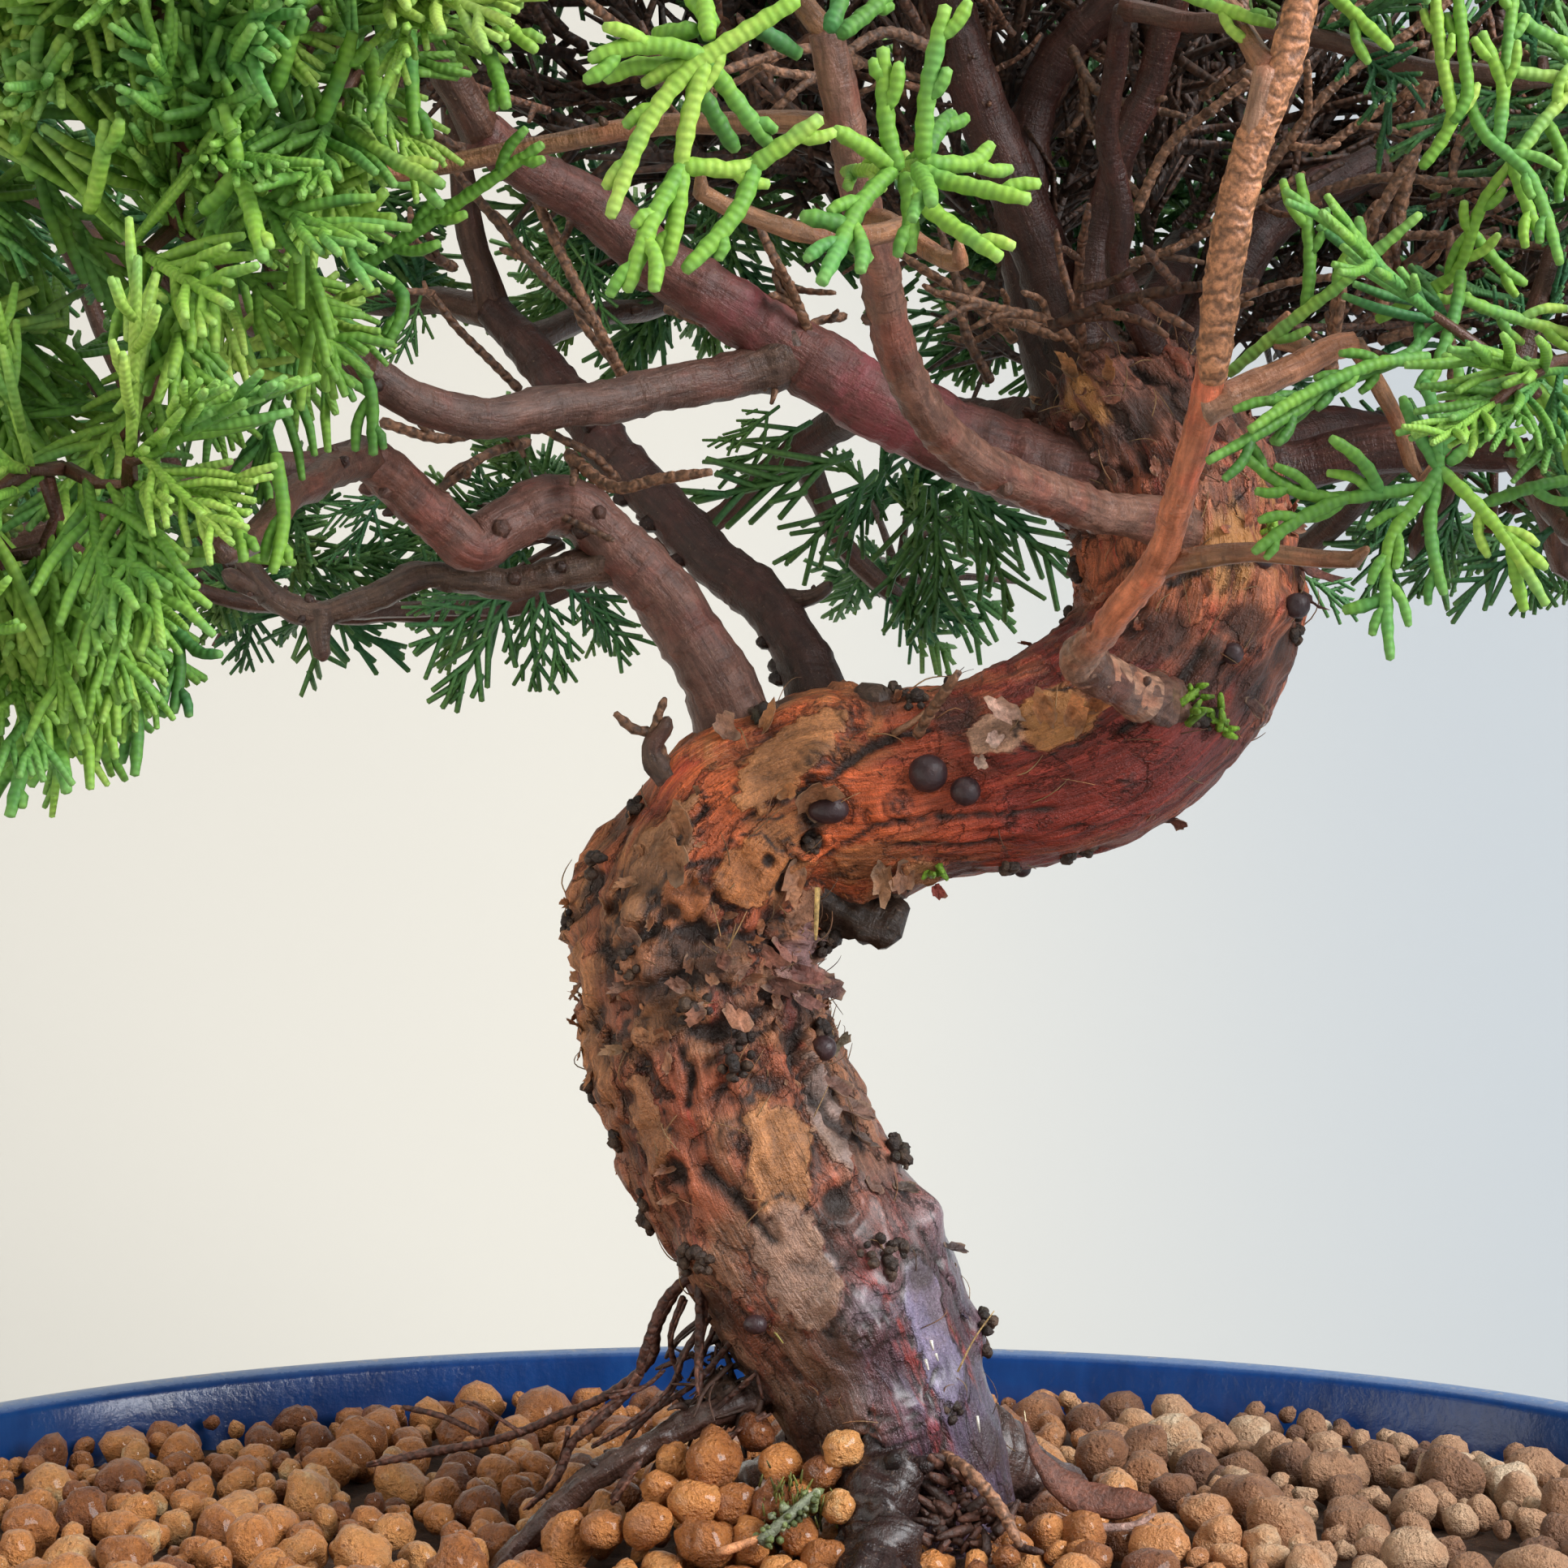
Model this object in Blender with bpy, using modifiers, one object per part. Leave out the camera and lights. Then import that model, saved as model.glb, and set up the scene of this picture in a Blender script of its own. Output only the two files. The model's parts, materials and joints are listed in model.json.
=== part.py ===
# A kishu juniper bonsai in a blue oval pot: glazed pot, two drainage screens, a bed of baked-clay granules,
# the wood of the tree as one body, and the foliage as one body for each leafy pad.
# Lengths are in millimetres and become Blender's metres through MM. +Z is up, the table is z = 0, the origin is
# under the middle of the pot, and the tree's front looks along -Y.

import math
import random

import bmesh
import bpy
import numpy as np
from mathutils import Matrix, Vector, noise

MM = 0.001

# The pot: an oval made from a turned profile that is squeezed along Y.
RIM_HALF_LENGTH = 103.0
RIM_HALF_WIDTH = 76.0
POT_HEIGHT = 56.0
POT_SQUEEZE = RIM_HALF_WIDTH / RIM_HALF_LENGTH
POT_STEPS = 36
WALL = 5.0
UNDERSIDE_Z = 6.0
FLOOR_Z = 12.0
FOOT_CENTRE = (50.0, 34.0)
FOOT_SIZE = (30.0, 15.0)
FOOT_TURN = math.radians(24.0)
DRAIN_X = 42.0
DRAIN_RADIUS = 8.0

# The drainage screens lie on the pot's floor, one over each hole.
SCREEN_SIDE = 26.0
SCREEN_OPENINGS = 3
SCREEN_BAR = 1.4

# The soil: a bed of granules, drawn larger than life as a lattice of peaks and hollows.
TOUCH_GAP = 0.3
SOIL_EDGE_Z = 50.6
SOIL_MOUND = 3.0
SOIL_MOUND_SPREAD = 34.0
GRANULE_PITCH = 11.5
GRANULE_RELIEF = 1.5
ROOT_CLEARANCE = 0.6

# The trunk: x, y, z and radius along its middle, from the root ball to the top knuckle.
TRUNK = (
    (14, 2, 40, 7.6), (13.5, 1.5, 47, 8.8), (12.8, 1, 53, 9.2), (11.4, 0, 59.5, 9.4), (8.6, 0, 67.3, 10.3),
    (4.8, 0, 75, 11.4), (0, 0, 82.5, 11.5), (-4, 0, 90.5, 11.6), (-6.5, 0, 98, 11.4), (-8, 0, 105.5, 11.3),
    (-7.3, 0, 112.6, 11.4), (-3.4, 0, 118.4, 10.2), (1.8, 0, 121.5, 9.8), (9, 0, 122, 9.6), (17, -1, 123.5, 9.2),
    (25.2, -2, 125.7, 10.2), (32, -2, 129.5, 10.4), (37, -1, 135.5, 10.4), (38.5, 0, 143, 10.2), (37.5, 2, 150, 10.2),
    (34.5, 4, 155.5, 9.6), (32, 6, 159.5, 8.2), (30, 8, 163, 6.0),
)

# Roots leave the foot of the trunk, lie on the soil and dive into it.
ROOTS = (
    (
        (4, -1, 67.5, 3.4), (-3, -3, 65.5, 2.3), (-9, -4, 63, 2.0), (-14.5, -5, 60.5, 1.9), (-19.5, -6, 57, 1.8),
        (-24, -7, 53, 1.6), (-28, -8, 48, 1.4),
    ),
    ((9, -5, 62, 4.5), (9, -12, 57.5, 3.8), (8, -17, 54, 3.4), (7, -24, 50, 2.6), (6, -30, 46, 2.0)),
    ((18, 6, 58, 4.5), (25, 13, 54, 3.0), (31, 20, 50, 2.2), (36, 26, 45, 1.6)),
    ((6, 6, 60, 4.0), (0, 14, 55, 2.8), (-5, 21, 51, 2.2), (-9, 27, 46, 1.6)),
)

# The limbs: x, y, z and radius along each, from inside what it grows from to where its twigs take over.
LIMBS = {
    "low_left": (
        (-4, 0, 123.5, 5), (-5, -1, 129.5, 3.7), (-7.5, -2, 135, 3.3), (-11, -3, 140, 3.1), (-14.5, -4, 144.5, 3),
        (-19, -5, 148.5, 2.8), (-22.5, -7, 148.5, 2.8), (-25.5, -9, 146.5, 2.6), (-28.5, -11, 144.5, 2.4),
        (-31, -13, 146.5, 2.3), (-34.5, -16, 150, 2.2), (-37, -20, 152, 2.1),
    ),
    "back_left": (
        (3.5, 6, 128, 4), (3, 9, 132, 2.9), (1, 12, 137, 2.7), (-2.5, 15, 142, 2.6), (-8, 18, 146.5, 2.6),
        (-12.5, 21, 151, 2.5), (-16.5, 24, 156, 2.5), (-20.5, 27, 161, 2.4), (-24, 30, 165, 2.3),
        (-27.5, 33, 169.5, 2.2), (-31, 36, 173.5, 2),
    ),
    "main_left": (
        (35, 2, 150, 6), (26.5, 0, 152, 4.2), (17, -2, 155, 3.8), (9.5, -4, 158.5, 3.6), (2.5, -5, 162, 3.4),
        (-2.5, -6, 165.5, 3.1), (-8, -8, 169, 2.8), (-13, -9, 172.5, 2.6), (-18, -11, 176, 2.4),
        (-23, -14, 178.5, 2.2), (-27, -18, 181, 2),
    ),
    "main_left_fork": (
        (0.5, -5, 163, 3), (-4, -7, 161, 2.2), (-10, -10, 159.5, 2.1), (-15, -13, 158, 2), (-20, -16, 157, 2),
        (-26.5, -20, 155.5, 1.9), (-31.5, -24, 156, 1.8), (-36, -27, 158.5, 1.7),
    ),
    "front_thin": (
        (39, -5, 146, 3), (31.5, -15, 147, 2), (24.5, -23, 148, 1.9), (18, -31, 149.5, 1.8), (13, -39, 152, 1.7),
        (9.5, -47, 155.5, 1.6), (7.5, -55, 160.5, 1.6), (6, -62, 165, 1.5), (4.5, -68, 171, 1.4),
        (3, -71, 177, 1.3),
    ),
    "front_right": (
        (33, -6, 129, 2.6), (29, -17, 131.5, 1.8), (25.5, -29, 133.5, 1.7), (26.5, -40, 136, 1.6), (29, -49, 140, 1.6),
        (30, -56, 144.5, 1.5), (31, -60, 149, 1.5), (31.5, -64, 153.5, 1.4), (32, -67, 158, 1.4),
        (32.5, -69, 163, 1.4), (33.5, -71, 168, 1.3), (34.5, -73, 174, 1.3),
    ),
    "front_right_fork": (
        (31.3, -62, 151, 1.4), (35.5, -62, 153, 1.3), (39.5, -61, 154.8, 1.2), (43, -60, 156.2, 1.1),
    ),
    "right_back": (
        (38, 4, 152.5, 5), (47.5, 10, 156.5, 2.9), (56.5, 16, 158, 2.6), (64, 22, 158, 2.2), (69, 27, 157, 1.8),
    ),
    "right": ((38, 2, 150, 5), (47, 3, 153, 2.9), (56, 2, 155, 2.5), (64, 0, 155, 2.1), (69, -3, 154, 1.7)),
    "up_middle": (
        (31, 6, 159.5, 4), (29, 6, 166, 2.2), (29.5, 5, 172, 1.8), (30.5, 4, 178, 1.6), (32.5, 2, 184, 1.6),
        (34.5, 0, 189.5, 1.5), (36, -3, 195, 1.5), (38, -8, 201.5, 1.4),
    ),
    "up_twig": (
        (37, 2, 159, 2.5), (35.5, 0, 163.5, 1.6), (33, -3, 167.5, 1.3), (31, -5, 171.5, 1.2), (31, -7, 175.5, 1.2),
        (30, -9, 180.5, 1.1), (29.5, -13, 186, 1.1), (30, -20, 191.5, 1),
    ),
    "up_left": (
        (29, 9, 160, 4.5), (26, 11, 166.5, 3), (24, 13, 175, 2.6), (24, 14, 183, 2.4), (24.5, 14, 189.5, 2.2),
        (27, 13, 195, 2.1), (31, 11, 198.5, 2), (37, 9, 203.5, 1.8),
    ),
    "up_right": (
        (36, 8, 157.5, 4), (41, 10, 166.5, 2.9), (46.5, 12, 176.5, 2.5), (53, 14, 182, 2.2), (59, 16, 185, 2),
    ),
    "up_back": ((34, 12, 159.5, 3.5), (37, 22, 168, 2.4), (40.5, 33, 176, 2.2), (43.5, 44, 182, 1.9)),
    "back_low": (
        (30, 10, 158.5, 3.5), (23.5, 22, 160, 2.4), (16, 34, 162, 2.2), (8, 44, 163, 2), (2, 53, 161, 1.8),
    ),
    "leader": (
        (30.5, 8, 161.5, 4), (25.5, 8, 173.5, 3), (20.5, 6, 185, 2.7), (16, 3, 196.5, 2.4), (12, 0, 207, 2.1),
        (9.5, 0, 215, 1.8),
    ),
}

# Bare wood that carries no leaves: a dead side branch with its stub, and short snags.
SNAGS = (
    (
        (-15.5, -4, 144, 2.2), (-19.5, -5, 143, 1.6), (-24.5, -6, 142, 1.5), (-29.5, -7, 142, 1.5),
        (-33.5, -8, 142, 1.4), (-38, -9, 140, 1.3), (-43, -10, 138.5, 1.3), (-47.5, -11, 140.5, 1.1),
        (-50.5, -12, 142, 0.8),
    ),
    ((-42.5, -10, 138.8, 1.2), (-42.8, -10.2, 136.8, 1), (-42.3, -10.4, 135, 0.8)),
    ((-47, -11, 140, 1), (-49, -11, 143, 1), (-48.8, -11, 144.8, 0.7)),
    ((-9, -6, 122, 1.5), (-12.2, -6.5, 126, 1), (-11, -6.6, 128.6, 0.8)),
    ((-1, 15, 141, 1.4), (2.5, 14, 141.5, 0.9), (4.2, 13.6, 142.6, 0.7)),
    ((8, -2, 126, 3), (8, -3.5, 130.5, 2.2), (7.6, -3.8, 131.6, 1.8)),
    ((3, -1, 113, 4.5), (7, -2.5, 110.5, 3.4), (10.2, -3, 109, 2.6)),
)

# Knobs on the trunk: x, z and radius of each, seen from the front. The bark's surface gives its y.
FRONT_KNOBS = (
    (-4.5, 97, 2.3), (6.5, 73, 3.1), (8.5, 79, 2.6), (12.5, 83.5, 2.6), (18, 73, 2.4), (-18, 94.5, 2),
    (-19, 108, 2), (-16.5, 116, 2.2), (13, 124, 2.2), (4.5, 120.5, 2.1), (45, 140.5, 2.5), (42.5, 135.5, 2.2),
    (-8.5, 79.5, 2.7), (28, 157, 3.4),
)
BACK_KNOBS = 4
BARK_RELIEF = 0.75
BARK_LUMP = 9.0
PLAIN_BELOW = 64.0

# Foliage: leafy pads on rings of a dome, open at the front so that the trunk shows.
# Each ring has a height, half length, half width, first and last azimuth, and its number of pads.
PAD_RINGS = (
    (150.0, 92.0, 83.0, -50.0, 210.0, 11),
    (187.0, 86.0, 76.0, -67.0, 263.0, 11),
    (219.0, 58.0, 50.0, -90.0, 225.0, 8),
    (238.0, 22.0, 20.0, -30.0, 210.0, 3),
)
FRONT_LIFT = 15.0
RINGS_SHIFT = (-2.0, -1.5)
PAD_REACH = 23.0
PAD_HALF_HEIGHT = 17.0
# Pads that hang lower at the front, on either side of the window and in it: x, y, z, reach and half height.
FRONT_PADS = (
    (-50, -78, 145, 23, 20), (-34, -74, 175, 18, 14), (-7, -93, 168, 12, 10), (12, -88, 164, 12, 10),
    (48, -66, 143, 12, 12), (42, -58, 163, 9, 9),
)
CROWN_HEART = Vector((12.0, 4.0, 150.0))
STEM_RADIUS = 0.8
STEM_LENGTH = 3.0
# Each pad has a slim core along its heading: place along it, as a share of the reach, and radius.
CORE_ROUTE = ((-0.5, 1.0), (-0.22, 2.9), (0.18, 3.1), (0.62, 0.9))
BLADES_PER_PAD = 14
SMALL_REACH = 15.0
BLADES_PER_SMALL_PAD = 11
BLADE_RADIUS = 1.4
ROOT_SPREAD = 0.34
ROOT_SETBACK = 0.1
BLADE_CLEARANCE = 0.35
TWIG_RADIUS = 0.85
STOUT_LIMB = 4.2
TWIG_POINTS = 4
CORE_CLEARANCE = 3.0

BARK_MATERIAL = ("bark", (0.30, 0.13, 0.07), 0.75, 0.0)
LEAF_MATERIAL = ("scale_leaves", (0.10, 0.27, 0.05), 0.55, 0.0)
GLAZE_MATERIAL = ("blue_glaze", (0.03, 0.07, 0.26), 0.18, 0.0)
CLAY_MATERIAL = ("clay_granules", (0.42, 0.20, 0.08), 0.95, 0.0)
SCREEN_MATERIAL = ("screen_plastic", (0.03, 0.03, 0.03), 0.6, 0.0)


def clear_scene():
    for obj in list(bpy.data.objects):
        bpy.data.objects.remove(obj)


def make_collection(name, shown=True):
    """A new collection in the scene. Cutters and other helpers go in one that isn't rendered."""
    collection = bpy.data.collections.new(name)
    collection.hide_render = not shown
    bpy.context.scene.collection.children.link(collection)
    return collection


def make_material(name, colour, roughness, metallic):
    material = bpy.data.materials.new(name)
    material.use_nodes = True
    shader = material.node_tree.nodes["Principled BSDF"]
    shader.inputs["Base Color"].default_value = (*colour, 1.0)
    shader.inputs["Roughness"].default_value = roughness
    shader.inputs["Metallic"].default_value = metallic
    return material


def add_object(name, mesh):
    obj = bpy.data.objects.new(name, mesh)
    bpy.context.scene.collection.objects.link(obj)
    return obj


def place_in(obj, collection):
    for other in list(obj.users_collection):
        other.objects.unlink(obj)
    collection.objects.link(obj)


def evaluated_mesh(obj):
    bpy.context.view_layer.update()
    graph = bpy.context.evaluated_depsgraph_get()
    return bpy.data.meshes.new_from_object(obj.evaluated_get(graph))


def apply_modifiers(obj):
    mesh = evaluated_mesh(obj)
    obj.modifiers.clear()
    obj.data = mesh


def combine(obj, operation, others):
    """Joins, cuts or intersects obj with all the others at once, and removes them."""
    group = bpy.data.collections.new("operands")
    for other in others:
        place_in(other, group)
    bpy.context.scene.collection.children.link(group)
    modifier = obj.modifiers.new("combine", "BOOLEAN")
    modifier.operation = operation
    modifier.operand_type = "COLLECTION"
    modifier.collection = group
    apply_modifiers(obj)
    for other in others:
        bpy.data.objects.remove(other)
    bpy.data.collections.remove(group)


def tube(name, route, resolution):
    """A closed tube along (x, y, z, radius) points, with 4 + 2 * resolution sides."""
    curve = bpy.data.curves.new(name, "CURVE")
    curve.dimensions = "3D"
    curve.bevel_depth = 1.0
    curve.bevel_resolution = resolution
    curve.use_fill_caps = True
    spline = curve.splines.new("POLY")
    spline.points.add(len(route) - 1)
    for point, (x, y, z, radius) in zip(spline.points, route):
        point.co = (x * MM, y * MM, z * MM, 1.0)
        point.radius = radius * MM
    guide = add_object(name + "_line", curve)
    mesh = evaluated_mesh(guide)
    bpy.data.objects.remove(guide)
    weld = bmesh.new()
    weld.from_mesh(mesh)
    bmesh.ops.remove_doubles(weld, verts=weld.verts, dist=1e-6)
    bmesh.ops.recalc_face_normals(weld, faces=weld.faces)
    weld.to_mesh(mesh)
    weld.free()
    return add_object(name, mesh)


def turned(name, profile, steps):
    """A body turned from (radius, z) points that run down its outer side, squeezed to the pot's oval."""
    mesh = bpy.data.meshes.new(name)
    points = [(radius * MM, 0.0, z * MM) for radius, z in profile]
    mesh.from_pydata(points, [(i, i + 1) for i in range(len(points) - 1)], [])
    obj = add_object(name, mesh)
    screw = obj.modifiers.new("turn", "SCREW")
    screw.steps = steps
    screw.render_steps = steps
    screw.use_merge_vertices = True
    screw.merge_threshold = 1e-5
    apply_modifiers(obj)
    obj.data.transform(Matrix.Diagonal((1.0, POT_SQUEEZE, 1.0, 1.0)))
    return obj


def box(name, centre, size, turn=0.0):
    bpy.ops.mesh.primitive_cube_add(size=1.0)
    obj = bpy.context.object
    obj.name = name
    scale = Matrix.Diagonal((*[side * MM for side in size], 1.0))
    move = Matrix.Translation(Vector(centre) * MM)
    obj.data.transform(move @ Matrix.Rotation(turn, 4, "Z") @ scale)
    return obj


def lump(name, centre, radii, divisions, roughness, seed):
    """A rounded lump with few faces, its surface pushed in and out by noise."""
    bpy.ops.mesh.primitive_ico_sphere_add(subdivisions=divisions, radius=1.0)
    obj = bpy.context.object
    obj.name = name
    shift = Vector((seed * 7.3, seed * 3.1, seed * 5.7))
    for vertex in obj.data.vertices:
        swell = 1.0 + roughness * noise.noise(vertex.co * 1.7 + shift)
        vertex.co = Vector([centre[k] + radii[k] * vertex.co[k] * swell for k in range(3)]) * MM
    return obj


def smooth_route(points, per_span):
    """A Catmull-Rom curve through (x, y, z, radius) points, with per_span samples for each span."""
    rows = [Vector(point) for point in points]
    rows = [2 * rows[0] - rows[1], *rows, 2 * rows[-1] - rows[-2]]
    samples = []
    for before, start, end, after in zip(rows, rows[1:], rows[2:], rows[3:]):
        for step in range(per_span):
            t = step / per_span
            linear = (end - before) * t
            square = (2 * before - 5 * start + 4 * end - after) * t * t
            cubic = (3 * start - before - 3 * end + after) * t ** 3
            samples.append(0.5 * (2 * start + linear + square + cubic))
    samples.append(rows[-2])
    return samples


def glazed_pot():
    """The oval pot: a turned wall and floor, four feet, and two drainage holes."""
    profile = (
        (0, FLOOR_Z), (76, FLOOR_Z), (82, 15), (88, 24), (93, 36), (RIM_HALF_LENGTH - WALL - 1.5, 48),
        (RIM_HALF_LENGTH - WALL, POT_HEIGHT - 1.2), (RIM_HALF_LENGTH - WALL + 1.2, POT_HEIGHT),
        (RIM_HALF_LENGTH - 1.2, POT_HEIGHT), (RIM_HALF_LENGTH, POT_HEIGHT - 1.4), (RIM_HALF_LENGTH, POT_HEIGHT - 7),
        (RIM_HALF_LENGTH - 3.5, POT_HEIGHT - 9), (98.5, 38), (94, 25), (88, 14), (80, UNDERSIDE_Z), (0, UNDERSIDE_Z),
    )
    pot = turned("pot", profile, POT_STEPS)
    feet = []
    for sign_x in (-1, 1):
        for sign_y in (-1, 1):
            centre = (sign_x * FOOT_CENTRE[0], sign_y * FOOT_CENTRE[1], UNDERSIDE_Z / 2 + 1)
            size = (*FOOT_SIZE, UNDERSIDE_Z + 2)
            foot = box("foot", centre, size, -sign_x * sign_y * FOOT_TURN)
            bevel = foot.modifiers.new("soften", "BEVEL")
            bevel.width = 2.0 * MM
            bevel.limit_method = "ANGLE"
            bevel.affect = "EDGES"
            apply_modifiers(foot)
            flatten_foot(foot)
            feet.append(foot)
    combine(pot, "UNION", feet)
    holes = []
    for sign in (-1, 1):
        bpy.ops.mesh.primitive_cylinder_add(vertices=16, radius=DRAIN_RADIUS * MM, depth=3 * FLOOR_Z * MM)
        hole = bpy.context.object
        hole.data.transform(Matrix.Translation((sign * DRAIN_X * MM, 0.0, FLOOR_Z * MM)))
        holes.append(hole)
    combine(pot, "DIFFERENCE", holes)
    return pot


def flatten_foot(foot):
    """Draws the foot's lower face in a little, as a hand-cut clay foot tapers, and keeps it flat on the table."""
    middle = sum((vertex.co for vertex in foot.data.vertices), Vector()) / len(foot.data.vertices)
    for vertex in foot.data.vertices:
        if vertex.co.z < 2.5 * MM:
            vertex.co.x += (middle.x - vertex.co.x) * 0.1
            vertex.co.y += (middle.y - vertex.co.y) * 0.1


def drainage_screen(name, sign):
    """A square plastic lattice that keeps the granules out of the drainage hole."""
    pitch = (SCREEN_SIDE - SCREEN_BAR) / SCREEN_OPENINGS
    middle_z = FLOOR_Z + TOUCH_GAP + SCREEN_BAR / 2
    bars = []
    for k in range(SCREEN_OPENINGS + 1):
        across = -SCREEN_SIDE / 2 + SCREEN_BAR / 2 + k * pitch
        bars.append(box("bar", (sign * DRAIN_X + across, 0, middle_z), (SCREEN_BAR, SCREEN_SIDE, SCREEN_BAR)))
        if k:
            bars.append(box("bar", (sign * DRAIN_X, across, middle_z), (SCREEN_SIDE, SCREEN_BAR, SCREEN_BAR * 0.96)))
    first = box(name, (sign * DRAIN_X, -SCREEN_SIDE / 2 + SCREEN_BAR / 2, middle_z),
                (SCREEN_SIDE, SCREEN_BAR, SCREEN_BAR * 0.96))
    combine(first, "UNION", bars)
    return first


def soil_height(x, y):
    """The soil's middle level: nearly flat, and drawn up round the foot of the trunk."""
    away = math.hypot(x - TRUNK[2][0], y - TRUNK[2][1])
    return SOIL_EDGE_Z + SOIL_MOUND * math.exp(-((away / SOIL_MOUND_SPREAD) ** 2))


def granular_slab():
    """A slab whose top is a triangular lattice of granule peaks, each ringed by six hollows."""
    side = GRANULE_PITCH / math.sqrt(3)
    row = side * math.sqrt(3) / 2
    rows = int(2 * RIM_HALF_WIDTH / row) + 2
    columns = int((2 * RIM_HALF_LENGTH + rows * side / 2) / side) + 2
    draw = random.Random(7)
    grid = bmesh.new()
    bmesh.ops.create_grid(grid, x_segments=columns, y_segments=rows, size=0.5)
    for vertex in grid.verts:
        column = round((vertex.co.x + 0.5) * columns)
        line = round((vertex.co.y + 0.5) * rows)
        x = (column - columns / 2 + (line - rows / 2) / 2) * side + draw.uniform(-0.7, 0.7)
        y = (line - rows / 2) * row + draw.uniform(-0.7, 0.7)
        peak = (column - line) % 3 == 0
        lift = draw.uniform(0.5, 1.3) if peak else -draw.uniform(0.5, 1.0)
        vertex.co = Vector((x, y, soil_height(x, y) + lift * GRANULE_RELIEF)) * MM
    bmesh.ops.triangulate(grid, faces=grid.faces, quad_method="SHORT_EDGE")
    made = bmesh.ops.extrude_face_region(grid, geom=grid.faces[:])
    for item in made["geom"]:
        if isinstance(item, bmesh.types.BMVert):
            item.co.z = FLOOR_Z / 2 * MM
    bmesh.ops.recalc_face_normals(grid, faces=grid.faces)
    mesh = bpy.data.meshes.new("soil")
    grid.to_mesh(mesh)
    grid.free()
    return add_object("soil", mesh)


def soil_bed(root_routes):
    """The soil fills the pot, with a hole round each root and a seat over each screen."""
    soil = granular_slab()
    gap = TOUCH_GAP + 0.15
    inside = turned("pot_inside", (
        (0, 70), (RIM_HALF_LENGTH - WALL - 1.5 - gap, 70), (RIM_HALF_LENGTH - WALL - 1.5 - gap, 48),
        (93 - gap, 36), (88 - gap, 24), (82 - gap, 15 + gap), (76, FLOOR_Z + gap), (0, FLOOR_Z + gap),
    ), POT_STEPS)
    combine(soil, "INTERSECT", [inside])
    cutters = [tube("root_hole", with_clearance(route, ROOT_CLEARANCE), sides) for route, sides in root_routes]
    for sign in (-1, 1):
        seat = SCREEN_SIDE + 2 * TOUCH_GAP
        top = FLOOR_Z + SCREEN_BAR + 2 * TOUCH_GAP
        cutters.append(box("seat", (sign * DRAIN_X, 0, top / 2), (seat, seat, top)))
    combine(soil, "DIFFERENCE", cutters)
    return soil


def with_clearance(route, clearance):
    """The same route, wider all round and longer at its far end, for the hole that a root stands in."""
    wider = [Vector((*point[:3], point[3] + clearance)) for point in route]
    for end, inner in ((0, 1), (-1, -2)):
        along = Vector(route[end][:3]) - Vector(route[inner][:3])
        wider[end] += Vector((*along.normalized(), 0.0)) * clearance
    return wider


def bark_relief(obj):
    """Pushes the trunk's surface in and out as burls and flutes, and leaves it plain where the soil meets it."""
    normals = [vertex.normal.copy() for vertex in obj.data.vertices]
    for vertex, normal in zip(obj.data.vertices, normals):
        place = vertex.co / MM
        fade = min(1.0, max(0.0, (place.z - PLAIN_BELOW) / 8.0))
        burl = noise.noise(place / BARK_LUMP) + 0.5 * noise.noise(place / BARK_LUMP * 2.3)
        vertex.co += normal * (burl * BARK_RELIEF * fade * MM)


def knob_places(trunk_route):
    """(centre, radius) of each knob, seated on the trunk's surface, front ones as listed and back ones drawn."""
    places = []
    for x, z, radius in FRONT_KNOBS:
        near = min(trunk_route, key=lambda row: math.hypot(row[0] - x, row[2] - z))
        offset = Vector((x - near[0], 0, z - near[2]))
        if offset.length > near[3] * 0.96:
            offset *= near[3] * 0.96 / offset.length
        depth = math.sqrt(near[3] ** 2 - offset.length_squared)
        places.append((Vector(near[:3]) + offset - Vector((0, depth - radius * 0.25, 0)), radius))
    draw = random.Random(11)
    for _ in range(BACK_KNOBS):
        k = draw.randrange(10, len(trunk_route) - 4)
        along = Vector(trunk_route[k + 1][:3]) - Vector(trunk_route[k - 1][:3])
        side = along.cross(Vector((0, 1, 0))).normalized()
        turn = Matrix.Rotation(draw.uniform(-1.2, 1.2), 3, along.normalized())
        outward = turn @ side.cross(along).normalized()
        outward = outward if outward.y > 0 else -outward
        places.append((Vector(trunk_route[k][:3]) + outward * trunk_route[k][3] * 0.96, draw.uniform(1.3, 2.6)))
    return places


def pad_list():
    """Name, centre, reach, half height and blade count of every foliage pad."""
    pads = []
    for height, half_length, half_width, first, last, count in PAD_RINGS:
        for k in range(count):
            azimuth = math.radians(first + (last - first) * k / (count - 1))
            lift = FRONT_LIFT * max(0.0, -math.sin(azimuth)) ** 4 if height > PAD_RINGS[0][0] else 0.0
            uneven = 3.0 * math.sin(5.0 * azimuth + height)
            x = RINGS_SHIFT[0] + half_length * math.cos(azimuth)
            y = RINGS_SHIFT[1] + half_width * math.sin(azimuth)
            centre = Vector((x, y, height + lift + uneven))
            pads.append((centre, PAD_REACH, PAD_HALF_HEIGHT, BLADES_PER_PAD))
    for x, y, z, reach, half_height in FRONT_PADS:
        count = BLADES_PER_PAD if reach > SMALL_REACH else BLADES_PER_SMALL_PAD
        pads.append((Vector((x, y, z)), float(reach), float(half_height), count))
    return [(f"foliage_{k + 1:02d}", *pad) for k, pad in enumerate(pads)]


def pad_axis(centre, reach, half_height):
    """The direction that a pad's stem and core run in, and the pad's reach in that direction."""
    outward = (centre - CROWN_HEART).normalized()
    heading = (outward + Vector((0, 0, 0.35))).normalized()
    flat = Vector((heading.x / reach, heading.y / reach, heading.z / half_height))
    return heading, 1.0 / flat.length


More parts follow.
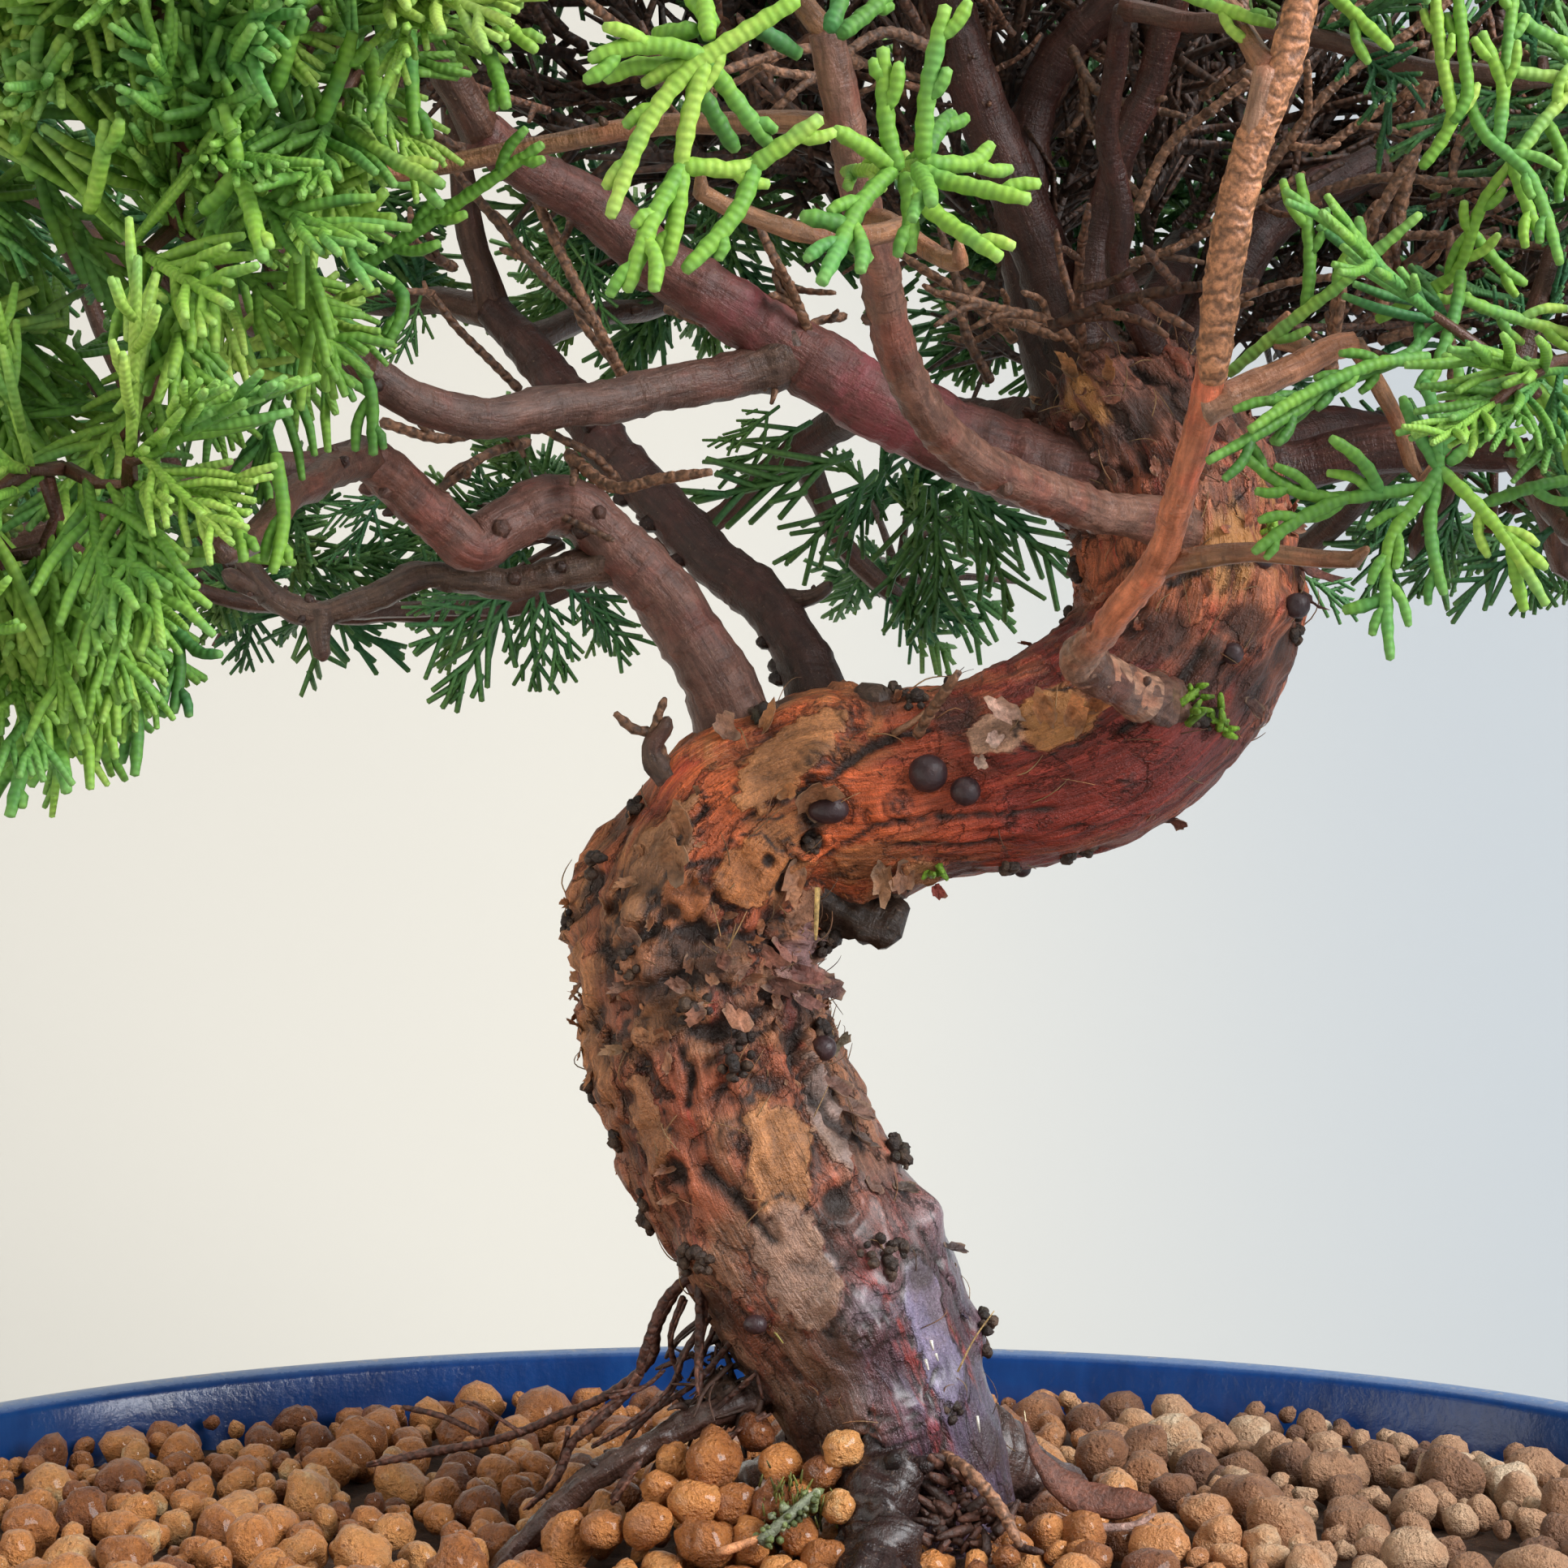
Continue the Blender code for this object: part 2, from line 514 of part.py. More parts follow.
def pad_entry(centre, reach, half_height):
    """Where the twig ends and the pad's own stem starts, and the direction that the stem runs in."""
    heading, along = pad_axis(centre, reach, half_height)
    return centre + heading * (CORE_ROUTE[0][0] * along - STEM_LENGTH), heading


def core_route(centre, reach, half_height):
    heading, along = pad_axis(centre, reach, half_height)
    return [(*(centre + heading * share * along), radius) for share, radius in CORE_ROUTE]


def bezier(start, start_handle, end_handle, end, count):
    rows = []
    for k in range(count):
        t = k / (count - 1)
        rows.append(start * (1 - t) ** 3 + start_handle * 3 * t * (1 - t) ** 2
                    + end_handle * 3 * t * t * (1 - t) + end * t ** 3)
    return rows


def crosses_core(rows, pads, own):
    """True if a route runs into the core of a pad that isn't its own."""
    others = [core_route(*pad[1:4]) for pad in pads if pad[0] != own]
    starts, ends, radii = segments_of(others)
    for start, end in zip(rows, rows[1:]):
        if (least_gap(np.array(start), np.array(end), starts, ends) < radii + CORE_CLEARANCE).any():
            return True
    return False


def grow_twigs(pads):
    """Runs a twig from the nearest fitting limb to each pad, nearest pads first, and returns name and route."""
    wood = [(Vector(point[:3]), point[3], Vector(after[:3]) - Vector(point[:3]), k >= len(route) - 2, name)
            for name, route in LIMBS.items()
            for k, (point, after) in enumerate(zip(route, route[1:]))
            if k >= len(route) // 3]
    wood += [(Vector(route[-1][:3]), route[-1][3], Vector(route[-1][:3]) - Vector(route[-2][:3]), True, name)
             for name, route in LIMBS.items()]
    unused_ends = set(LIMBS)
    twigs = []
    for name, centre, reach, half_height, _ in sorted(pads, key=lambda pad: (pad[1] - CROWN_HEART).length):
        end, heading = pad_entry(centre, reach, half_height)
        choices = []
        for place, radius, along, is_end, limb in wood:
            span = end - place
            turn = along.normalized().dot(span.normalized())
            cost = span.length * (1.6 - 0.6 * turn) - (22.0 if is_end and limb in unused_ends else 0.0)
            if span.length > 6.0 and turn > -0.2:
                choices.append((cost, place, radius, along, is_end, limb))
        choices.sort(key=lambda choice: choice[0])
        for _, place, radius, along, is_end, limb in choices:
            reach_out = 0.38 * (end - place).length
            start_handle = place + along.normalized() * reach_out
            rows = bezier(place, start_handle, end - heading * reach_out, end - heading * 2.0, TWIG_POINTS - 1)
            rows.append(end)
            if not crosses_core(rows, pads, name):
                break
        if is_end:
            unused_ends.discard(limb)
        thick = min(radius * 0.9, 1.7)
        route = [(*row, thick + (TWIG_RADIUS - thick) * k / (TWIG_POINTS - 1)) for k, row in enumerate(rows)]
        twigs.append((name, route))
        wood += [(Vector(a[:3]), a[3], Vector(b[:3]) - Vector(a[:3]), False, name)
                 for a, b in zip(route[1:-1], route[2:])]
    return twigs


def segments_of(routes):
    """Every straight stretch of the routes as two arrays of ends and one of radii."""
    pairs = [(a, b) for route in routes for a, b in zip(route, route[1:])]
    starts = np.array([a[:3] for a, _ in pairs], float)
    ends = np.array([b[:3] for _, b in pairs], float)
    radii = np.array([max(a[3], b[3]) for a, b in pairs], float)
    return starts, ends, radii


def least_gap(start, end, starts, ends):
    """The distance from one stretch to each of many others."""
    own, other = end - start, ends - starts
    apart = start - starts
    own_sq = own @ own
    other_sq = (other * other).sum(1)
    own_apart, other_apart, both = apart @ own, (other * apart).sum(1), other @ own
    depth = np.maximum(own_sq * other_sq - both * both, 1e-9)
    s = np.clip((both * other_apart - own_apart * other_sq) / depth, 0, 1)
    t = np.clip((both * s + other_apart) / other_sq, 0, 1)
    s = np.clip((both * t - own_apart) / own_sq, 0, 1)
    return np.linalg.norm(apart + s[:, None] * own - t[:, None] * other, axis=1)


class Clearance:
    """Remembers every stretch of wood and leaf, and says whether a new one stays clear of them."""

    def __init__(self, routes, pads):
        self.starts, self.ends, self.radii = segments_of(routes)
        self.owners = np.full(len(self.starts), "wood", dtype="<U32")
        for name, *size, _ in pads:
            stem = (*pad_entry(*size)[0], STEM_RADIUS)
            route = [stem, *core_route(*size)]
            for start, end in zip(route, route[1:]):
                self.add(start[:3], end[:3], max(start[3], end[3]), name)

    def is_free(self, start, end, radius, owner):
        others = self.owners != owner
        gaps = least_gap(start, end, self.starts[others], self.ends[others])
        return not (gaps < self.radii[others] + radius + BLADE_CLEARANCE).any()

    def add(self, start, end, radius, owner):
        self.starts = np.vstack([self.starts, start])
        self.ends = np.vstack([self.ends, end])
        self.radii = np.append(self.radii, radius)
        self.owners = np.append(self.owners, owner)


def blade(start, end, radius):
    """A slim three-sided leafy shoot from start to a point at end."""
    length = (end - start).length
    bpy.ops.mesh.primitive_cone_add(vertices=3, radius1=radius * MM, radius2=0.0, depth=length * MM)
    obj = bpy.context.object
    turn = (end - start).to_track_quat("Z", "Y").to_matrix().to_4x4()
    obj.data.transform(Matrix.Translation((start + end) / 2 * MM) @ turn)
    return obj


def even_directions(count, draw):
    """Directions spread evenly over the sphere, turned as a whole by a drawn angle."""
    turn = Matrix.Rotation(draw.uniform(0, math.tau), 3, Vector((draw.random(), draw.random(), 1)).normalized())
    golden = math.pi * (3 - math.sqrt(5))
    rows = []
    for k in range(count):
        z = 1 - (2 * k + 1) / count
        level = math.sqrt(1 - z * z)
        rows.append(turn @ Vector((level * math.cos(golden * k), level * math.sin(golden * k), z)))
    return rows


def foliage_pad(pad, seed, clearance):
    """One leafy pad: a stem that thickens to a slim core, and blades that lean forward out of it all round."""
    name, centre, reach, half_height, count = pad
    draw = random.Random(seed)
    heading, along = pad_axis(centre, reach, half_height)
    stem_start = pad_entry(centre, reach, half_height)[0] + heading * TOUCH_GAP
    core = tube(name, [(*stem_start, STEM_RADIUS), *core_route(centre, reach, half_height)], 0)
    blades = []
    for direction in even_directions(count, draw):
        forward = direction.dot(heading)
        start = centre + heading * along * (ROOT_SPREAD * forward - ROOT_SETBACK)
        for share in (draw.uniform(0.92, 1.06), 0.84, 0.74):
            swing = Vector([draw.uniform(-0.15, 0.15) for _ in range(3)])
            offset = direction * share + swing
            tip = centre + Vector((offset.x * reach, offset.y * reach, offset.z * half_height))
            if clearance.is_free(np.array(start), np.array(tip), BLADE_RADIUS, name):
                clearance.add(np.array(start), np.array(tip), BLADE_RADIUS, name)
                blades.append(blade(start, tip, BLADE_RADIUS))
                break
    combine(core, "UNION", blades)
    return core


def tree_wood(trunk_route, twigs):
    """The trunk with its burls, and the roots, limbs, twigs, snags and knobs that grow from it, in one body."""
    wood = tube("wood", trunk_route, 4)
    bark_relief(wood)
    grown = [tube("root", route, 2) for route in ROOTS]
    grown += [tube(name, route, 1 if route[0][3] > STOUT_LIMB else 0) for name, route in LIMBS.items()]
    grown += [tube("twig", route, 0) for _, route in twigs]
    grown += [tube("snag", route, 0) for route in SNAGS]
    for k, (centre, radius) in enumerate(knob_places(trunk_route)):
        grown.append(lump("knob", centre, (radius,) * 3, 1, 0.3, k))
    combine(wood, "UNION", grown)
    return wood


def finish(obj, material, collection, sharp_degrees=None):
    obj.data.materials.clear()
    obj.data.materials.append(material)
    place_in(obj, collection)
    if sharp_degrees:
        obj.data.shade_smooth()
        obj.data.set_sharp_from_angle(angle=math.radians(sharp_degrees))


def main():
    clear_scene()
    collection = make_collection("kishu_juniper_bonsai")
    bark, leaves, glaze, clay, plastic = [
        make_material(*row)
        for row in (BARK_MATERIAL, LEAF_MATERIAL, GLAZE_MATERIAL, CLAY_MATERIAL, SCREEN_MATERIAL)
    ]
    trunk_route = smooth_route(TRUNK, 2)
    pads = pad_list()
    twigs = grow_twigs(pads)
    finish(glazed_pot(), glaze, collection, 40)
    finish(drainage_screen("drainage_screen_left", -1), plastic, collection)
    finish(drainage_screen("drainage_screen_right", 1), plastic, collection)
    finish(soil_bed([(trunk_route[:8], 4)] + [(route, 2) for route in ROOTS]), clay, collection)
    finish(tree_wood(trunk_route, twigs), bark, collection, 60)
    routes = [trunk_route, *ROOTS, *LIMBS.values(), *SNAGS, *[route for _, route in twigs]]
    clearance = Clearance(routes, pads)
    for seed, pad in enumerate(pads):
        finish(foliage_pad(pad, seed + 1, clearance), leaves, collection)


main()
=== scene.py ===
# Looks for the kishu juniper bonsai in its oval pot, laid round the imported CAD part.
# Lengths are in millimetres until a mesh is made, and +Z is up. The tree's front looks along -Y.
# Places marked as picture places are the x and y at which the scene's own camera sees them, in a frame of 1932.

import json
import math
import random

import bmesh
import bpy
import numpy as np
from bpy.props import FloatProperty, FloatVectorProperty, IntProperty, PointerProperty
from mathutils import Matrix, Vector, noise

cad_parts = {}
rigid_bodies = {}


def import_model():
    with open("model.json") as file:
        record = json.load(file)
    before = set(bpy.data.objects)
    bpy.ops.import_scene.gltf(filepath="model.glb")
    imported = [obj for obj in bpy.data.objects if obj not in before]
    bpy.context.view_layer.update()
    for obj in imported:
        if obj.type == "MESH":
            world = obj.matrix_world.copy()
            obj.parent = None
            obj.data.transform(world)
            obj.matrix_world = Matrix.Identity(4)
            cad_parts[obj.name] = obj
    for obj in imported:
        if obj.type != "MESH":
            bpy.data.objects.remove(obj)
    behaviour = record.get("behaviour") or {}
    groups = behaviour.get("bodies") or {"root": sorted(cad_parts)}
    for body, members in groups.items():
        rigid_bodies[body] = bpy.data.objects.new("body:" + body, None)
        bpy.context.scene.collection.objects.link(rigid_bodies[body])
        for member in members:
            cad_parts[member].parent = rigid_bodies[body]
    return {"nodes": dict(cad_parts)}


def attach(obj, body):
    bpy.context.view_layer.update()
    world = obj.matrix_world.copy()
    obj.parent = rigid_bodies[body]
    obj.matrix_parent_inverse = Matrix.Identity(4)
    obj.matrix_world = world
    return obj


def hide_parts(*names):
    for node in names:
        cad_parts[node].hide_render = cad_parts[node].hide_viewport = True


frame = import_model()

bl_info = {
    "name": "Kishu juniper bonsai",
    "version": (1, 0, 0),
    "blender": (4, 5, 0),
    "location": "3D View > Sidebar > Bonsai",
    "description": "Builds the bark, foliage, granules, pot and stage of a small potted juniper",
    "category": "Object",
}

MM = 0.001
PICTURE = 1932
FOCAL_PIXELS = 3790.0
CAMERA_BACK = 292.0
CAMERA_HEIGHT = 123.0
SENSOR_WIDTH = 36.0


# ---------------------------------------------------------------- the CAD part's own lines, repeated

RIM_HALF_LENGTH = 103.0
RIM_HALF_WIDTH = 76.0
POT_SQUEEZE = RIM_HALF_WIDTH / RIM_HALF_LENGTH
FOOT_CENTRE = (50.0, 34.0)
FOOT_SIZE = (30.0, 15.0)
FOOT_TURN = math.radians(24.0)
DRAIN_X = 42.0
DRAIN_RADIUS = 8.0
SOIL_EDGE_Z = 50.6
SOIL_MOUND = 3.0
SOIL_MOUND_SPREAD = 34.0
SOIL_MIDDLE = (12.8, 1.0)
BARK_RELIEF = 0.75
BARK_LUMP = 9.0
PLAIN_BELOW = 64.0

# x, y, z and radius along the trunk, from the root ball to the top knuckle.
TRUNK = (
    (14, 2, 40, 7.6), (13.5, 1.5, 47, 8.8), (12.8, 1, 53, 9.2), (11.4, 0, 59.5, 9.4), (8.6, 0, 67.3, 10.3),
    (4.8, 0, 75, 11.4), (0, 0, 82.5, 11.5), (-4, 0, 90.5, 11.6), (-6.5, 0, 98, 11.4), (-8, 0, 105.5, 11.3),
    (-7.3, 0, 112.6, 11.4), (-3.4, 0, 118.4, 10.2), (1.8, 0, 121.5, 9.8), (9, 0, 122, 9.6), (17, -1, 123.5, 9.2),
    (25.2, -2, 125.7, 10.2), (32, -2, 129.5, 10.4), (37, -1, 135.5, 10.4), (38.5, 0, 143, 10.2), (37.5, 2, 150, 10.2),
    (34.5, 4, 155.5, 9.6), (32, 6, 159.5, 8.2), (30, 8, 163, 6.0),
)

# Roots leave the foot of the trunk, lie on the soil and dive into it.
ROOTS = (
    (
        (4, -1, 67.5, 3.4), (-3, -3, 65.5, 2.3), (-9, -4, 63, 2.0), (-14.5, -5, 60.5, 1.9), (-19.5, -6, 57, 1.8),
        (-24, -7, 53, 1.6), (-28, -8, 48, 1.4),
    ),
    ((9, -5, 62, 4.5), (9, -12, 57.5, 3.8), (8, -17, 54, 3.4), (7, -24, 50, 2.6), (6, -30, 46, 2.0)),
    ((18, 6, 58, 4.5), (25, 13, 54, 3.0), (31, 20, 50, 2.2), (36, 26, 45, 1.6)),
    ((6, 6, 60, 4.0), (0, 14, 55, 2.8), (-5, 21, 51, 2.2), (-9, 27, 46, 1.6)),
)

# The limbs, from inside what each grows from to where its twigs take over.
LIMBS = {
    "low_left": (
        (-4, 0, 123.5, 5), (-5, -1, 129.5, 3.7), (-7.5, -2, 135, 3.3), (-11, -3, 140, 3.1), (-14.5, -4, 144.5, 3),
        (-19, -5, 148.5, 2.8), (-22.5, -7, 148.5, 2.8), (-25.5, -9, 146.5, 2.6), (-28.5, -11, 144.5, 2.4),
        (-31, -13, 146.5, 2.3), (-34.5, -16, 150, 2.2), (-37, -20, 152, 2.1),
    ),
    "back_left": (
        (3.5, 6, 128, 4), (3, 9, 132, 2.9), (1, 12, 137, 2.7), (-2.5, 15, 142, 2.6), (-8, 18, 146.5, 2.6),
        (-12.5, 21, 151, 2.5), (-16.5, 24, 156, 2.5), (-20.5, 27, 161, 2.4), (-24, 30, 165, 2.3),
        (-27.5, 33, 169.5, 2.2), (-31, 36, 173.5, 2),
    ),
    "main_left": (
        (35, 2, 150, 6), (26.5, 0, 152, 4.2), (17, -2, 155, 3.8), (9.5, -4, 158.5, 3.6), (2.5, -5, 162, 3.4),
        (-2.5, -6, 165.5, 3.1), (-8, -8, 169, 2.8), (-13, -9, 172.5, 2.6), (-18, -11, 176, 2.4),
        (-23, -14, 178.5, 2.2), (-27, -18, 181, 2),
    ),
    "main_left_fork": (
        (0.5, -5, 163, 3), (-4, -7, 161, 2.2), (-10, -10, 159.5, 2.1), (-15, -13, 158, 2), (-20, -16, 157, 2),
        (-26.5, -20, 155.5, 1.9), (-31.5, -24, 156, 1.8), (-36, -27, 158.5, 1.7),
    ),
    "front_thin": (
        (39, -5, 146, 3), (31.5, -15, 147, 2), (24.5, -23, 148, 1.9), (18, -31, 149.5, 1.8), (13, -39, 152, 1.7),
        (9.5, -47, 155.5, 1.6), (7.5, -55, 160.5, 1.6), (6, -62, 165, 1.5), (4.5, -68, 171, 1.4),
        (3, -71, 177, 1.3),
    ),
    "front_right": (
        (33, -6, 129, 2.6), (29, -17, 131.5, 1.8), (25.5, -29, 133.5, 1.7), (26.5, -40, 136, 1.6), (29, -49, 140, 1.6),
        (30, -56, 144.5, 1.5), (31, -60, 149, 1.5), (31.5, -64, 153.5, 1.4), (32, -67, 158, 1.4),
        (32.5, -69, 163, 1.4), (33.5, -71, 168, 1.3), (34.5, -73, 174, 1.3),
    ),
    "front_right_fork": (
        (31.3, -62, 151, 1.4), (35.5, -62, 153, 1.3), (39.5, -61, 154.8, 1.2), (43, -60, 156.2, 1.1),
    ),
    "right_back": (
        (38, 4, 152.5, 5), (47.5, 10, 156.5, 2.9), (56.5, 16, 158, 2.6), (64, 22, 158, 2.2), (69, 27, 157, 1.8),
    ),
    "right": ((38, 2, 150, 5), (47, 3, 153, 2.9), (56, 2, 155, 2.5), (64, 0, 155, 2.1), (69, -3, 154, 1.7)),
    "up_middle": (
        (31, 6, 159.5, 4), (29, 6, 166, 2.2), (29.5, 5, 172, 1.8), (30.5, 4, 178, 1.6), (32.5, 2, 184, 1.6),
        (34.5, 0, 189.5, 1.5), (36, -3, 195, 1.5), (38, -8, 201.5, 1.4),
    ),
    "up_twig": (
        (37, 2, 159, 2.5), (35.5, 0, 163.5, 1.6), (33, -3, 167.5, 1.3), (31, -5, 171.5, 1.2), (31, -7, 175.5, 1.2),
        (30, -9, 180.5, 1.1), (29.5, -13, 186, 1.1), (30, -20, 191.5, 1),
    ),
    "up_left": (
        (29, 9, 160, 4.5), (26, 11, 166.5, 3), (24, 13, 175, 2.6), (24, 14, 183, 2.4), (24.5, 14, 189.5, 2.2),
        (27, 13, 195, 2.1), (31, 11, 198.5, 2), (37, 9, 203.5, 1.8),
    ),
    "up_right": (
        (36, 8, 157.5, 4), (41, 10, 166.5, 2.9), (46.5, 12, 176.5, 2.5), (53, 14, 182, 2.2), (59, 16, 185, 2),
    ),
    "up_back": ((34, 12, 159.5, 3.5), (37, 22, 168, 2.4), (40.5, 33, 176, 2.2), (43.5, 44, 182, 1.9)),
    "back_low": (
        (30, 10, 158.5, 3.5), (23.5, 22, 160, 2.4), (16, 34, 162, 2.2), (8, 44, 163, 2), (2, 53, 161, 1.8),
    ),
    "leader": (
        (30.5, 8, 161.5, 4), (25.5, 8, 173.5, 3), (20.5, 6, 185, 2.7), (16, 3, 196.5, 2.4), (12, 0, 207, 2.1),
        (9.5, 0, 215, 1.8),
    ),
}

# Bare wood that carries no leaves: a dead side branch with its stub, and short snags.
SNAGS = (
    (
        (-15.5, -4, 144, 2.2), (-19.5, -5, 143, 1.6), (-24.5, -6, 142, 1.5), (-29.5, -7, 142, 1.5),
        (-33.5, -8, 142, 1.4), (-38, -9, 140, 1.3), (-43, -10, 138.5, 1.3), (-47.5, -11, 140.5, 1.1),
        (-50.5, -12, 142, 0.8),
    ),
    ((-42.5, -10, 138.8, 1.2), (-42.8, -10.2, 136.8, 1), (-42.3, -10.4, 135, 0.8)),
    ((-47, -11, 140, 1), (-49, -11, 143, 1), (-48.8, -11, 144.8, 0.7)),
    ((-9, -6, 122, 1.5), (-12.2, -6.5, 126, 1), (-11, -6.6, 128.6, 0.8)),
    ((-1, 15, 141, 1.4), (2.5, 14, 141.5, 0.9), (4.2, 13.6, 142.6, 0.7)),
    ((8, -2, 126, 3), (8, -3.5, 130.5, 2.2), (7.6, -3.8, 131.6, 1.8)),
    ((3, -1, 113, 4.5), (7, -2.5, 110.5, 3.4), (10.2, -3, 109, 2.6)),
)

# Foliage pads on rings of a dome: height, half length, half width, first and last azimuth, number of pads.
PAD_RINGS = (
    (150.0, 92.0, 83.0, -50.0, 210.0, 11),
    (187.0, 86.0, 76.0, -67.0, 263.0, 11),
    (219.0, 58.0, 50.0, -90.0, 225.0, 8),
    (238.0, 22.0, 20.0, -30.0, 210.0, 3),
)
FRONT_LIFT = 15.0
RINGS_SHIFT = (-2.0, -1.5)
PAD_REACH = 23.0
PAD_HALF_HEIGHT = 17.0
# Pads that hang lower at the front: x, y, z, reach and half height.
FRONT_PADS = (
    (-50, -78, 145, 23, 20), (-34, -74, 175, 18, 14), (-7, -93, 168, 12, 10), (12, -88, 164, 12, 10),
    (48, -66, 143, 12, 12), (42, -58, 163, 9, 9),
)
CROWN_HEART = Vector((12.0, 4.0, 150.0))
STEM_LENGTH = 3.0
# Each pad's slim core: place along its heading, as a share of the reach, and radius.
CORE_ROUTE = ((-0.5, 1.0), (-0.22, 2.9), (0.18, 3.1), (0.62, 0.9))
TWIG_RADIUS = 0.85
TWIG_POINTS = 4
CORE_CLEARANCE = 3.0


# ---------------------------------------------------------------- node trees


class Wire:
    """One output of a node. Sums, products and powers of wires and numbers add their Math nodes."""

    def __init__(self, graph, socket):
        self.graph = graph
        self.socket = socket

    def maths(self, operation, *values):
        sockets = dict(enumerate(values))
        return self.graph.node("ShaderNodeMath", sockets, {"operation": operation})

    def __add__(self, other):
        return self.maths("ADD", self, other)

    def __sub__(self, other):
        return self.maths("SUBTRACT", self, other)

    def __rsub__(self, other):
        return self.maths("SUBTRACT", other, self)

    def __mul__(self, other):
        return self.maths("MULTIPLY", self, other)

    def __truediv__(self, other):
        return self.maths("DIVIDE", self, other)

    def __rtruediv__(self, other):
        return self.maths("DIVIDE", other, self)

    def __pow__(self, other):
        return self.maths("POWER", self, other)

    def __gt__(self, other):
        return self.maths("GREATER_THAN", self, other)

    def __lt__(self, other):
        return self.maths("LESS_THAN", self, other)

    __radd__ = __add__
    __rmul__ = __mul__

    def fraction(self):
        return self.maths("FRACT", self)

    def floor(self):
        return self.maths("FLOOR", self)

    def size(self):
        return self.maths("ABSOLUTE", self)

    def sine(self):
        return self.maths("SINE", self)

    def ramp(self, low, high, to_low=0.0, to_high=1.0):
        """Rises smoothly from to_low at low to to_high at high, and stays level beyond them."""
        sockets = {"Value": self, "From Min": low, "From Max": high, "To Min": to_low, "To Max": to_high}
        return self.graph.node("ShaderNodeMapRange", sockets, {"interpolation_type": "SMOOTHSTEP"})


class Graph:
    """A node tree of a material or of Geometry Nodes, with one method that adds any node."""

    def __init__(self, tree):
        self.tree = tree

    def node(self, kind, sockets=None, settings=None, out=None):
        node = self.tree.nodes.new(kind)
        for name, value in (settings or {}).items():
            if name == "stops":
                self.set_stops(node.color_ramp, value)
            else:
                setattr(node, name, value)
        for key, value in (sockets or {}).items():
            self.feed(self.pick(node.inputs, key), value)
        return Wire(self, self.pick(node.outputs, out or 0))

    def pick(self, sockets, key):
        """A socket by its place among those in use, or by its name."""
        used = [socket for socket in sockets if socket.enabled]
        if isinstance(key, int):
            return used[key]
        return next(socket for socket in used if socket.name == key)

    def feed(self, socket, value):
        if isinstance(value, Wire):
            self.tree.links.new(value.socket, socket)
        elif isinstance(value, tuple) and socket.type == "RGBA" and len(value) == 3:
            socket.default_value = (*value, 1.0)
        else:
            socket.default_value = value

    def set_stops(self, ramp, stops):
        while len(ramp.elements) < len(stops):
            ramp.elements.new(0.5)
        for element, (place, colour) in zip(ramp.elements, stops):
            element.position = place
            element.color = (*colour, 1.0)

    def read(self, name, out="Fac"):
        """A value that the mesh carries under this name: Fac for a number, Vector or Color for three."""
        return self.node("ShaderNodeAttribute", {}, {"attribute_name": name}, out)

    def place(self):
        """The point's own place in the object, in millimetres."""
        coordinates = self.node("ShaderNodeTexCoord", out="Object")
        return self.scaled(coordinates, 1.0 / MM)

    def scaled(self, vector, factor):
        if isinstance(factor, tuple):
            return self.times(vector, factor)
        return self.node("ShaderNodeVectorMath", {0: vector, "Scale": factor}, {"operation": "SCALE"})

    def ripple(self, vector, scale, detail=2.0, roughness=0.55, distortion=0.0):
        """Smooth noise from 0 to 1, with scale waves a millimetre."""
        sockets = {"Vector": vector, "Scale": scale, "Detail": detail, "Roughness": roughness,
                   "Distortion": distortion}
        return self.node("ShaderNodeTexNoise", sockets, {}, "Fac")

    def cells(self, vector, scale):
        """The distance to the nearest of scattered points, with scale points a millimetre."""
        return self.node("ShaderNodeTexVoronoi", {"Vector": vector, "Scale": scale}, {"feature": "F1"}, "Distance")

    def blend(self, share, first, second):
        """Colour first at share 0 and second at share 1."""
        settings = {"data_type": "RGBA", "blend_type": "MIX", "clamp_factor": True}
        return self.node("ShaderNodeMix", {"Factor": share, "A": first, "B": second}, settings, "Result")

    def stops(self, value, rows):
        return self.node("ShaderNodeValToRGB", {"Fac": value}, {"stops": rows}, "Color")

    def times(self, first, second):
        """The product of two colours or vectors, part by part."""
        return self.node("ShaderNodeVectorMath", {0: first, 1: second}, {"operation": "MULTIPLY"})

    def brighten(self, colour, factor):
        """Multiplies a colour by a value."""
        return self.times(colour, self.node("ShaderNodeCombineXYZ", {"X": factor, "Y": factor, "Z": factor}))

    def bump(self, height, distance, strength):
        """Height is in shares of distance, which is in millimetres."""
        sockets = {"Height": height, "Distance": distance * MM, "Strength": strength}
        return self.node("ShaderNodeBump", sockets)

    def axes(self, vector, names):
        """The named parts of a vector, such as its X and Y."""
        return [self.node("ShaderNodeSeparateXYZ", {"Vector": vector}, out=name) for name in names]

    def group_input(self, sockets):
        """Adds the inputs of a group, given as name and kind, and returns a wire from each by its name."""
        for name, kind in sockets.items():
            self.tree.interface.new_socket(name, in_out="INPUT", socket_type="NodeSocket" + kind)
        self.tree.interface.new_socket("Geometry", in_out="OUTPUT", socket_type="NodeSocketGeometry")
        return {name: self.node("NodeGroupInput", out=name) for name in sockets}

    def finish_group(self, geometry, material):
        """Sets the material, makes copies real and ends the group."""
        real = self.node("GeometryNodeRealizeInstances", {"Geometry": geometry})
        finished = self.node("GeometryNodeSetMaterial", {"Geometry": real, "Material": material})
        self.feed(self.tree.nodes.new("NodeGroupOutput").inputs["Geometry"], finished)


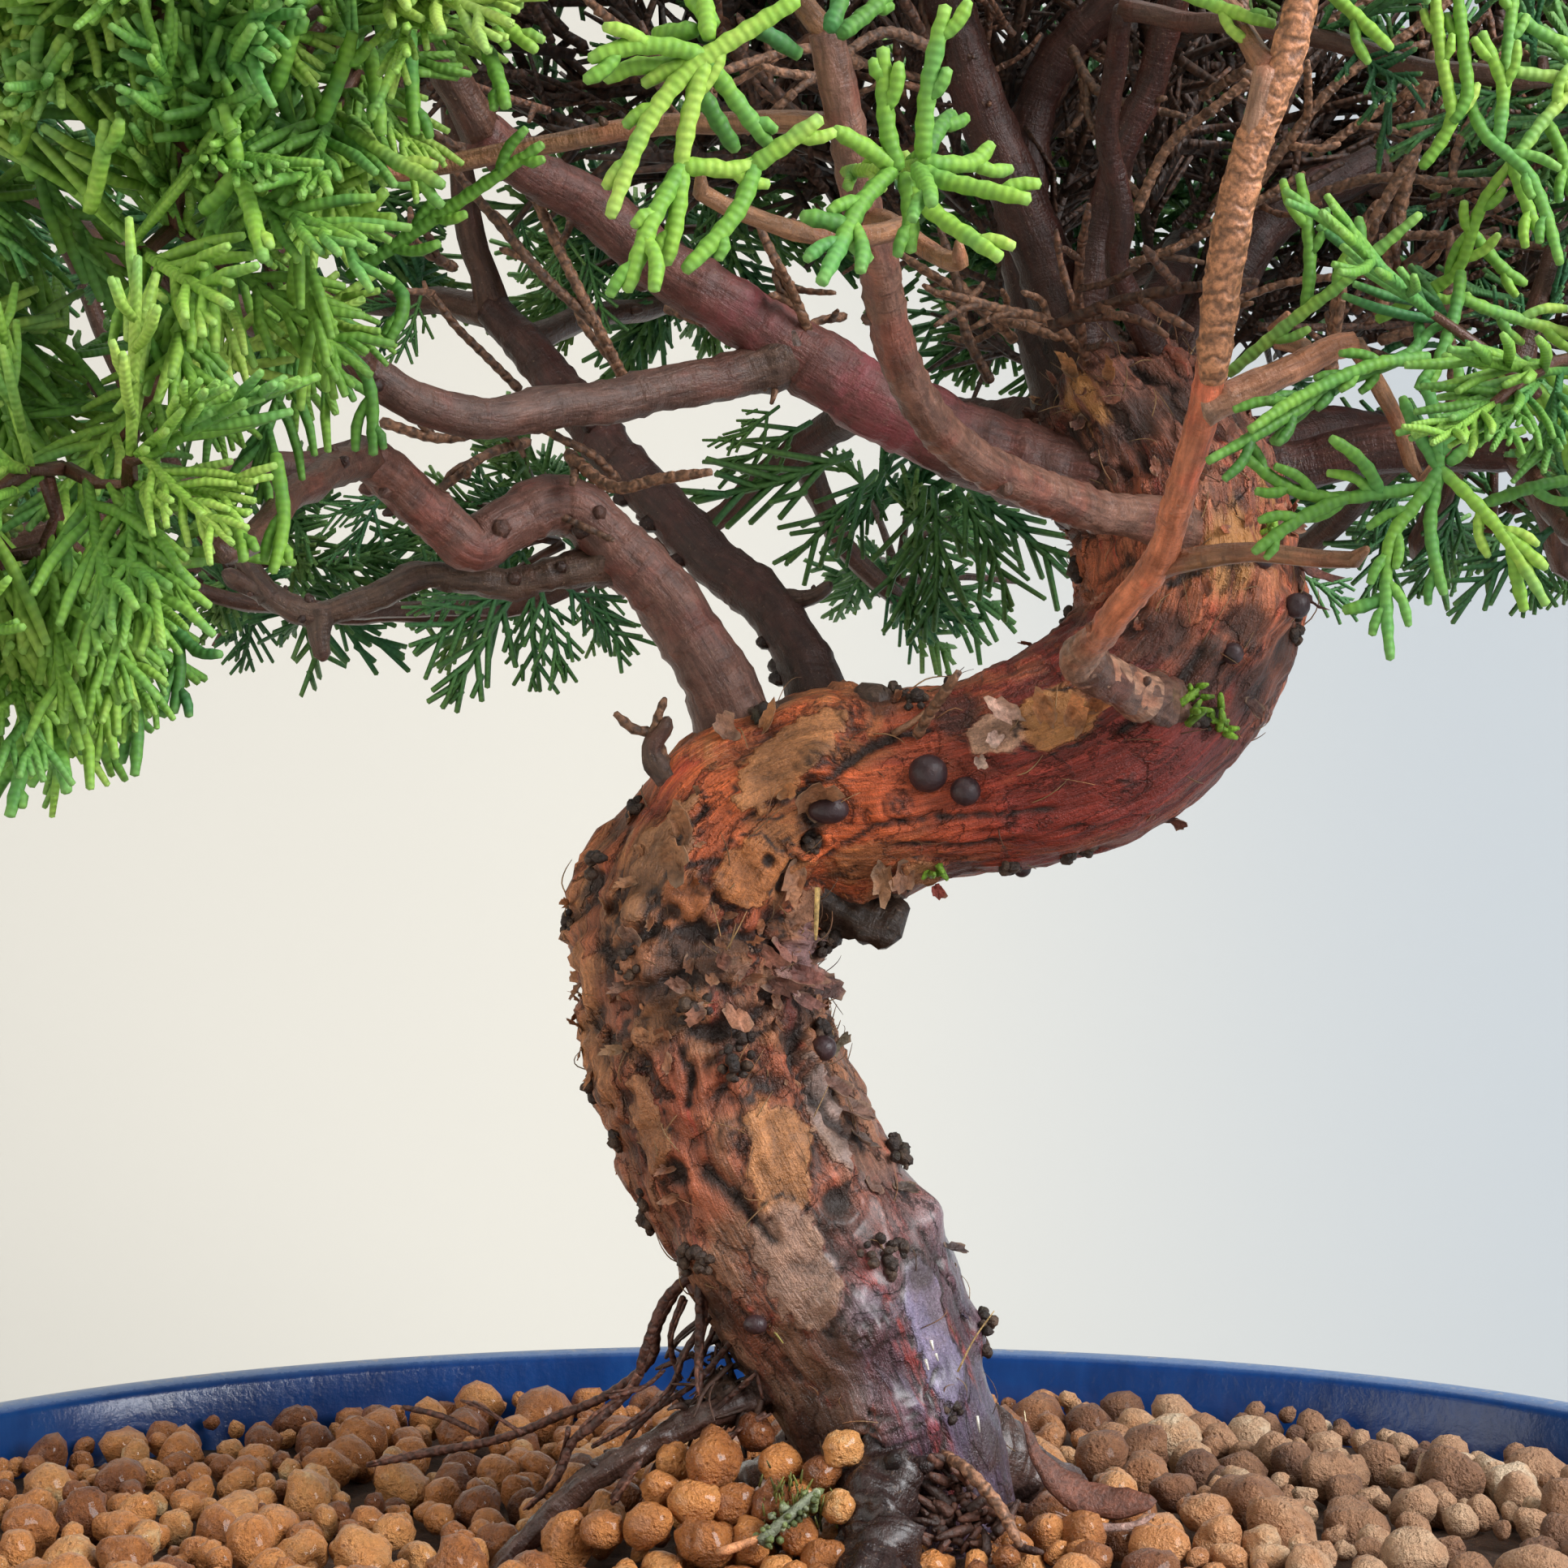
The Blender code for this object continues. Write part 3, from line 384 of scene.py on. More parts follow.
def new_material(name, paint, **fixed):
    """A Principled material. paint(graph) gives the sockets that vary, fixed those that don't."""
    material = bpy.data.materials.new(name)
    material.use_nodes = True
    graph = Graph(material.node_tree)
    shader = material.node_tree.nodes["Principled BSDF"]
    for socket, value in {**fixed, **paint(graph)}.items():
        graph.feed(shader.inputs[socket.replace("_", " ")], value)
    return material


# ---------------------------------------------------------------- meshes


def ripple(points, seed):
    """Gradient noise from about -1 to 1 at each row of points, one wave to a unit."""
    cell = np.floor(points)
    local = points - cell
    fade = local ** 3 * (local * (local * 6 - 15) + 10)
    cell = cell.astype(np.int64)
    total = np.zeros(len(points))
    for corner in np.ndindex(2, 2, 2):
        mixed = (cell + corner) @ np.array((73856093, 19349663, 83492791)) + seed * 374761393
        mixed = (mixed ^ (mixed >> 13)) * 1274126177
        mixed ^= mixed >> 16
        pull = np.stack([(mixed >> shift & 255) / 127.5 - 1 for shift in (0, 8, 16)], 1)
        weight = np.prod(np.where(np.array(corner) > 0, fade, 1 - fade), axis=1)
        total += weight * ((local - corner) * pull).sum(1)
    return 1.5 * total


def fbm(points, octaves, seed):
    """Several sizes of noise in one, the finer the weaker."""
    total = np.zeros(len(points))
    for k in range(octaves):
        total += ripple(points * 2.0 ** k, seed + k) * 0.5 ** k
    return total


def rise(value, low, high):
    """0 below low, 1 above high and a smooth step between."""
    share = np.clip((value - low) / (high - low), 0.0, 1.0)
    return share * share * (3 - 2 * share)


def unit(vectors):
    vectors = np.asarray(vectors, float)
    return vectors / np.maximum(np.linalg.norm(vectors, axis=-1, keepdims=True), 1e-9)


def stray_of(draw, reach=1.0):
    """A vector whose parts are each drawn from -reach to reach."""
    return np.array([draw.uniform(-reach, reach) for _ in range(3)])


def spaced(route, gap):
    """A smooth curve through (x, y, z, radius) rows, sampled every gap, with the distances along it."""
    rows = np.array(route, float)
    ends = np.vstack([2 * rows[0] - rows[1], rows, 2 * rows[-1] - rows[-2]])
    share = (np.arange(12) / 12)[:, None]
    spans = []
    for before, start, end, after in zip(ends, ends[1:], ends[2:], ends[3:]):
        square = (2 * before - 5 * start + 4 * end - after) * share ** 2
        cubic = (3 * start - before - 3 * end + after) * share ** 3
        spans.append(0.5 * (2 * start + (end - before) * share + square + cubic))
    fine = np.vstack([*spans, rows[-1:]])
    along = np.concatenate([[0.0], np.cumsum(np.linalg.norm(np.diff(fine[:, :3], axis=0), axis=1))])
    even = np.linspace(0, along[-1], max(2, round(along[-1] / gap) + 1))
    return np.column_stack([np.interp(even, along, fine[:, k]) for k in range(4)]), even


def frames(middle, first):
    """Directions along, in front of and beside each point of a line. The front starts near first."""
    along = unit(np.gradient(middle, axis=0))
    front = np.empty_like(along)
    pull = np.array(first, float)
    for k, ahead in enumerate(along):
        pull = unit(pull - ahead * (pull @ ahead))
        front[k] = pull
    return along, front, np.cross(along, front)


def ring_quads(rings, sides):
    """The faces between rings of points, one ring after another."""
    row = np.arange(rings - 1)[:, None] * sides
    here = np.arange(sides)[None, :]
    after = (here + 1) % sides
    return np.stack([row + here, row + after, row + sides + after, row + sides + here], -1).reshape(-1, 4)


def end_caps(rings, sides):
    """The faces that close the first and the last ring, to the two points that come after all rings."""
    here = np.arange(sides)
    after = (here + 1) % sides
    last, total = (rings - 1) * sides, rings * sides
    return np.vstack([np.column_stack([np.full(sides, total), after, here]),
                      np.column_stack([np.full(sides, total + 1), last + here, last + after])])


class Shape:
    """Collects the closed parts of one piece, with the values that its points carry."""

    def __init__(self):
        self.points, self.faces, self.values, self.count = [], [], {}, 0

    def add(self, points, faces, **values):
        """faces is a list of arrays, each with one row of point numbers for each face."""
        self.points.append(np.asarray(points, float))
        self.faces += [np.asarray(rows) + self.count for rows in faces if len(rows)]
        for name, value in values.items():
            value = np.asarray(value, float)
            wide = (len(points),) if value.ndim == 0 or len(value) == len(points) and value.ndim == 1 else (
                len(points), value.shape[-1])
            self.values.setdefault(name, []).append((self.count, np.broadcast_to(value, wide)))
        self.count += len(points)

    def mesh(self, name):
        mesh = bpy.data.meshes.new(name)
        faces = [row for rows in self.faces for row in rows.tolist()]
        mesh.from_pydata((np.vstack(self.points) * MM).tolist(), [], faces)
        for name, rows in self.values.items():
            width = rows[0][1].shape[1] if rows[0][1].ndim > 1 else 1
            full = np.zeros((self.count, width), np.float32)
            for start, value in rows:
                full[start:start + len(value)] = value.reshape(len(value), width)
            kind = "FLOAT_VECTOR" if width == 3 else "FLOAT"
            attribute = mesh.attributes.new(name, kind, "POINT")
            attribute.data.foreach_set("vector" if width == 3 else "value", full.ravel())
        mesh.shade_smooth()
        return mesh


# How far the ends of a tube stand out, as a share of its radius.
END_BULGE = 0.45


def tube(shape, rows, along, sides, swell=None, first=(0.3, -1.0, 0.2), **values):
    """Adds a closed tube along rows of x, y, z and radius. swell(turn, along) scales the radius."""
    ahead, front, side = frames(rows[:, :3], first)
    turn = np.arange(sides) * math.tau / sides
    spokes = np.cos(turn)[None, :, None] * front[:, None] + np.sin(turn)[None, :, None] * side[:, None]
    radius = np.repeat(rows[:, 3:4], sides, 1)
    if swell is not None:
        radius = radius * swell(turn[None, :], along[:, None])
    points = (rows[:, None, :3] + spokes * radius[..., None]).reshape(-1, 3)
    start = rows[0, :3] - ahead[0] * rows[0, 3] * END_BULGE
    end = rows[-1, :3] + ahead[-1] * rows[-1, 3] * END_BULGE
    spread = {}
    for name, value in values.items():
        value = np.asarray(value, float)
        if value.ndim and len(value) == len(rows) and name != "tint":
            value = np.concatenate([np.repeat(value, sides, 0), value[:1], value[-1:]])
        spread[name] = value
    grain = np.column_stack([
        (radius * np.cos(turn)).ravel(), (radius * np.sin(turn)).ravel(), np.repeat(along, sides)])
    grain = np.vstack([grain, [0, 0, along[0] - rows[0, 3]], [0, 0, along[-1] + rows[-1, 3]]])
    shape.add(np.vstack([points, start, end]), [ring_quads(len(rows), sides), end_caps(len(rows), sides)],
              grain=grain + values_shift(rows), **spread)


def values_shift(rows):
    """A shift of the grain, so that no two tubes have the same marks."""
    return np.array([rows[0, 0] * 3.7, rows[0, 2] * 2.9, rows[0, 1] * 5.3])


def ball(divisions):
    """Points and faces of a round ball of radius 1."""
    grid = bmesh.new()
    bmesh.ops.create_icosphere(grid, subdivisions=divisions, radius=1.0)
    points = np.array([vertex.co for vertex in grid.verts])
    faces = np.array([[vertex.index for vertex in face.verts] for face in grid.faces])
    grid.free()
    return points, faces


def lump(shape, centre, radii, divisions, roughness, seed, pitch=1.7, **values):
    """Adds a rounded lump, its surface pushed in and out by noise."""
    points, faces = ball(divisions)
    swell = 1.0 + roughness * fbm(points * pitch + seed * 7.3, 2, seed)
    shape.add(np.array(centre) + points * np.array(radii) * swell[:, None], [faces], **values)


def turns_of(aims, faces):
    """Euler angles that turn local Z to each aim and local Y as near each face direction as it can."""
    ahead = unit(aims)
    flat = unit(faces - ahead * (faces * ahead).sum(1, keepdims=True))
    side = np.cross(flat, ahead)
    return np.column_stack([
        np.arctan2(flat[:, 2], ahead[:, 2]),
        np.arcsin(np.clip(-side[:, 2], -1, 1)),
        np.arctan2(side[:, 1], side[:, 0]),
    ])


def seen_at(points):
    """The picture places of points given in millimetres."""
    depth = CAMERA_BACK + points[..., 1]
    across = PICTURE / 2 + FOCAL_PIXELS * points[..., 0] / depth
    down = PICTURE / 2 - FOCAL_PIXELS * (points[..., 2] - CAMERA_HEIGHT) / depth
    return np.stack([across, down], -1)


def from_picture(across, down, y):
    """The point that the camera sees at a picture place, at a given y."""
    reach = (CAMERA_BACK + y) / FOCAL_PIXELS
    return np.array(((across - PICTURE / 2) * reach, y, CAMERA_HEIGHT + (PICTURE / 2 - down) * reach))


def add_piece(name, mesh, material, nodes=()):
    """Puts a finished mesh in the scene as a piece that rides on the tree's one body."""
    obj = bpy.data.objects.new(name, mesh)
    bpy.context.scene.collection.objects.link(obj)
    mesh.materials.clear()
    mesh.materials.append(material)
    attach(obj, "root")
    if nodes:
        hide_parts(*nodes)
    return obj


def evaluated_mesh(obj):
    """A plain mesh of what the object's modifiers make."""
    bpy.context.view_layer.update()
    graph = bpy.context.evaluated_depsgraph_get()
    return bpy.data.meshes.new_from_object(obj.evaluated_get(graph))


def grown_mesh(name, carrier, tree, inputs):
    """The mesh that a group of Geometry Nodes makes from a carrier mesh, with values for its named inputs."""
    obj = bpy.data.objects.new(name, carrier)
    bpy.context.scene.collection.objects.link(obj)
    modifier = obj.modifiers.new(tree.name, "NODES")
    modifier.node_group = tree
    sockets = {item.name: item.identifier for item in tree.interface.items_tree if item.in_out == "INPUT"}
    for key, value in inputs.items():
        modifier[sockets[key]] = value
    mesh = evaluated_mesh(obj)
    bpy.data.objects.remove(obj)
    return mesh


# ---------------------------------------------------------------- scattering with Geometry Nodes


def scatter_tree():
    """Sets a shape from a collection on every point, turned, sized and picked as the point says."""
    tree = bpy.data.node_groups.new("set_shapes_on_points", "GeometryNodeTree")
    graph = Graph(tree)
    given = graph.group_input({"Geometry": "Geometry", "Shapes": "Collection", "Size": "Float", "Wander": "Float",
                               "Seed": "Int", "Finish": "Material"})
    turn, size, pick = [
        graph.node("GeometryNodeInputNamedAttribute", {"Name": name}, {"data_type": kind}, "Attribute")
        for name, kind in (("turn", "FLOAT_VECTOR"), ("size", "FLOAT"), ("pick", "INT"))]
    twist = graph.node("FunctionNodeRandomValue", {"Min": -1.0, "Max": 1.0, "Seed": given["Seed"]},
                       {"data_type": "FLOAT"})
    spin = graph.node("ShaderNodeCombineXYZ", {"Z": twist * given["Wander"]})
    rotation = graph.node("FunctionNodeRotateRotation", {
        "Rotation": graph.node("FunctionNodeEulerToRotation", {"Euler": turn}),
        "Rotate By": graph.node("FunctionNodeEulerToRotation", {"Euler": spin}),
    }, {"rotation_space": "LOCAL"})
    shapes = graph.node("GeometryNodeCollectionInfo", {
        "Collection": given["Shapes"], "Separate Children": True, "Reset Children": True})
    set_out = graph.node("GeometryNodeInstanceOnPoints", {
        "Points": given["Geometry"], "Instance": shapes, "Pick Instance": True, "Instance Index": pick,
        "Rotation": rotation, "Scale": size * given["Size"]})
    graph.finish_group(set_out, given["Finish"])
    return tree


def scatter(name, shapes, rows, material, wander, seed):
    """A mesh of shapes set on points. rows hold place, aim, face, size, pick and any further values."""
    tree = bpy.data.node_groups.get("set_shapes_on_points") or scatter_tree()
    shelf = bpy.data.collections.new(name + "_shapes")
    for k, mesh in enumerate(shapes):
        shelf.objects.link(bpy.data.objects.new(f"{name}_shape_{k:02d}", mesh))
    carrier = bpy.data.meshes.new(name + "_points")
    carrier.from_pydata((rows["place"] * MM).tolist(), [], [])
    turn = turns_of(rows["aim"], rows["face"])
    carrier.attributes.new("turn", "FLOAT_VECTOR", "POINT").data.foreach_set("vector", turn.ravel())
    carrier.attributes.new("pick", "INT", "POINT").data.foreach_set("value", rows["pick"].astype(np.int32))
    for key in set(rows) - {"place", "aim", "face", "pick"}:
        values = rows[key].astype(np.float32)
        carrier.attributes.new(key, "FLOAT", "POINT").data.foreach_set("value", values)
    mesh = grown_mesh(name + "_carrier", carrier, tree, {
        "Shapes": shelf, "Size": 1.0, "Wander": wander, "Seed": seed, "Finish": material})
    mesh.name = name
    for helper in list(shelf.objects):
        bpy.data.objects.remove(helper)
    bpy.data.collections.remove(shelf)
    return mesh


# ---------------------------------------------------------------- the pads and their twigs, as in the CAD part


def pad_list():
    """Name, centre, reach and half height of every foliage pad, as the CAD part has them."""
    pads = []
    for height, half_length, half_width, first, last, count in PAD_RINGS:
        for k in range(count):
            azimuth = math.radians(first + (last - first) * k / (count - 1))
            lift = FRONT_LIFT * max(0.0, -math.sin(azimuth)) ** 4 if height > PAD_RINGS[0][0] else 0.0
            uneven = 3.0 * math.sin(5.0 * azimuth + height)
            x = RINGS_SHIFT[0] + half_length * math.cos(azimuth)
            y = RINGS_SHIFT[1] + half_width * math.sin(azimuth)
            pads.append((Vector((x, y, height + lift + uneven)), PAD_REACH, PAD_HALF_HEIGHT))
    pads += [(Vector((x, y, z)), float(reach), float(half_height)) for x, y, z, reach, half_height in FRONT_PADS]
    return [(f"foliage_{k + 1:02d}", *pad) for k, pad in enumerate(pads)]


def pad_axis(centre, reach, half_height):
    """The direction that a pad's stem and core run in, and the pad's reach in that direction."""
    outward = (centre - CROWN_HEART).normalized()
    heading = (outward + Vector((0, 0, 0.35))).normalized()
    flat = Vector((heading.x / reach, heading.y / reach, heading.z / half_height))
    return heading, 1.0 / flat.length


def pad_entry(centre, reach, half_height):
    """Where the twig ends and the pad's own stem starts, and the direction that the stem runs in."""
    heading, along = pad_axis(centre, reach, half_height)
    return centre + heading * (CORE_ROUTE[0][0] * along - STEM_LENGTH), heading


def core_route(centre, reach, half_height):
    heading, along = pad_axis(centre, reach, half_height)
    return [(*(centre + heading * share * along), radius) for share, radius in CORE_ROUTE]


def bezier(start, start_handle, end_handle, end, count):
    rows = []
    for k in range(count):
        t = k / (count - 1)
        rows.append(start * (1 - t) ** 3 + start_handle * 3 * t * (1 - t) ** 2
                    + end_handle * 3 * t * t * (1 - t) + end * t ** 3)
    return rows


def crosses_core(rows, pads, own):
    """True if a route runs into the core of a pad that isn't its own."""
    others = [core_route(*pad[1:4]) for pad in pads if pad[0] != own]
    starts, ends, radii = segments_of(others)
    for start, end in zip(rows, rows[1:]):
        if (least_gap(np.array(start), np.array(end), starts, ends) < radii + CORE_CLEARANCE).any():
            return True
    return False


def grow_twigs(pads):
    """Runs a twig from the nearest fitting limb to each pad, nearest pads first, and returns name and route."""
    wood = [(Vector(point[:3]), point[3], Vector(after[:3]) - Vector(point[:3]), k >= len(route) - 2, name)
            for name, route in LIMBS.items()
            for k, (point, after) in enumerate(zip(route, route[1:]))
            if k >= len(route) // 3]
    wood += [(Vector(route[-1][:3]), route[-1][3], Vector(route[-1][:3]) - Vector(route[-2][:3]), True, name)
             for name, route in LIMBS.items()]
    unused_ends = set(LIMBS)
    twigs = []
    for name, centre, reach, half_height in sorted(pads, key=lambda pad: (pad[1] - CROWN_HEART).length):
        end, heading = pad_entry(centre, reach, half_height)
        choices = []
        for place, radius, along, is_end, limb in wood:
            span = end - place
            turn = along.normalized().dot(span.normalized())
            cost = span.length * (1.6 - 0.6 * turn) - (22.0 if is_end and limb in unused_ends else 0.0)
            if span.length > 6.0 and turn > -0.2:
                choices.append((cost, place, radius, along, is_end, limb))
        choices.sort(key=lambda choice: choice[0])
        for _, place, radius, along, is_end, limb in choices:
            reach_out = 0.38 * (end - place).length
            start_handle = place + along.normalized() * reach_out
            rows = bezier(place, start_handle, end - heading * reach_out, end - heading * 2.0, TWIG_POINTS - 1)
            rows.append(end)
            if not crosses_core(rows, pads, name):
                break
        if is_end:
            unused_ends.discard(limb)
        thick = min(radius * 0.9, 1.7)
        route = [(*row, thick + (TWIG_RADIUS - thick) * k / (TWIG_POINTS - 1)) for k, row in enumerate(rows)]
        twigs.append((name, route))
        wood += [(Vector(a[:3]), a[3], Vector(b[:3]) - Vector(a[:3]), False, name)
                 for a, b in zip(route[1:-1], route[2:])]
    return twigs


def segments_of(routes):
    """Every straight stretch of the routes as two arrays of ends and one of radii."""
    pairs = [(a, b) for route in routes for a, b in zip(route, route[1:])]
    starts = np.array([a[:3] for a, _ in pairs], float)
    ends = np.array([b[:3] for _, b in pairs], float)
    radii = np.array([max(a[3], b[3]) for a, b in pairs], float)
    return starts, ends, radii


def least_gap(start, end, starts, ends):
    """The distance from one stretch to each of many others."""
    own, other = end - start, ends - starts
    apart = start - starts
    own_sq = own @ own
    other_sq = (other * other).sum(1)
    own_apart, other_apart, both = apart @ own, (other * apart).sum(1), other @ own
    depth = np.maximum(own_sq * other_sq - both * both, 1e-9)
    s = np.clip((both * other_apart - own_apart * other_sq) / depth, 0, 1)
    t = np.clip((both * s + other_apart) / other_sq, 0, 1)
    s = np.clip((both * t - own_apart) / own_sq, 0, 1)
    return np.linalg.norm(apart + s[:, None] * own - t[:, None] * other, axis=1)


# ---------------------------------------------------------------- the trunk

TRUNK_GAP = 0.5
TRUNK_SIDES = 142
FRONT_DENSITY = 0.35
TRUNK_GIRTH = 11.0
DOME = 3.5

# How the bark changes with the distance along the trunk: rows of distance, then strengths or colours.
PLATE_STEP = ((0, 0.08), (22, 0.1), (45, 0.18), (60, 0.28), (80, 0.3), (92, 0.22), (102, 0.1), (128, 0.14), (140, 0.3),
              (163, 0.4))
FIBRE_DEPTH = ((0, 0.04), (40, 0.06), (58, 0.12), (66, 0.3), (76, 0.26), (84, 0.05), (94, 0.12), (108, 0.2), (128, 0.2),
               (140, 0.3), (163, 0.4))
LUMP_DEPTH = ((0, 0.12), (45, 0.16), (58, 0.3), (64, 0.85), (76, 0.8), (83, 0.16), (100, 0.12), (128, 0.22), (145, 0.6),
              (163, 0.8))
FOLD_DEPTH = ((0, 0), (56, 0.1), (62, 0.75), (74, 0.8), (80, 0.15), (92, 0.0), (125, 0.1), (138, 0.45), (150, 0.3))
WETNESS = ((0, 1.0), (32, 0.9), (44, 0.35), (60, 0.1), (163, 0.1))
# From about 147 mm on, under the crown, both colours are darker: partly the bark's own purple-brown, partly painted
# shade.
OUTER_BARK = (
    (0, 0.095, 0.046, 0.034), (18, 0.140, 0.072, 0.056), (32, 0.240, 0.128, 0.084), (45, 0.290, 0.135, 0.075),
    (58, 0.325, 0.128, 0.058), (68, 0.250, 0.104, 0.054), (76, 0.330, 0.127, 0.056), (85, 0.472, 0.182, 0.063),
    (95, 0.472, 0.154, 0.051), (110, 0.37, 0.092, 0.038), (125, 0.27, 0.062, 0.031), (136, 0.450, 0.142, 0.062),
    (147, 0.24, 0.086, 0.052), (163, 0.16, 0.06, 0.038),
)
INNER_BARK = (
    (0, 0.081, 0.034, 0.028), (18, 0.130, 0.055, 0.045), (32, 0.220, 0.085, 0.055), (45, 0.340, 0.105, 0.052),
    (58, 0.36, 0.098, 0.044), (68, 0.205, 0.064, 0.036), (76, 0.354, 0.088, 0.039), (85, 0.708, 0.149, 0.041),
    (95, 0.661, 0.132, 0.037), (110, 0.31, 0.036, 0.02), (125, 0.18, 0.024, 0.017), (136, 0.510, 0.135, 0.055),
    (147, 0.26, 0.075, 0.04), (163, 0.17, 0.055, 0.032),
)
# Purple-grey of the foot's right side, made bluer to stand for the window's sheen there: partly the bark's colour,
# partly painted sheen.
PURPLE_GREY_AND_SHEEN = (0.078, 0.06, 0.115)
# Painted light on the left of the bend: lighter and more orange, where the light falls.
LIT_BEND_COLOUR = (0.42, 0.18, 0.07)

# Flat or domed knots ringed like little targets: picture place, radius and height.
RINGED_KNOTS = (
    (868, 1082, 2.1, 0.5), (1056, 888, 2.5, 1.3), (1007, 940, 2.3, 1.0), (1108, 990, 1.8, 0.7), (1061, 1637, 3.3, 1.6),
    (905, 1399, 2.0, 0.6), (822, 1161, 1.7, 0.6), (770, 1285, 1.5, 0.7), (1026, 1511, 1.6, 0.6), (1045, 1594, 1.2, 0.5),
    (1495, 800, 1.8, 0.9), (1570, 742, 2.0, 1.0), (1536, 800, 1.4, 0.8), (1040, 846, 2.4, 1.4), (938, 1623, 1.4, 0.6),
    (1300, 640, 1.8, 0.8), (1545, 690, 1.6, 0.8), (1240, 1010, 1.2, 0.4), (1390, 960, 1.3, 0.5), (990, 1310, 1.5, 0.9),
)
# Smooth swellings: picture place, radius and height.
SWELLINGS = (
    (1135, 1497, 2.8, 1.5), (1078, 1557, 3.0, 0.9), (1206, 1640, 2.6, 1.2), (720, 1345, 2.0, 1.1),
    (712, 1150, 2.0, 1.2), (745, 1070, 1.8, 0.9), (880, 1240, 3.5, 1.0), (800, 1180, 3.2, 0.9),
    (1090, 1424, 2.4, 0.9), (866, 1547, 2.6, 1.0), (1060, 1140, 4.0, 1.0), (910, 1310, 2.2, 0.5),
    (1330, 790, 2.6, 0.8), (1420, 880, 3.6, 0.9), (1560, 760, 2.6, 1.0), (870, 935, 5.0, 1.3), (1000, 870, 4.5, 1.2),
    (1120, 870, 3.5, 0.8), (1100, 1750, 3.5, 1.3), (1350, 480, 3.5, 1.2),
)
# Pits: picture place, radius and depth.
PITS = (
    (945, 1060, 0.8, 0.7), (1030, 1480, 1.7, 0.9), (833, 1441, 1.6, 0.8), (1087, 1128, 1.8, 1.6),
    (1000, 1040, 1.2, 0.6),
)
# Torn plates of old bark: picture place, half length, half width, lean from the trunk's line, thickness, colour.
PLATES = (
    (972, 940, 6.4, 2.7, -0.45, 0.55, (0.43, 0.215, 0.09)), (812, 1065, 6.2, 2.3, 0.1, 0.55, (0.27, 0.15, 0.075)),
    (925, 1075, 3.6, 3.0, 0.4, 0.4, (0.42, 0.18, 0.06)), (845, 1110, 2.8, 2.2, 0.2, 0.35, (0.40, 0.16, 0.06)),
    (1228, 905, 3.2, 2.2, 0.0, 0.35, (0.52, 0.36, 0.27)), (1300, 885, 3.8, 2.6, 0.3, 0.35, (0.47, 0.24, 0.085)),
    (985, 1130, 3.6, 2.3, 0.2, 0.5, (0.33, 0.19, 0.12)), (975, 1180, 3.2, 2.6, 0.9, 0.5, (0.27, 0.18, 0.19)),
    (960, 1430, 6.5, 3.0, 0.25, 0.35, (0.40, 0.21, 0.09)), (800, 1390, 5.0, 2.2, 0.1, 0.35, (0.30, 0.15, 0.07)),
    (1010, 1370, 6.0, 1.6, 0.1, 0.6, (0.25, 0.21, 0.20)), (985, 1560, 6.0, 3.6, 0.2, 0.2, (0.34, 0.235, 0.18)),
    # The plate at 1150, 1640 is bluish as a painted sheen: the window's reflection on the wet foot.
    (1135, 1075, 2.2, 1.9, 0.8, 0.6, (0.36, 0.19, 0.09)), (1150, 1640, 7.5, 2.6, 0.1, 0.15, (0.19, 0.19, 0.34)),
    (820, 1250, 4.2, 2.2, 1.2, 0.4, (0.30, 0.16, 0.08)), (890, 1180, 3.0, 2.0, 0.9, 0.4, (0.19, 0.10, 0.055)),
)
# Cracks and folds: picture places along each, then width and depth.
CRACKS = (
    ((845, 1290), (852, 1325), (850, 1360), 0.45, 0.8),
    ((872, 1442), (900, 1468), (930, 1500), (952, 1522), 0.8, 0.5),
    ((870, 1000), (838, 1035), (828, 1080), (800, 1105), (802, 1140), 0.4, 0.5),
    ((985, 1270), (975, 1310), (1000, 1360), (1040, 1400), 0.5, 0.7),
    ((760, 1180), (800, 1150), (850, 1150), 0.6, 0.7),
    ((960, 1095), (1000, 1020), (985, 985), (1010, 965), 0.45, 0.6),
    ((1020, 960), (1080, 915), (1140, 900), 0.5, 0.6),
    ((1010, 1060), (1080, 1015), (1180, 1005), (1300, 1000), 0.4, 0.4),
    ((1100, 1040), (1200, 1040), (1330, 1020), 0.4, 0.4), ((1150, 1690), (1140, 1720), (1165, 1790), 0.3, 0.4),
    ((1130, 1520), (1165, 1580), (1195, 1640), 0.35, 0.4), ((880, 1560), (940, 1640), (980, 1700), 0.4, 0.5),
    ((1060, 1735), (1095, 1745), (1135, 1738), 0.35, 0.6), ((1058, 1750), (1095, 1762), (1140, 1752), 0.35, 0.6),
    ((1062, 1768), (1098, 1778), (1140, 1768), 0.35, 0.6), ((1380, 900), (1440, 860), (1480, 800), 0.5, 0.6),
    ((1440, 720), (1500, 690), (1560, 700), 0.5, 0.5), ((800, 1215), (850, 1200), (900, 1225), 0.5, 0.6),
    ((900, 1150), (950, 1180), (1000, 1200), 0.5, 0.6),
)
# Where the torn layers are gone and smooth orange bark shows: picture place and radius.
BARE = (
    (880, 1035, 3.4), (862, 1000, 3.0), (905, 1090, 2.4), (1100, 985, 4.0), (1200, 1000, 5.0), (1300, 1000, 5.5),
    (1390, 960, 5.0), (1450, 900, 3.5), (1130, 905, 3.0), (960, 1330, 2.8), (865, 1470, 3.0), (935, 1420, 2.6),
    (1000, 1450, 3.0), (760, 1230, 3.0), (890, 1340, 2.5), (820, 1330, 2.8),
)
# Where peeled fibres are golden, with a glint of light painted on them: picture place and radius.
GOLD_GLINTS = ((1515, 690, 4.2), (1545, 655, 3.6), (1300, 880, 3.0), (1335, 480, 2.4), (1350, 520, 1.8), (1560, 610, 2.0))
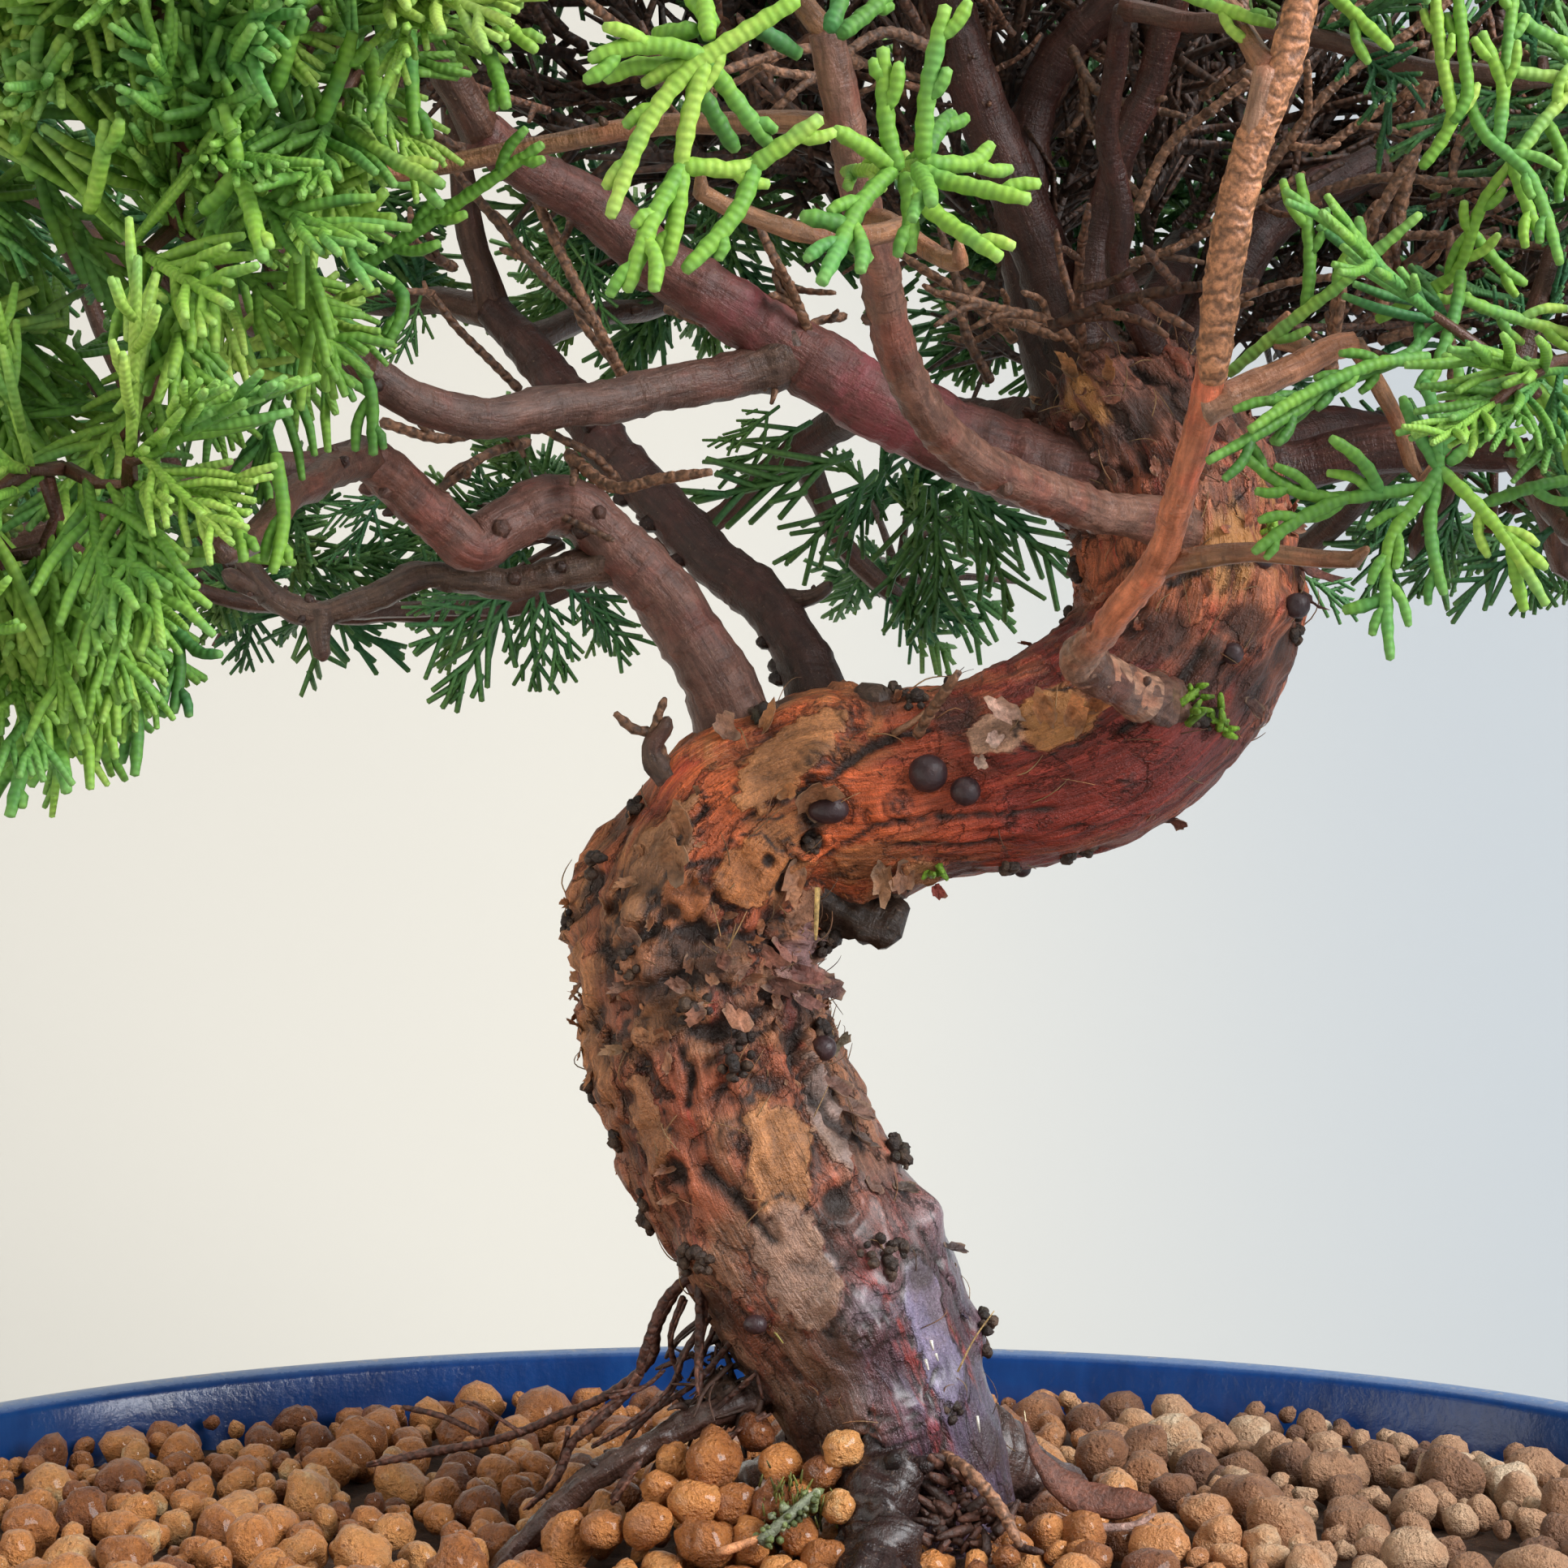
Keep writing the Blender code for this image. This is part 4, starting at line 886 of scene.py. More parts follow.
# Hollows where shade is painted into the bark: picture place and radius.
SHADOW_PATCHES = (
    (1480, 825, 3.4), (1440, 785, 3.0), (1395, 765, 2.6), (1545, 850, 3.4), (1585, 790, 3.4), (1530, 770, 2.4),
    (1600, 700, 2.6), (1090, 1105, 3.4), (1040, 1110, 3.0), (860, 1185, 3.2), (905, 1262, 2.6), (985, 1245, 3.0),
    (820, 1215, 2.4), (1345, 590, 2.6), (1330, 650, 2.4), (1400, 520, 3.2), (1460, 500, 3.0), (1290, 500, 2.6),
    (950, 865, 3.0), (1085, 870, 2.6), (1170, 880, 2.4), (1000, 1010, 1.8), (1185, 1075, 2.6), (1045, 1400, 2.2),
    (1030, 1500, 2.0), (890, 1610, 3.0), (905, 1680, 3.2), (1130, 1560, 2.0), (940, 1740, 3.4), (1010, 1760, 3.4),
    (1210, 1780, 3.0),
)


class TrunkSkin:
    """The trunk as a fine grid, before its relief, with what is needed to place marks on it."""

    def __init__(self):
        rows, self.along = spaced(TRUNK, TRUNK_GAP)
        middle = rows[:, :3]
        reach = 7
        padded = np.vstack([np.repeat(middle[:1], reach, 0), middle, np.repeat(middle[-1:], reach, 0)])
        window = np.ones(2 * reach + 1) / (2 * reach + 1)
        calm = np.column_stack([np.convolve(padded[:, k], window, "valid") for k in range(3)])
        calm[:reach + 1], calm[-reach - 1:] = middle[:reach + 1], middle[-reach - 1:]
        self.middle = middle
        self.ahead, self.front, self.side = frames(calm, (0, -1, 0))
        step = np.arange(TRUNK_SIDES) * math.tau / TRUNK_SIDES
        self.turn = step - FRONT_DENSITY * np.sin(step)
        self.spokes = (np.cos(self.turn)[None, :, None] * self.front[:, None]
                       + np.sin(self.turn)[None, :, None] * self.side[:, None])
        over = np.clip((self.along - (self.along[-1] - DOME)) / DOME, 0, 0.97)
        self.radius = rows[:, 3] * np.sqrt(1 - over ** 2)
        self.base = (middle[:, None] + self.spokes * self.radius[:, None, None]).reshape(-1, 3)
        self.spokes = self.spokes.reshape(-1, 3)
        far = np.repeat(self.along, TRUNK_SIDES)
        self.grain = np.column_stack([
            np.tile(np.cos(self.turn), len(rows)) * TRUNK_GIRTH, np.tile(np.sin(self.turn), len(rows)) * TRUNK_GIRTH,
            far])
        self.far = far
        self.seen = seen_at(self.base)
        towards = unit(np.array((0, -CAMERA_BACK, CAMERA_HEIGHT)) - self.base)
        self.facing = (self.spokes * towards).sum(1) > 0.12

    def spot(self, across, down):
        """The grid point that faces the camera and is seen nearest a picture place."""
        gap = ((self.seen - (across, down)) ** 2).sum(1) + np.where(self.facing, 0.0, 1e9)
        return int(gap.argmin())

    def near(self, across, down):
        """Every grid point's distance from the spot seen at a picture place."""
        return np.linalg.norm(self.base - self.base[self.spot(across, down)], axis=1)

    def local(self, across, down, lean):
        """Every grid point's place along and across a line through a spot, leaning from the trunk's line."""
        k = self.spot(across, down)
        ring = k // TRUNK_SIDES
        offset = self.base - self.base[k]
        ahead, outward = self.ahead[ring], self.spokes[k]
        beside = np.cross(ahead, outward)
        along, aside = offset @ ahead, offset @ beside
        reach = np.abs(offset @ outward) > 6.0
        turned = along * math.cos(lean) + aside * math.sin(lean), aside * math.cos(lean) - along * math.sin(lean)
        return np.where(reach, 99.0, turned[0]), np.where(reach, 99.0, turned[1])

    def patches(self, rows, power=2):
        """How much each grid point lies in any of the round patches at picture places, each with its radius."""
        share = np.zeros(len(self.base))
        for across, down, radius in rows:
            share = np.maximum(share, np.exp(-(self.near(across, down) / radius) ** power))
        return share

    def by_distance(self, rows):
        """A strength or colour that changes along the trunk."""
        rows = np.array(rows, float)
        parts = [np.interp(self.far, rows[:, 0], rows[:, k]) for k in range(1, rows.shape[1])]
        return parts[0] if len(parts) == 1 else np.column_stack(parts)


def polyline_gap(points, line):
    """The distance of every point from a line of a few points."""
    gaps = []
    for start, end in zip(line, line[1:]):
        span = end - start
        share = np.clip((points - start) @ span / (span @ span), 0, 1)
        gaps.append(np.linalg.norm(points - start - share[:, None] * span, axis=1))
    return np.min(gaps, axis=0)


def trunk_relief(skin):
    """How far each grid point stands out, and the values that colour it."""
    grain, base = skin.grain, skin.base
    burl = np.array([noise.noise(place) + 0.5 * noise.noise(place * 2.3)
                     for place in map(Vector, (base / BARK_LUMP).tolist())])
    above_soil = rise(base[:, 2], PLAIN_BELOW - 6, PLAIN_BELOW + 4)
    lift = burl * BARK_RELIEF * above_soil
    warp = np.column_stack([fbm(grain / 5.0, 2, 40 + k) for k in range(3)]) * 1.6
    layer = 6.0 + 1.7 * fbm((grain + warp * 1.5) / (9.0, 9.0, 15.0), 3, 3)
    step = layer - np.floor(layer)
    terrace = np.floor(layer) - 6.0 + rise(step, 0.0, 0.22) + 0.5 * np.exp(-((step - 0.26) / 0.16) ** 2)
    lift += terrace * skin.by_distance(PLATE_STEP)
    # Painted shade: the bark is darkened at the foot of each layer step, in folds, between lumps, round plates and
    # knots, in pits and in cracks.
    dirt = 0.75 * np.exp(-((step - 0.03) / 0.05) ** 2) * rise(skin.by_distance(PLATE_STEP), 0.1, 0.35)
    bent = base @ np.array(((0.95, 0, -0.25), (0, 1, 0), (0.3, 0, 0.9))) + warp * 1.3
    folds = 1.0 - np.abs(ripple(bent / (9.0, 9.0, 1.9), 33)) * 2.2
    lift += (folds - 0.4) * skin.by_distance(FOLD_DEPTH)
    dirt = np.maximum(dirt, rise(0.35 - folds, 0, 0.5) * rise(skin.by_distance(FOLD_DEPTH), 0.2, 0.6) * 0.7)
    fibre = ripple(grain * (0.85, 0.85, 0.07) + warp * 0.12, 11)
    fine_fibre = ripple(grain * (1.6, 1.6, 0.12) + warp * 0.2, 12)
    lift += (fibre + 0.5 * fine_fibre) * skin.by_distance(FIBRE_DEPTH)
    lumps = fbm((grain + warp) / (2.8, 2.8, 3.6), 3, 21)
    rough = skin.by_distance(LUMP_DEPTH)
    lift += lumps * rough
    dirt = np.maximum(dirt, rise(-lumps, 0.25, 0.8) * rise(rough, 0.3, 0.8) * 0.8)
    outer, inner = skin.by_distance(OUTER_BARK), skin.by_distance(INNER_BARK)
    outer, inner, foot = tint_and_light_sides(skin, outer, inner)
    ragged = fbm(grain / 1.6, 3, 60) * 0.22 + fbm(grain / 5.0, 2, 61) * 0.2
    pale = np.zeros(len(base))
    for across, down, half_length, half_width, lean, thick, colour in PLATES:
        along, aside = skin.local(across, down, lean)
        inside = 1.0 - np.hypot(along / half_length, aside / half_width) + ragged
        cover = rise(inside, 0.0, 0.16)
        lip = np.exp(-((inside - 0.13) / 0.1) ** 2) * 0.5
        lift += (cover + lip) * thick
        dirt = np.maximum(dirt * (1 - cover), np.exp(-((inside + 0.05) / 0.055) ** 2))
        colour = np.array(colour) * (1.04, 0.84, 0.74)
        outer += (colour - outer) * cover[:, None]
        inner += (colour * 0.9 - inner) * (cover * 0.85)[:, None]
        pale = np.maximum(pale, cover)
    for across, down, radius, height in SWELLINGS:
        lift += height * np.exp(-(skin.near(across, down) / radius) ** 2 * 1.3)
    for across, down, radius, height in RINGED_KNOTS:
        share = skin.near(across, down) / radius
        dome = np.clip(1 - share ** 2, 0, 1)
        ridges = np.cos(share * 6.5 * math.pi / 1.6) * rise(1.5 - share, 0, 0.6)
        lift += height * dome + 0.16 * ridges + 0.3 * np.exp(-((share - 1.2) / 0.3) ** 2)
        dirt = np.maximum(dirt, 0.55 * rise(1.05 - share, 0, 0.5) + 0.3 * rise(-ridges, 0.2, 0.9) * (share < 1.5))
    for across, down, radius, depth in PITS:
        share = skin.near(across, down) / radius
        lift += -depth * np.exp(-share ** 2 * 1.6) + 0.35 * np.exp(-((share - 1.3) / 0.3) ** 2)
        dirt = np.maximum(dirt, rise(1.2 - share, 0, 0.7))
    for *places, width, depth in CRACKS:
        line = [base[skin.spot(*place)] for place in places]
        gap = polyline_gap(base + fbm(grain / 2.0, 2, 77)[:, None] * 0.5, line)
        lift += -depth * np.exp(-(gap / width) ** 2) + 0.3 * depth * np.exp(-((gap - 2.2 * width) / width) ** 2)
        dirt = np.maximum(dirt, 0.95 * np.exp(-(gap / (width * 1.1)) ** 2))
    lift = np.clip(lift, -2.0, 2.6) * np.clip(rise(base[:, 2], 48, 58) + 0.3, 0, 1)
    dirt = np.clip(dirt, 0, 1)
    values = {"grain": grain, "layer": layer, "dirt": dirt, "outer": outer, "inner": inner, "stand": standing_out(lift),
              "wet": (skin.by_distance(WETNESS) + foot * 0.35) * (1 - 0.5 * dirt), "plate": pale,
              "gold": skin.patches(GOLD_GLINTS), "bare": skin.patches(BARE, 4) * (1 - pale), "gloom": skin.patches(SHADOW_PATCHES)}
    return lift, values


def standing_out(lift):
    """How far each grid point stands out from what lies around it, in mm."""
    grid = lift.reshape(-1, TRUNK_SIDES)
    padded = np.pad(np.pad(grid, ((5, 5), (0, 0)), "edge"), ((0, 0), (8, 8)), "wrap")
    total = np.cumsum(np.pad(padded, ((1, 0), (0, 0))), axis=0)
    tall = (total[11:] - total[:-11]) / 11
    total = np.cumsum(np.pad(tall, ((0, 0), (1, 0))), axis=1)
    return (grid - (total[:, 17:] - total[:, :-17]) / 17).ravel()


def tint_and_light_sides(skin, outer, inner):
    """The foot of the trunk is purple-grey on its right, bluer there as a painted sheen, and the bend above it is
    painted lighter and more orange on its left, as painted light.
    """
    right = (skin.spokes[:, 0] + 0.35 * skin.spokes[:, 1] * -1)
    foot = rise(right, -0.1, 0.6) * rise(52 - skin.far, 0, 22)
    bend = rise(-skin.spokes[:, 0], 0.35, 0.9) * rise(skin.far, 56, 66) * rise(92 - skin.far, 0, 8)
    for share, colour in ((foot * 0.85, PURPLE_GREY_AND_SHEEN), (bend * 0.7, LIT_BEND_COLOUR)):
        outer = outer + (np.array(colour) - outer) * share[:, None]
        inner = inner + (np.array(colour) * (0.9, 0.7, 0.7) - inner) * (share * 0.8)[:, None]
    return outer, inner, foot


def trunk_mesh(skin):
    """The finished trunk. The skin's surface points are kept for the pieces that sit on it."""
    lift, values = trunk_relief(skin)
    rings, sides = len(skin.along), TRUNK_SIDES
    skin.surface = skin.base + skin.spokes * lift[:, None]
    skin.values = values
    ends = np.array([skin.surface[:sides].mean(0), skin.surface[-sides:].mean(0) + skin.ahead[-1] * 0.6])
    carried = {name: np.concatenate([value, value[:1], value[-1:]]) for name, value in values.items()}
    shape = Shape()
    shape.add(np.vstack([skin.surface, ends]), [ring_quads(rings, sides), end_caps(rings, sides)], **carried)
    return shape.mesh("trunk_bark")


def paint_bark(graph):
    """Torn layers over fresh inner bark, with fibres along the wood, painted shade in the cracks and hollows, painted
    glints and wet places.
    """
    grain = graph.read("grain", "Vector")
    fibre = graph.ripple(graph.scaled(grain, (1.0, 1.0, 0.12)), 1.5, 3.0, 0.6)
    hair = graph.ripple(graph.scaled(grain, (1.0, 1.0, 0.07)), 4.5, 2.0, 0.6)
    mottle = graph.ripple(grain, 0.2, 4.0, 0.62)
    patch = graph.ripple(graph.scaled(grain, (1.0, 1.0, 0.6)), 0.13, 6.0, 0.62, 0.8)
    streak = graph.ripple(graph.scaled(grain, (1.0, 1.0, 0.2)), 0.55, 4.0, 0.6)
    speckle = graph.ripple(grain, 2.6, 3.0, 0.65)
    grit = graph.ripple(grain, 6.5, 2.0, 0.6)
    plate = (graph.read("plate") + (grit - 0.5) * 0.6 + (speckle - 0.5) * 0.5).ramp(0.4, 0.56)
    layer = graph.read("layer") + (speckle - 0.5) * 0.35
    step = layer.fraction()
    tone = (layer.floor() * 3.17).sine()
    # Painted shade just below the step of each layer.
    lip = step.ramp(0.0, 0.07, 1.0, 0.0) * (1 - plate)
    share = (patch + tone * 0.06).ramp(0.44, 0.56) * (1 - graph.read("bare") * 0.85)
    share = graph.node("ShaderNodeMath", {0: share, 1: plate}, {"operation": "MAXIMUM"})
    # Painted shadow along the torn edge of the outer layer.
    edge = (1.0 - (patch + tone * 0.06 - 0.47).size() * 60.0).ramp(0.0, 0.8) * (1 - plate) * speckle.ramp(0.42, 0.6)
    inner = graph.blend(streak.ramp(0.54, 0.68, 0.0, 0.75), graph.read("inner", "Vector"), (0.36, 0.035, 0.022))
    outer = graph.blend(mottle.ramp(0.52, 0.68, 0.0, 0.4), graph.read("outer", "Vector"), (0.15, 0.085, 0.045))
    outer = graph.brighten(outer, speckle.ramp(0.3, 0.7, 0.8, 1.2))
    colour = graph.blend(share, inner, outer)
    bare = graph.read("bare")
    colour = graph.blend(bare.ramp(0.2, 0.9, 0.0, 0.6), colour, graph.brighten(graph.read("inner", "Vector"), 1.15))
    colour = graph.brighten(colour, (fibre + (plate + bare * 0.6) * (0.52 - fibre) * 0.6).ramp(0.28, 0.76, 0.6, 1.42))
    colour = graph.brighten(colour, (hair + plate * (0.51 - hair) * 0.6).ramp(0.3, 0.72, 0.78, 1.22))
    colour = graph.brighten(colour, (mottle + (1.0 - plate) * (0.5 - mottle)).ramp(0.36, 0.64, 0.72, 1.2))
    colour = graph.brighten(colour, grit.ramp(0.3, 0.7, 0.85, 1.15))
    stand = graph.read("stand")
    # Painted light and shade: raised bark is lighter, sunk bark darker, and the deepest places near black.
    colour = graph.brighten(colour, stand.ramp(-0.5, 0.5, 0.62, 1.32))
    colour = graph.blend((stand + (speckle - 0.5) * 0.5).ramp(-0.6, -0.22, 0.8, 0.0), colour, (0.032, 0.014, 0.009))
    # Painted shade in the listed hollows, broken up by mottle.
    gloom = (graph.read("gloom") * 1.5 + (mottle - 0.5) * 1.6 - 0.3).ramp(0.0, 0.8)
    colour = graph.blend(gloom * 0.75, colour, (0.035, 0.016, 0.011))
    # Golden fibres with a painted glint on them.
    gold = graph.read("gold") * streak.ramp(0.36, 0.56)
    colour = graph.blend(gold.ramp(0.15, 0.7), colour, (0.52, 0.23, 0.075))
    flecks = speckle.ramp(0.66, 0.72, 0.0, 0.5) * hair.ramp(0.45, 0.6)
    colour = graph.blend(flecks * 0.7, colour, (0.52, 0.33, 0.22))
    colour = graph.blend(edge * 0.35, colour, (0.06, 0.025, 0.015))
    colour = graph.blend(lip * 0.45, colour, (0.045, 0.02, 0.013))
    # Painted shade in the cracks, folds and hollows.
    dirt = graph.read("dirt")
    colour = graph.blend(dirt.ramp(0.2, 1.0, 0.0, 0.92), colour, (0.03, 0.018, 0.014))
    wet = graph.read("wet")
    rough = wet.ramp(0.0, 1.0, 0.44, 0.24) + (speckle - 0.5) * 0.4
    height = (fibre * (0.6 - plate * 0.35) + hair * 0.3 + mottle * plate * 1.2 + speckle * 0.5 + grit * 0.22
              + share * 0.35 - lip * 0.7 - edge * 0.5)
    coat = wet.ramp(0.1, 0.9, 0.06, 0.8)
    return {"Base Color": colour, "Roughness": rough, "Coat Weight": coat, "Normal": graph.bump(height, 0.6, 1.0)}


# ---------------------------------------------------------------- limbs, twigs and roots

# The back left limb is painted darker as shade, for it lies behind, under the crown.
LIMB_COLOURS = {
    "low_left": (0.15, 0.066, 0.048), "back_left": (0.05, 0.02, 0.015), "main_left": (0.11, 0.042, 0.032),
    "main_left_fork": (0.11, 0.056, 0.042), "front_thin": (0.18, 0.085, 0.058), "front_right": (0.52, 0.165, 0.08),
    "front_right_fork": (0.45, 0.17, 0.08),
}
# Limbs inside the crown are painted very dark: painted shade of the crown over them.
SHADED_LIMB_COLOUR = (0.046, 0.0145, 0.0095)
TWIG_COLOUR = (0.095, 0.04, 0.025)
# Colour, unevenness and thickness of each root.
ROOT_LOOKS = (
    ((0.06, 0.03, 0.023), 0.4, 0.68), ((0.028, 0.014, 0.013), 0.6, 0.95), ((0.07, 0.04, 0.035), 0.3, 1.0),
    ((0.07, 0.04, 0.03), 0.3, 1.0),
)
STUB_COLOUR = (0.05, 0.03, 0.022)
# Fresh pink-red bark on the main left limb: picture place and radius.
PINK = ((1105, 510, 4.6), (1050, 475, 3.0), (900, 400, 3.4))


def limb_swell(seed, length, node_gap, depth):
    """Uneven girth with a ringed scar every so often, where a shoot once grew."""
    draw = random.Random(seed)
    scars, place = [], draw.uniform(2, node_gap)
    while place < length:
        scars.append((place, draw.uniform(0.4, 1.0)))
        place += draw.uniform(0.6, 1.4) * node_gap

    def swell(turn, along):
        around = np.broadcast_to(turn, np.broadcast_shapes(turn.shape, along.shape))
        along = np.broadcast_to(along, around.shape)
        spots = np.column_stack([np.cos(around).ravel() * 1.3, np.sin(around).ravel() * 1.3, along.ravel() / 3.5])
        uneven = 1 + depth * fbm(spots + seed * 3.3, 3, seed).reshape(around.shape)
        for scar, height in scars:
            uneven = uneven + 0.09 * height * np.exp(-((along - scar) / 0.45) ** 2)
            uneven = uneven - 0.05 * height * np.exp(-((along - scar - 1.0) / 0.5) ** 2)
        return uneven + 0.18 * np.exp(-along / 2.2)
    return swell


def wander(rows, seed, reach):
    """Pushes a line a little off its way, as grown wood kinks, and leaves its two ends alone."""
    share = np.linspace(0, 1, len(rows))
    keep = rise(share, 0, 0.2) * rise(1 - share, 0, 0.15)
    spots = rows[:, :3] / 9.0 + seed * 5.1
    push = np.column_stack([ripple(spots, seed + k) for k in range(3)]) * reach
    moved = rows.copy()
    moved[:, :3] += push * keep[:, None]
    return moved


# Where the front right limb leaves the trunk: picture place, y and radius.
FRONT_FOOT = ((1462, 880, -4, 2.4), (1442, 872, -11.5, 2.25), (1405, 858, -18, 2.0), (1364, 836, -23.5, 1.85))


def tip_of(route, length=1.0):
    """A route drawn on a little past its end, to a rounded tip."""
    rows = np.array(route, float)
    ahead = unit(rows[-1, :3] - rows[-2, :3])
    tip = np.array((*(rows[-1, :3] + ahead * length), rows[-1, 3] * 0.5))
    return np.vstack([rows, tip])


def limbs_mesh(twigs):
    """Limbs, twigs, snags and roots, and the bud scars on them."""
    shape = Shape()
    draw = random.Random(5)
    jobs = []
    for name, route in LIMBS.items():
        seen = name in LIMB_COLOURS
        if name == "front_right":
            foot = [(*from_picture(*place), radius) for *place, radius in FRONT_FOOT]
            route = [*foot[2:], *route[2:]]
            jobs.append(("foot", [*foot, route[2]], 17, 0.45, 0.35, 0.3, (0.15, 0.072, 0.05), 1.6))
        sides, gap = (17, 0.55) if seen else (11, 1.0)
        jobs.append((name, route, sides, gap, 0.12, 0.5, LIMB_COLOURS.get(name, SHADED_LIMB_COLOUR),
                     2.4 if name.startswith("front") else 5.0))
    jobs += [("root", tip_of(route) * (1, 1, 1, thin), 20, 0.45, depth, 0.6, colour, 2.2)
             for route, (colour, depth, thin) in zip(ROOTS, ROOT_LOOKS)]
    jobs += [("snag", tip_of(route, 0.6), 12, 0.5, 0.3, 0.5, (0.11, 0.05, 0.035), 2.6) for route in SNAGS[:-1]]
    stub = tip_of(SNAGS[-1], 0.6) * (1, 1, 1, 0.68)
    jobs += [("snag", stub, 16, 0.4, 0.6, 0.5, STUB_COLOUR, 1.5)]
    for _, route in twigs:
        young = route[0][1] < -40
        jobs.append(("twig", tip_of(route, 0.5) * (1, 1, 1, 0.7 if young else 1), 6, 2.0, 0.1, 0.8,
                     (0.26, 0.115, 0.05) if young else TWIG_COLOUR, 5.0))
    for k, (kind, route, sides, gap, depth, kink, colour, node_gap) in enumerate(jobs):
        rows, along = spaced(route, gap)
        rows = wander(rows, k + 3, kink)
        if kind.startswith("front_right"):
            rows[:, 3] *= 1 - 0.2 * rise(along, 12, 24) if kind == "front_right" else 0.85
        swell = limb_swell(k, along[-1], node_gap, depth)
        shade = np.array(colour) * draw.uniform(0.9, 1.1)
        old = np.exp(-along / 7.0) if kind in LIMBS else np.full(len(along), 1.0 if kind == "snag" else 0.3)
        places = seen_at(rows[:, :3])
        if kind == "front_right":
            old = np.maximum(rise(480 - places[:, 1], 0, 90), rise(places[:, 1] - 745, 0, 60))
        pink = np.zeros(len(rows))
        if kind == "main_left":
            for across, down, radius in PINK:
                pink = np.maximum(pink, np.exp(-(np.hypot(*(places - (across, down)).T) / (radius * 13)) ** 2))
        tube(shape, rows, along, sides, swell, tint=shade, dark=old, wet=float(kind == "root"), pink=pink)
        add_scars(shape, rows, draw, shade, kind)
    return shape.mesh("limbs_and_roots")


def add_scars(shape, rows, draw, shade, kind):
    """Small buds and stubs of lost shoots along one limb."""
    reach = np.linalg.norm(np.diff(rows[:, :3], axis=0), axis=1).sum()
    count = int(reach * (0.2 if kind in ("low_left", "back_left", "root", "snag") else 0.06))
    for _ in range(count):
        k = draw.randrange(4, max(5, len(rows) - 2))
        if k >= len(rows) - 1:
            continue
        ahead = unit(rows[k + 1, :3] - rows[k - 1, :3])
        outward = unit(np.cross(ahead, [draw.uniform(-1, 1) for _ in range(3)]))
        size = min(rows[k, 3] * draw.uniform(0.25, 0.5), 1.1)
        centre = rows[k, :3] + outward * rows[k, 3] * 0.92
        reach = outward * draw.uniform(0.4, 1.6) * size + ahead * size * 0.8
        line = np.array([(*(centre - outward * size * 0.6), size), (*(centre + reach * 0.5), size * 0.85),
                         (*(centre + reach), size * 0.45)])
        along = np.array([0.0, size, 2 * size])
        tube(shape, line, along, 6, tint=shade * draw.uniform(0.35, 0.8), dark=0.3, wet=0.0, pink=0.0)


def paint_limbs(graph):
    """Thin red-brown bark with rings, fine cracks along the wood, grey on the oldest parts and a dull shine."""
    grain = graph.read("grain", "Vector")
    tint = graph.read("tint", "Vector")
    fibre = graph.ripple(graph.scaled(grain, (1.0, 1.0, 0.16)), 1.9, 4.0, 0.62)
    rings = graph.ripple(graph.scaled(grain, (0.2, 0.2, 1.0)), 1.1, 3.0, 0.6)
    mottle = graph.ripple(grain, 0.3, 4.0, 0.62)
    speckle = graph.ripple(grain, 3.0, 3.0, 0.62)
    colour = graph.brighten(tint, fibre.ramp(0.28, 0.75, 0.62, 1.45))
    colour = graph.brighten(colour, mottle.ramp(0.3, 0.7, 0.75, 1.3))
    redder = graph.times(colour, (1.45, 0.62, 0.6))
    colour = graph.blend(graph.ripple(grain, 0.17, 3.0).ramp(0.5, 0.66, 0.0, 0.35), colour, redder)
    colour = graph.blend(graph.read("pink") * mottle.ramp(0.4, 0.6, 0.2, 0.85), colour, (0.27, 0.06, 0.07))
    old = graph.read("dark")
    level = graph.node("ShaderNodeVectorMath", {0: tint, 1: (0.4, 0.4, 0.4)}, {"operation": "DOT_PRODUCT"}, out="Value")
    grey = graph.brighten(graph.brighten((1.0, 0.62, 0.42), level), fibre.ramp(0.3, 0.7, 0.5, 1.5))
    colour = graph.blend(old * mottle.ramp(0.35, 0.55, 0.4, 0.85), colour, grey)
    colour = graph.blend(rings.ramp(0.6, 0.7, 0.0, 0.5) * fibre.ramp(0.4, 0.55), colour, (0.035, 0.014, 0.01))
    colour = graph.blend(speckle.ramp(0.64, 0.7, 0.0, 0.35), colour, (0.42, 0.27, 0.18))
    wet = graph.read("wet")
    height = fibre * 0.8 + rings * 0.9 + speckle * 0.5 + mottle * 0.5
    return {"Base Color": colour, "Roughness": 0.42 - wet * 0.14 + (speckle - 0.5) * 0.35,
            "Coat Weight": 0.04 + wet * 0.3, "Normal": graph.bump(height, 0.3, 0.9)}


# ---------------------------------------------------------------- foliage

SPRAY_SHAPES = 10
BACKING_SPRAYS = 190
NEAR_RADIUS = 0.46
FAR_RADIUS = 0.52
SCALE_PITCH = 0.62
PAD_GROUPS = {
    "foliage_left": (34, 35), "foliage_front": (36, 37, 38, 39),
    "foliage_right": (1,), "foliage_low_ring": tuple(range(2, 12)), "foliage_middle_ring": tuple(range(12, 23)),
    "foliage_crown": tuple(range(23, 34)),
}


def shoot_tube(shape, points, radius, sides, gap, relief, start_tip, end_tip, **values):
    """A scale-leaved shoot along a few points: pairs of scales face each way in turn, and the tip is blunt."""
    route = np.column_stack([np.array(points, float), np.full(len(points), radius)])
    rows, along = spaced(route, gap)
    share = along / along[-1]
    rows[:, 3] *= np.interp(share, (0, 0.15, 0.8, 1.0), (0.85, 1.0, 0.95, 0.68))

    def swell(turn, along):
        pair = np.round(along / gap)
        return 1.0 + relief * np.cos(2 * turn + math.pi * pair)
    tube(shape, rows, along, sides, swell if relief else None, first=(0.1, 1.0, 0.05),
         tip=start_tip + (end_tip - start_tip) * share, **values)


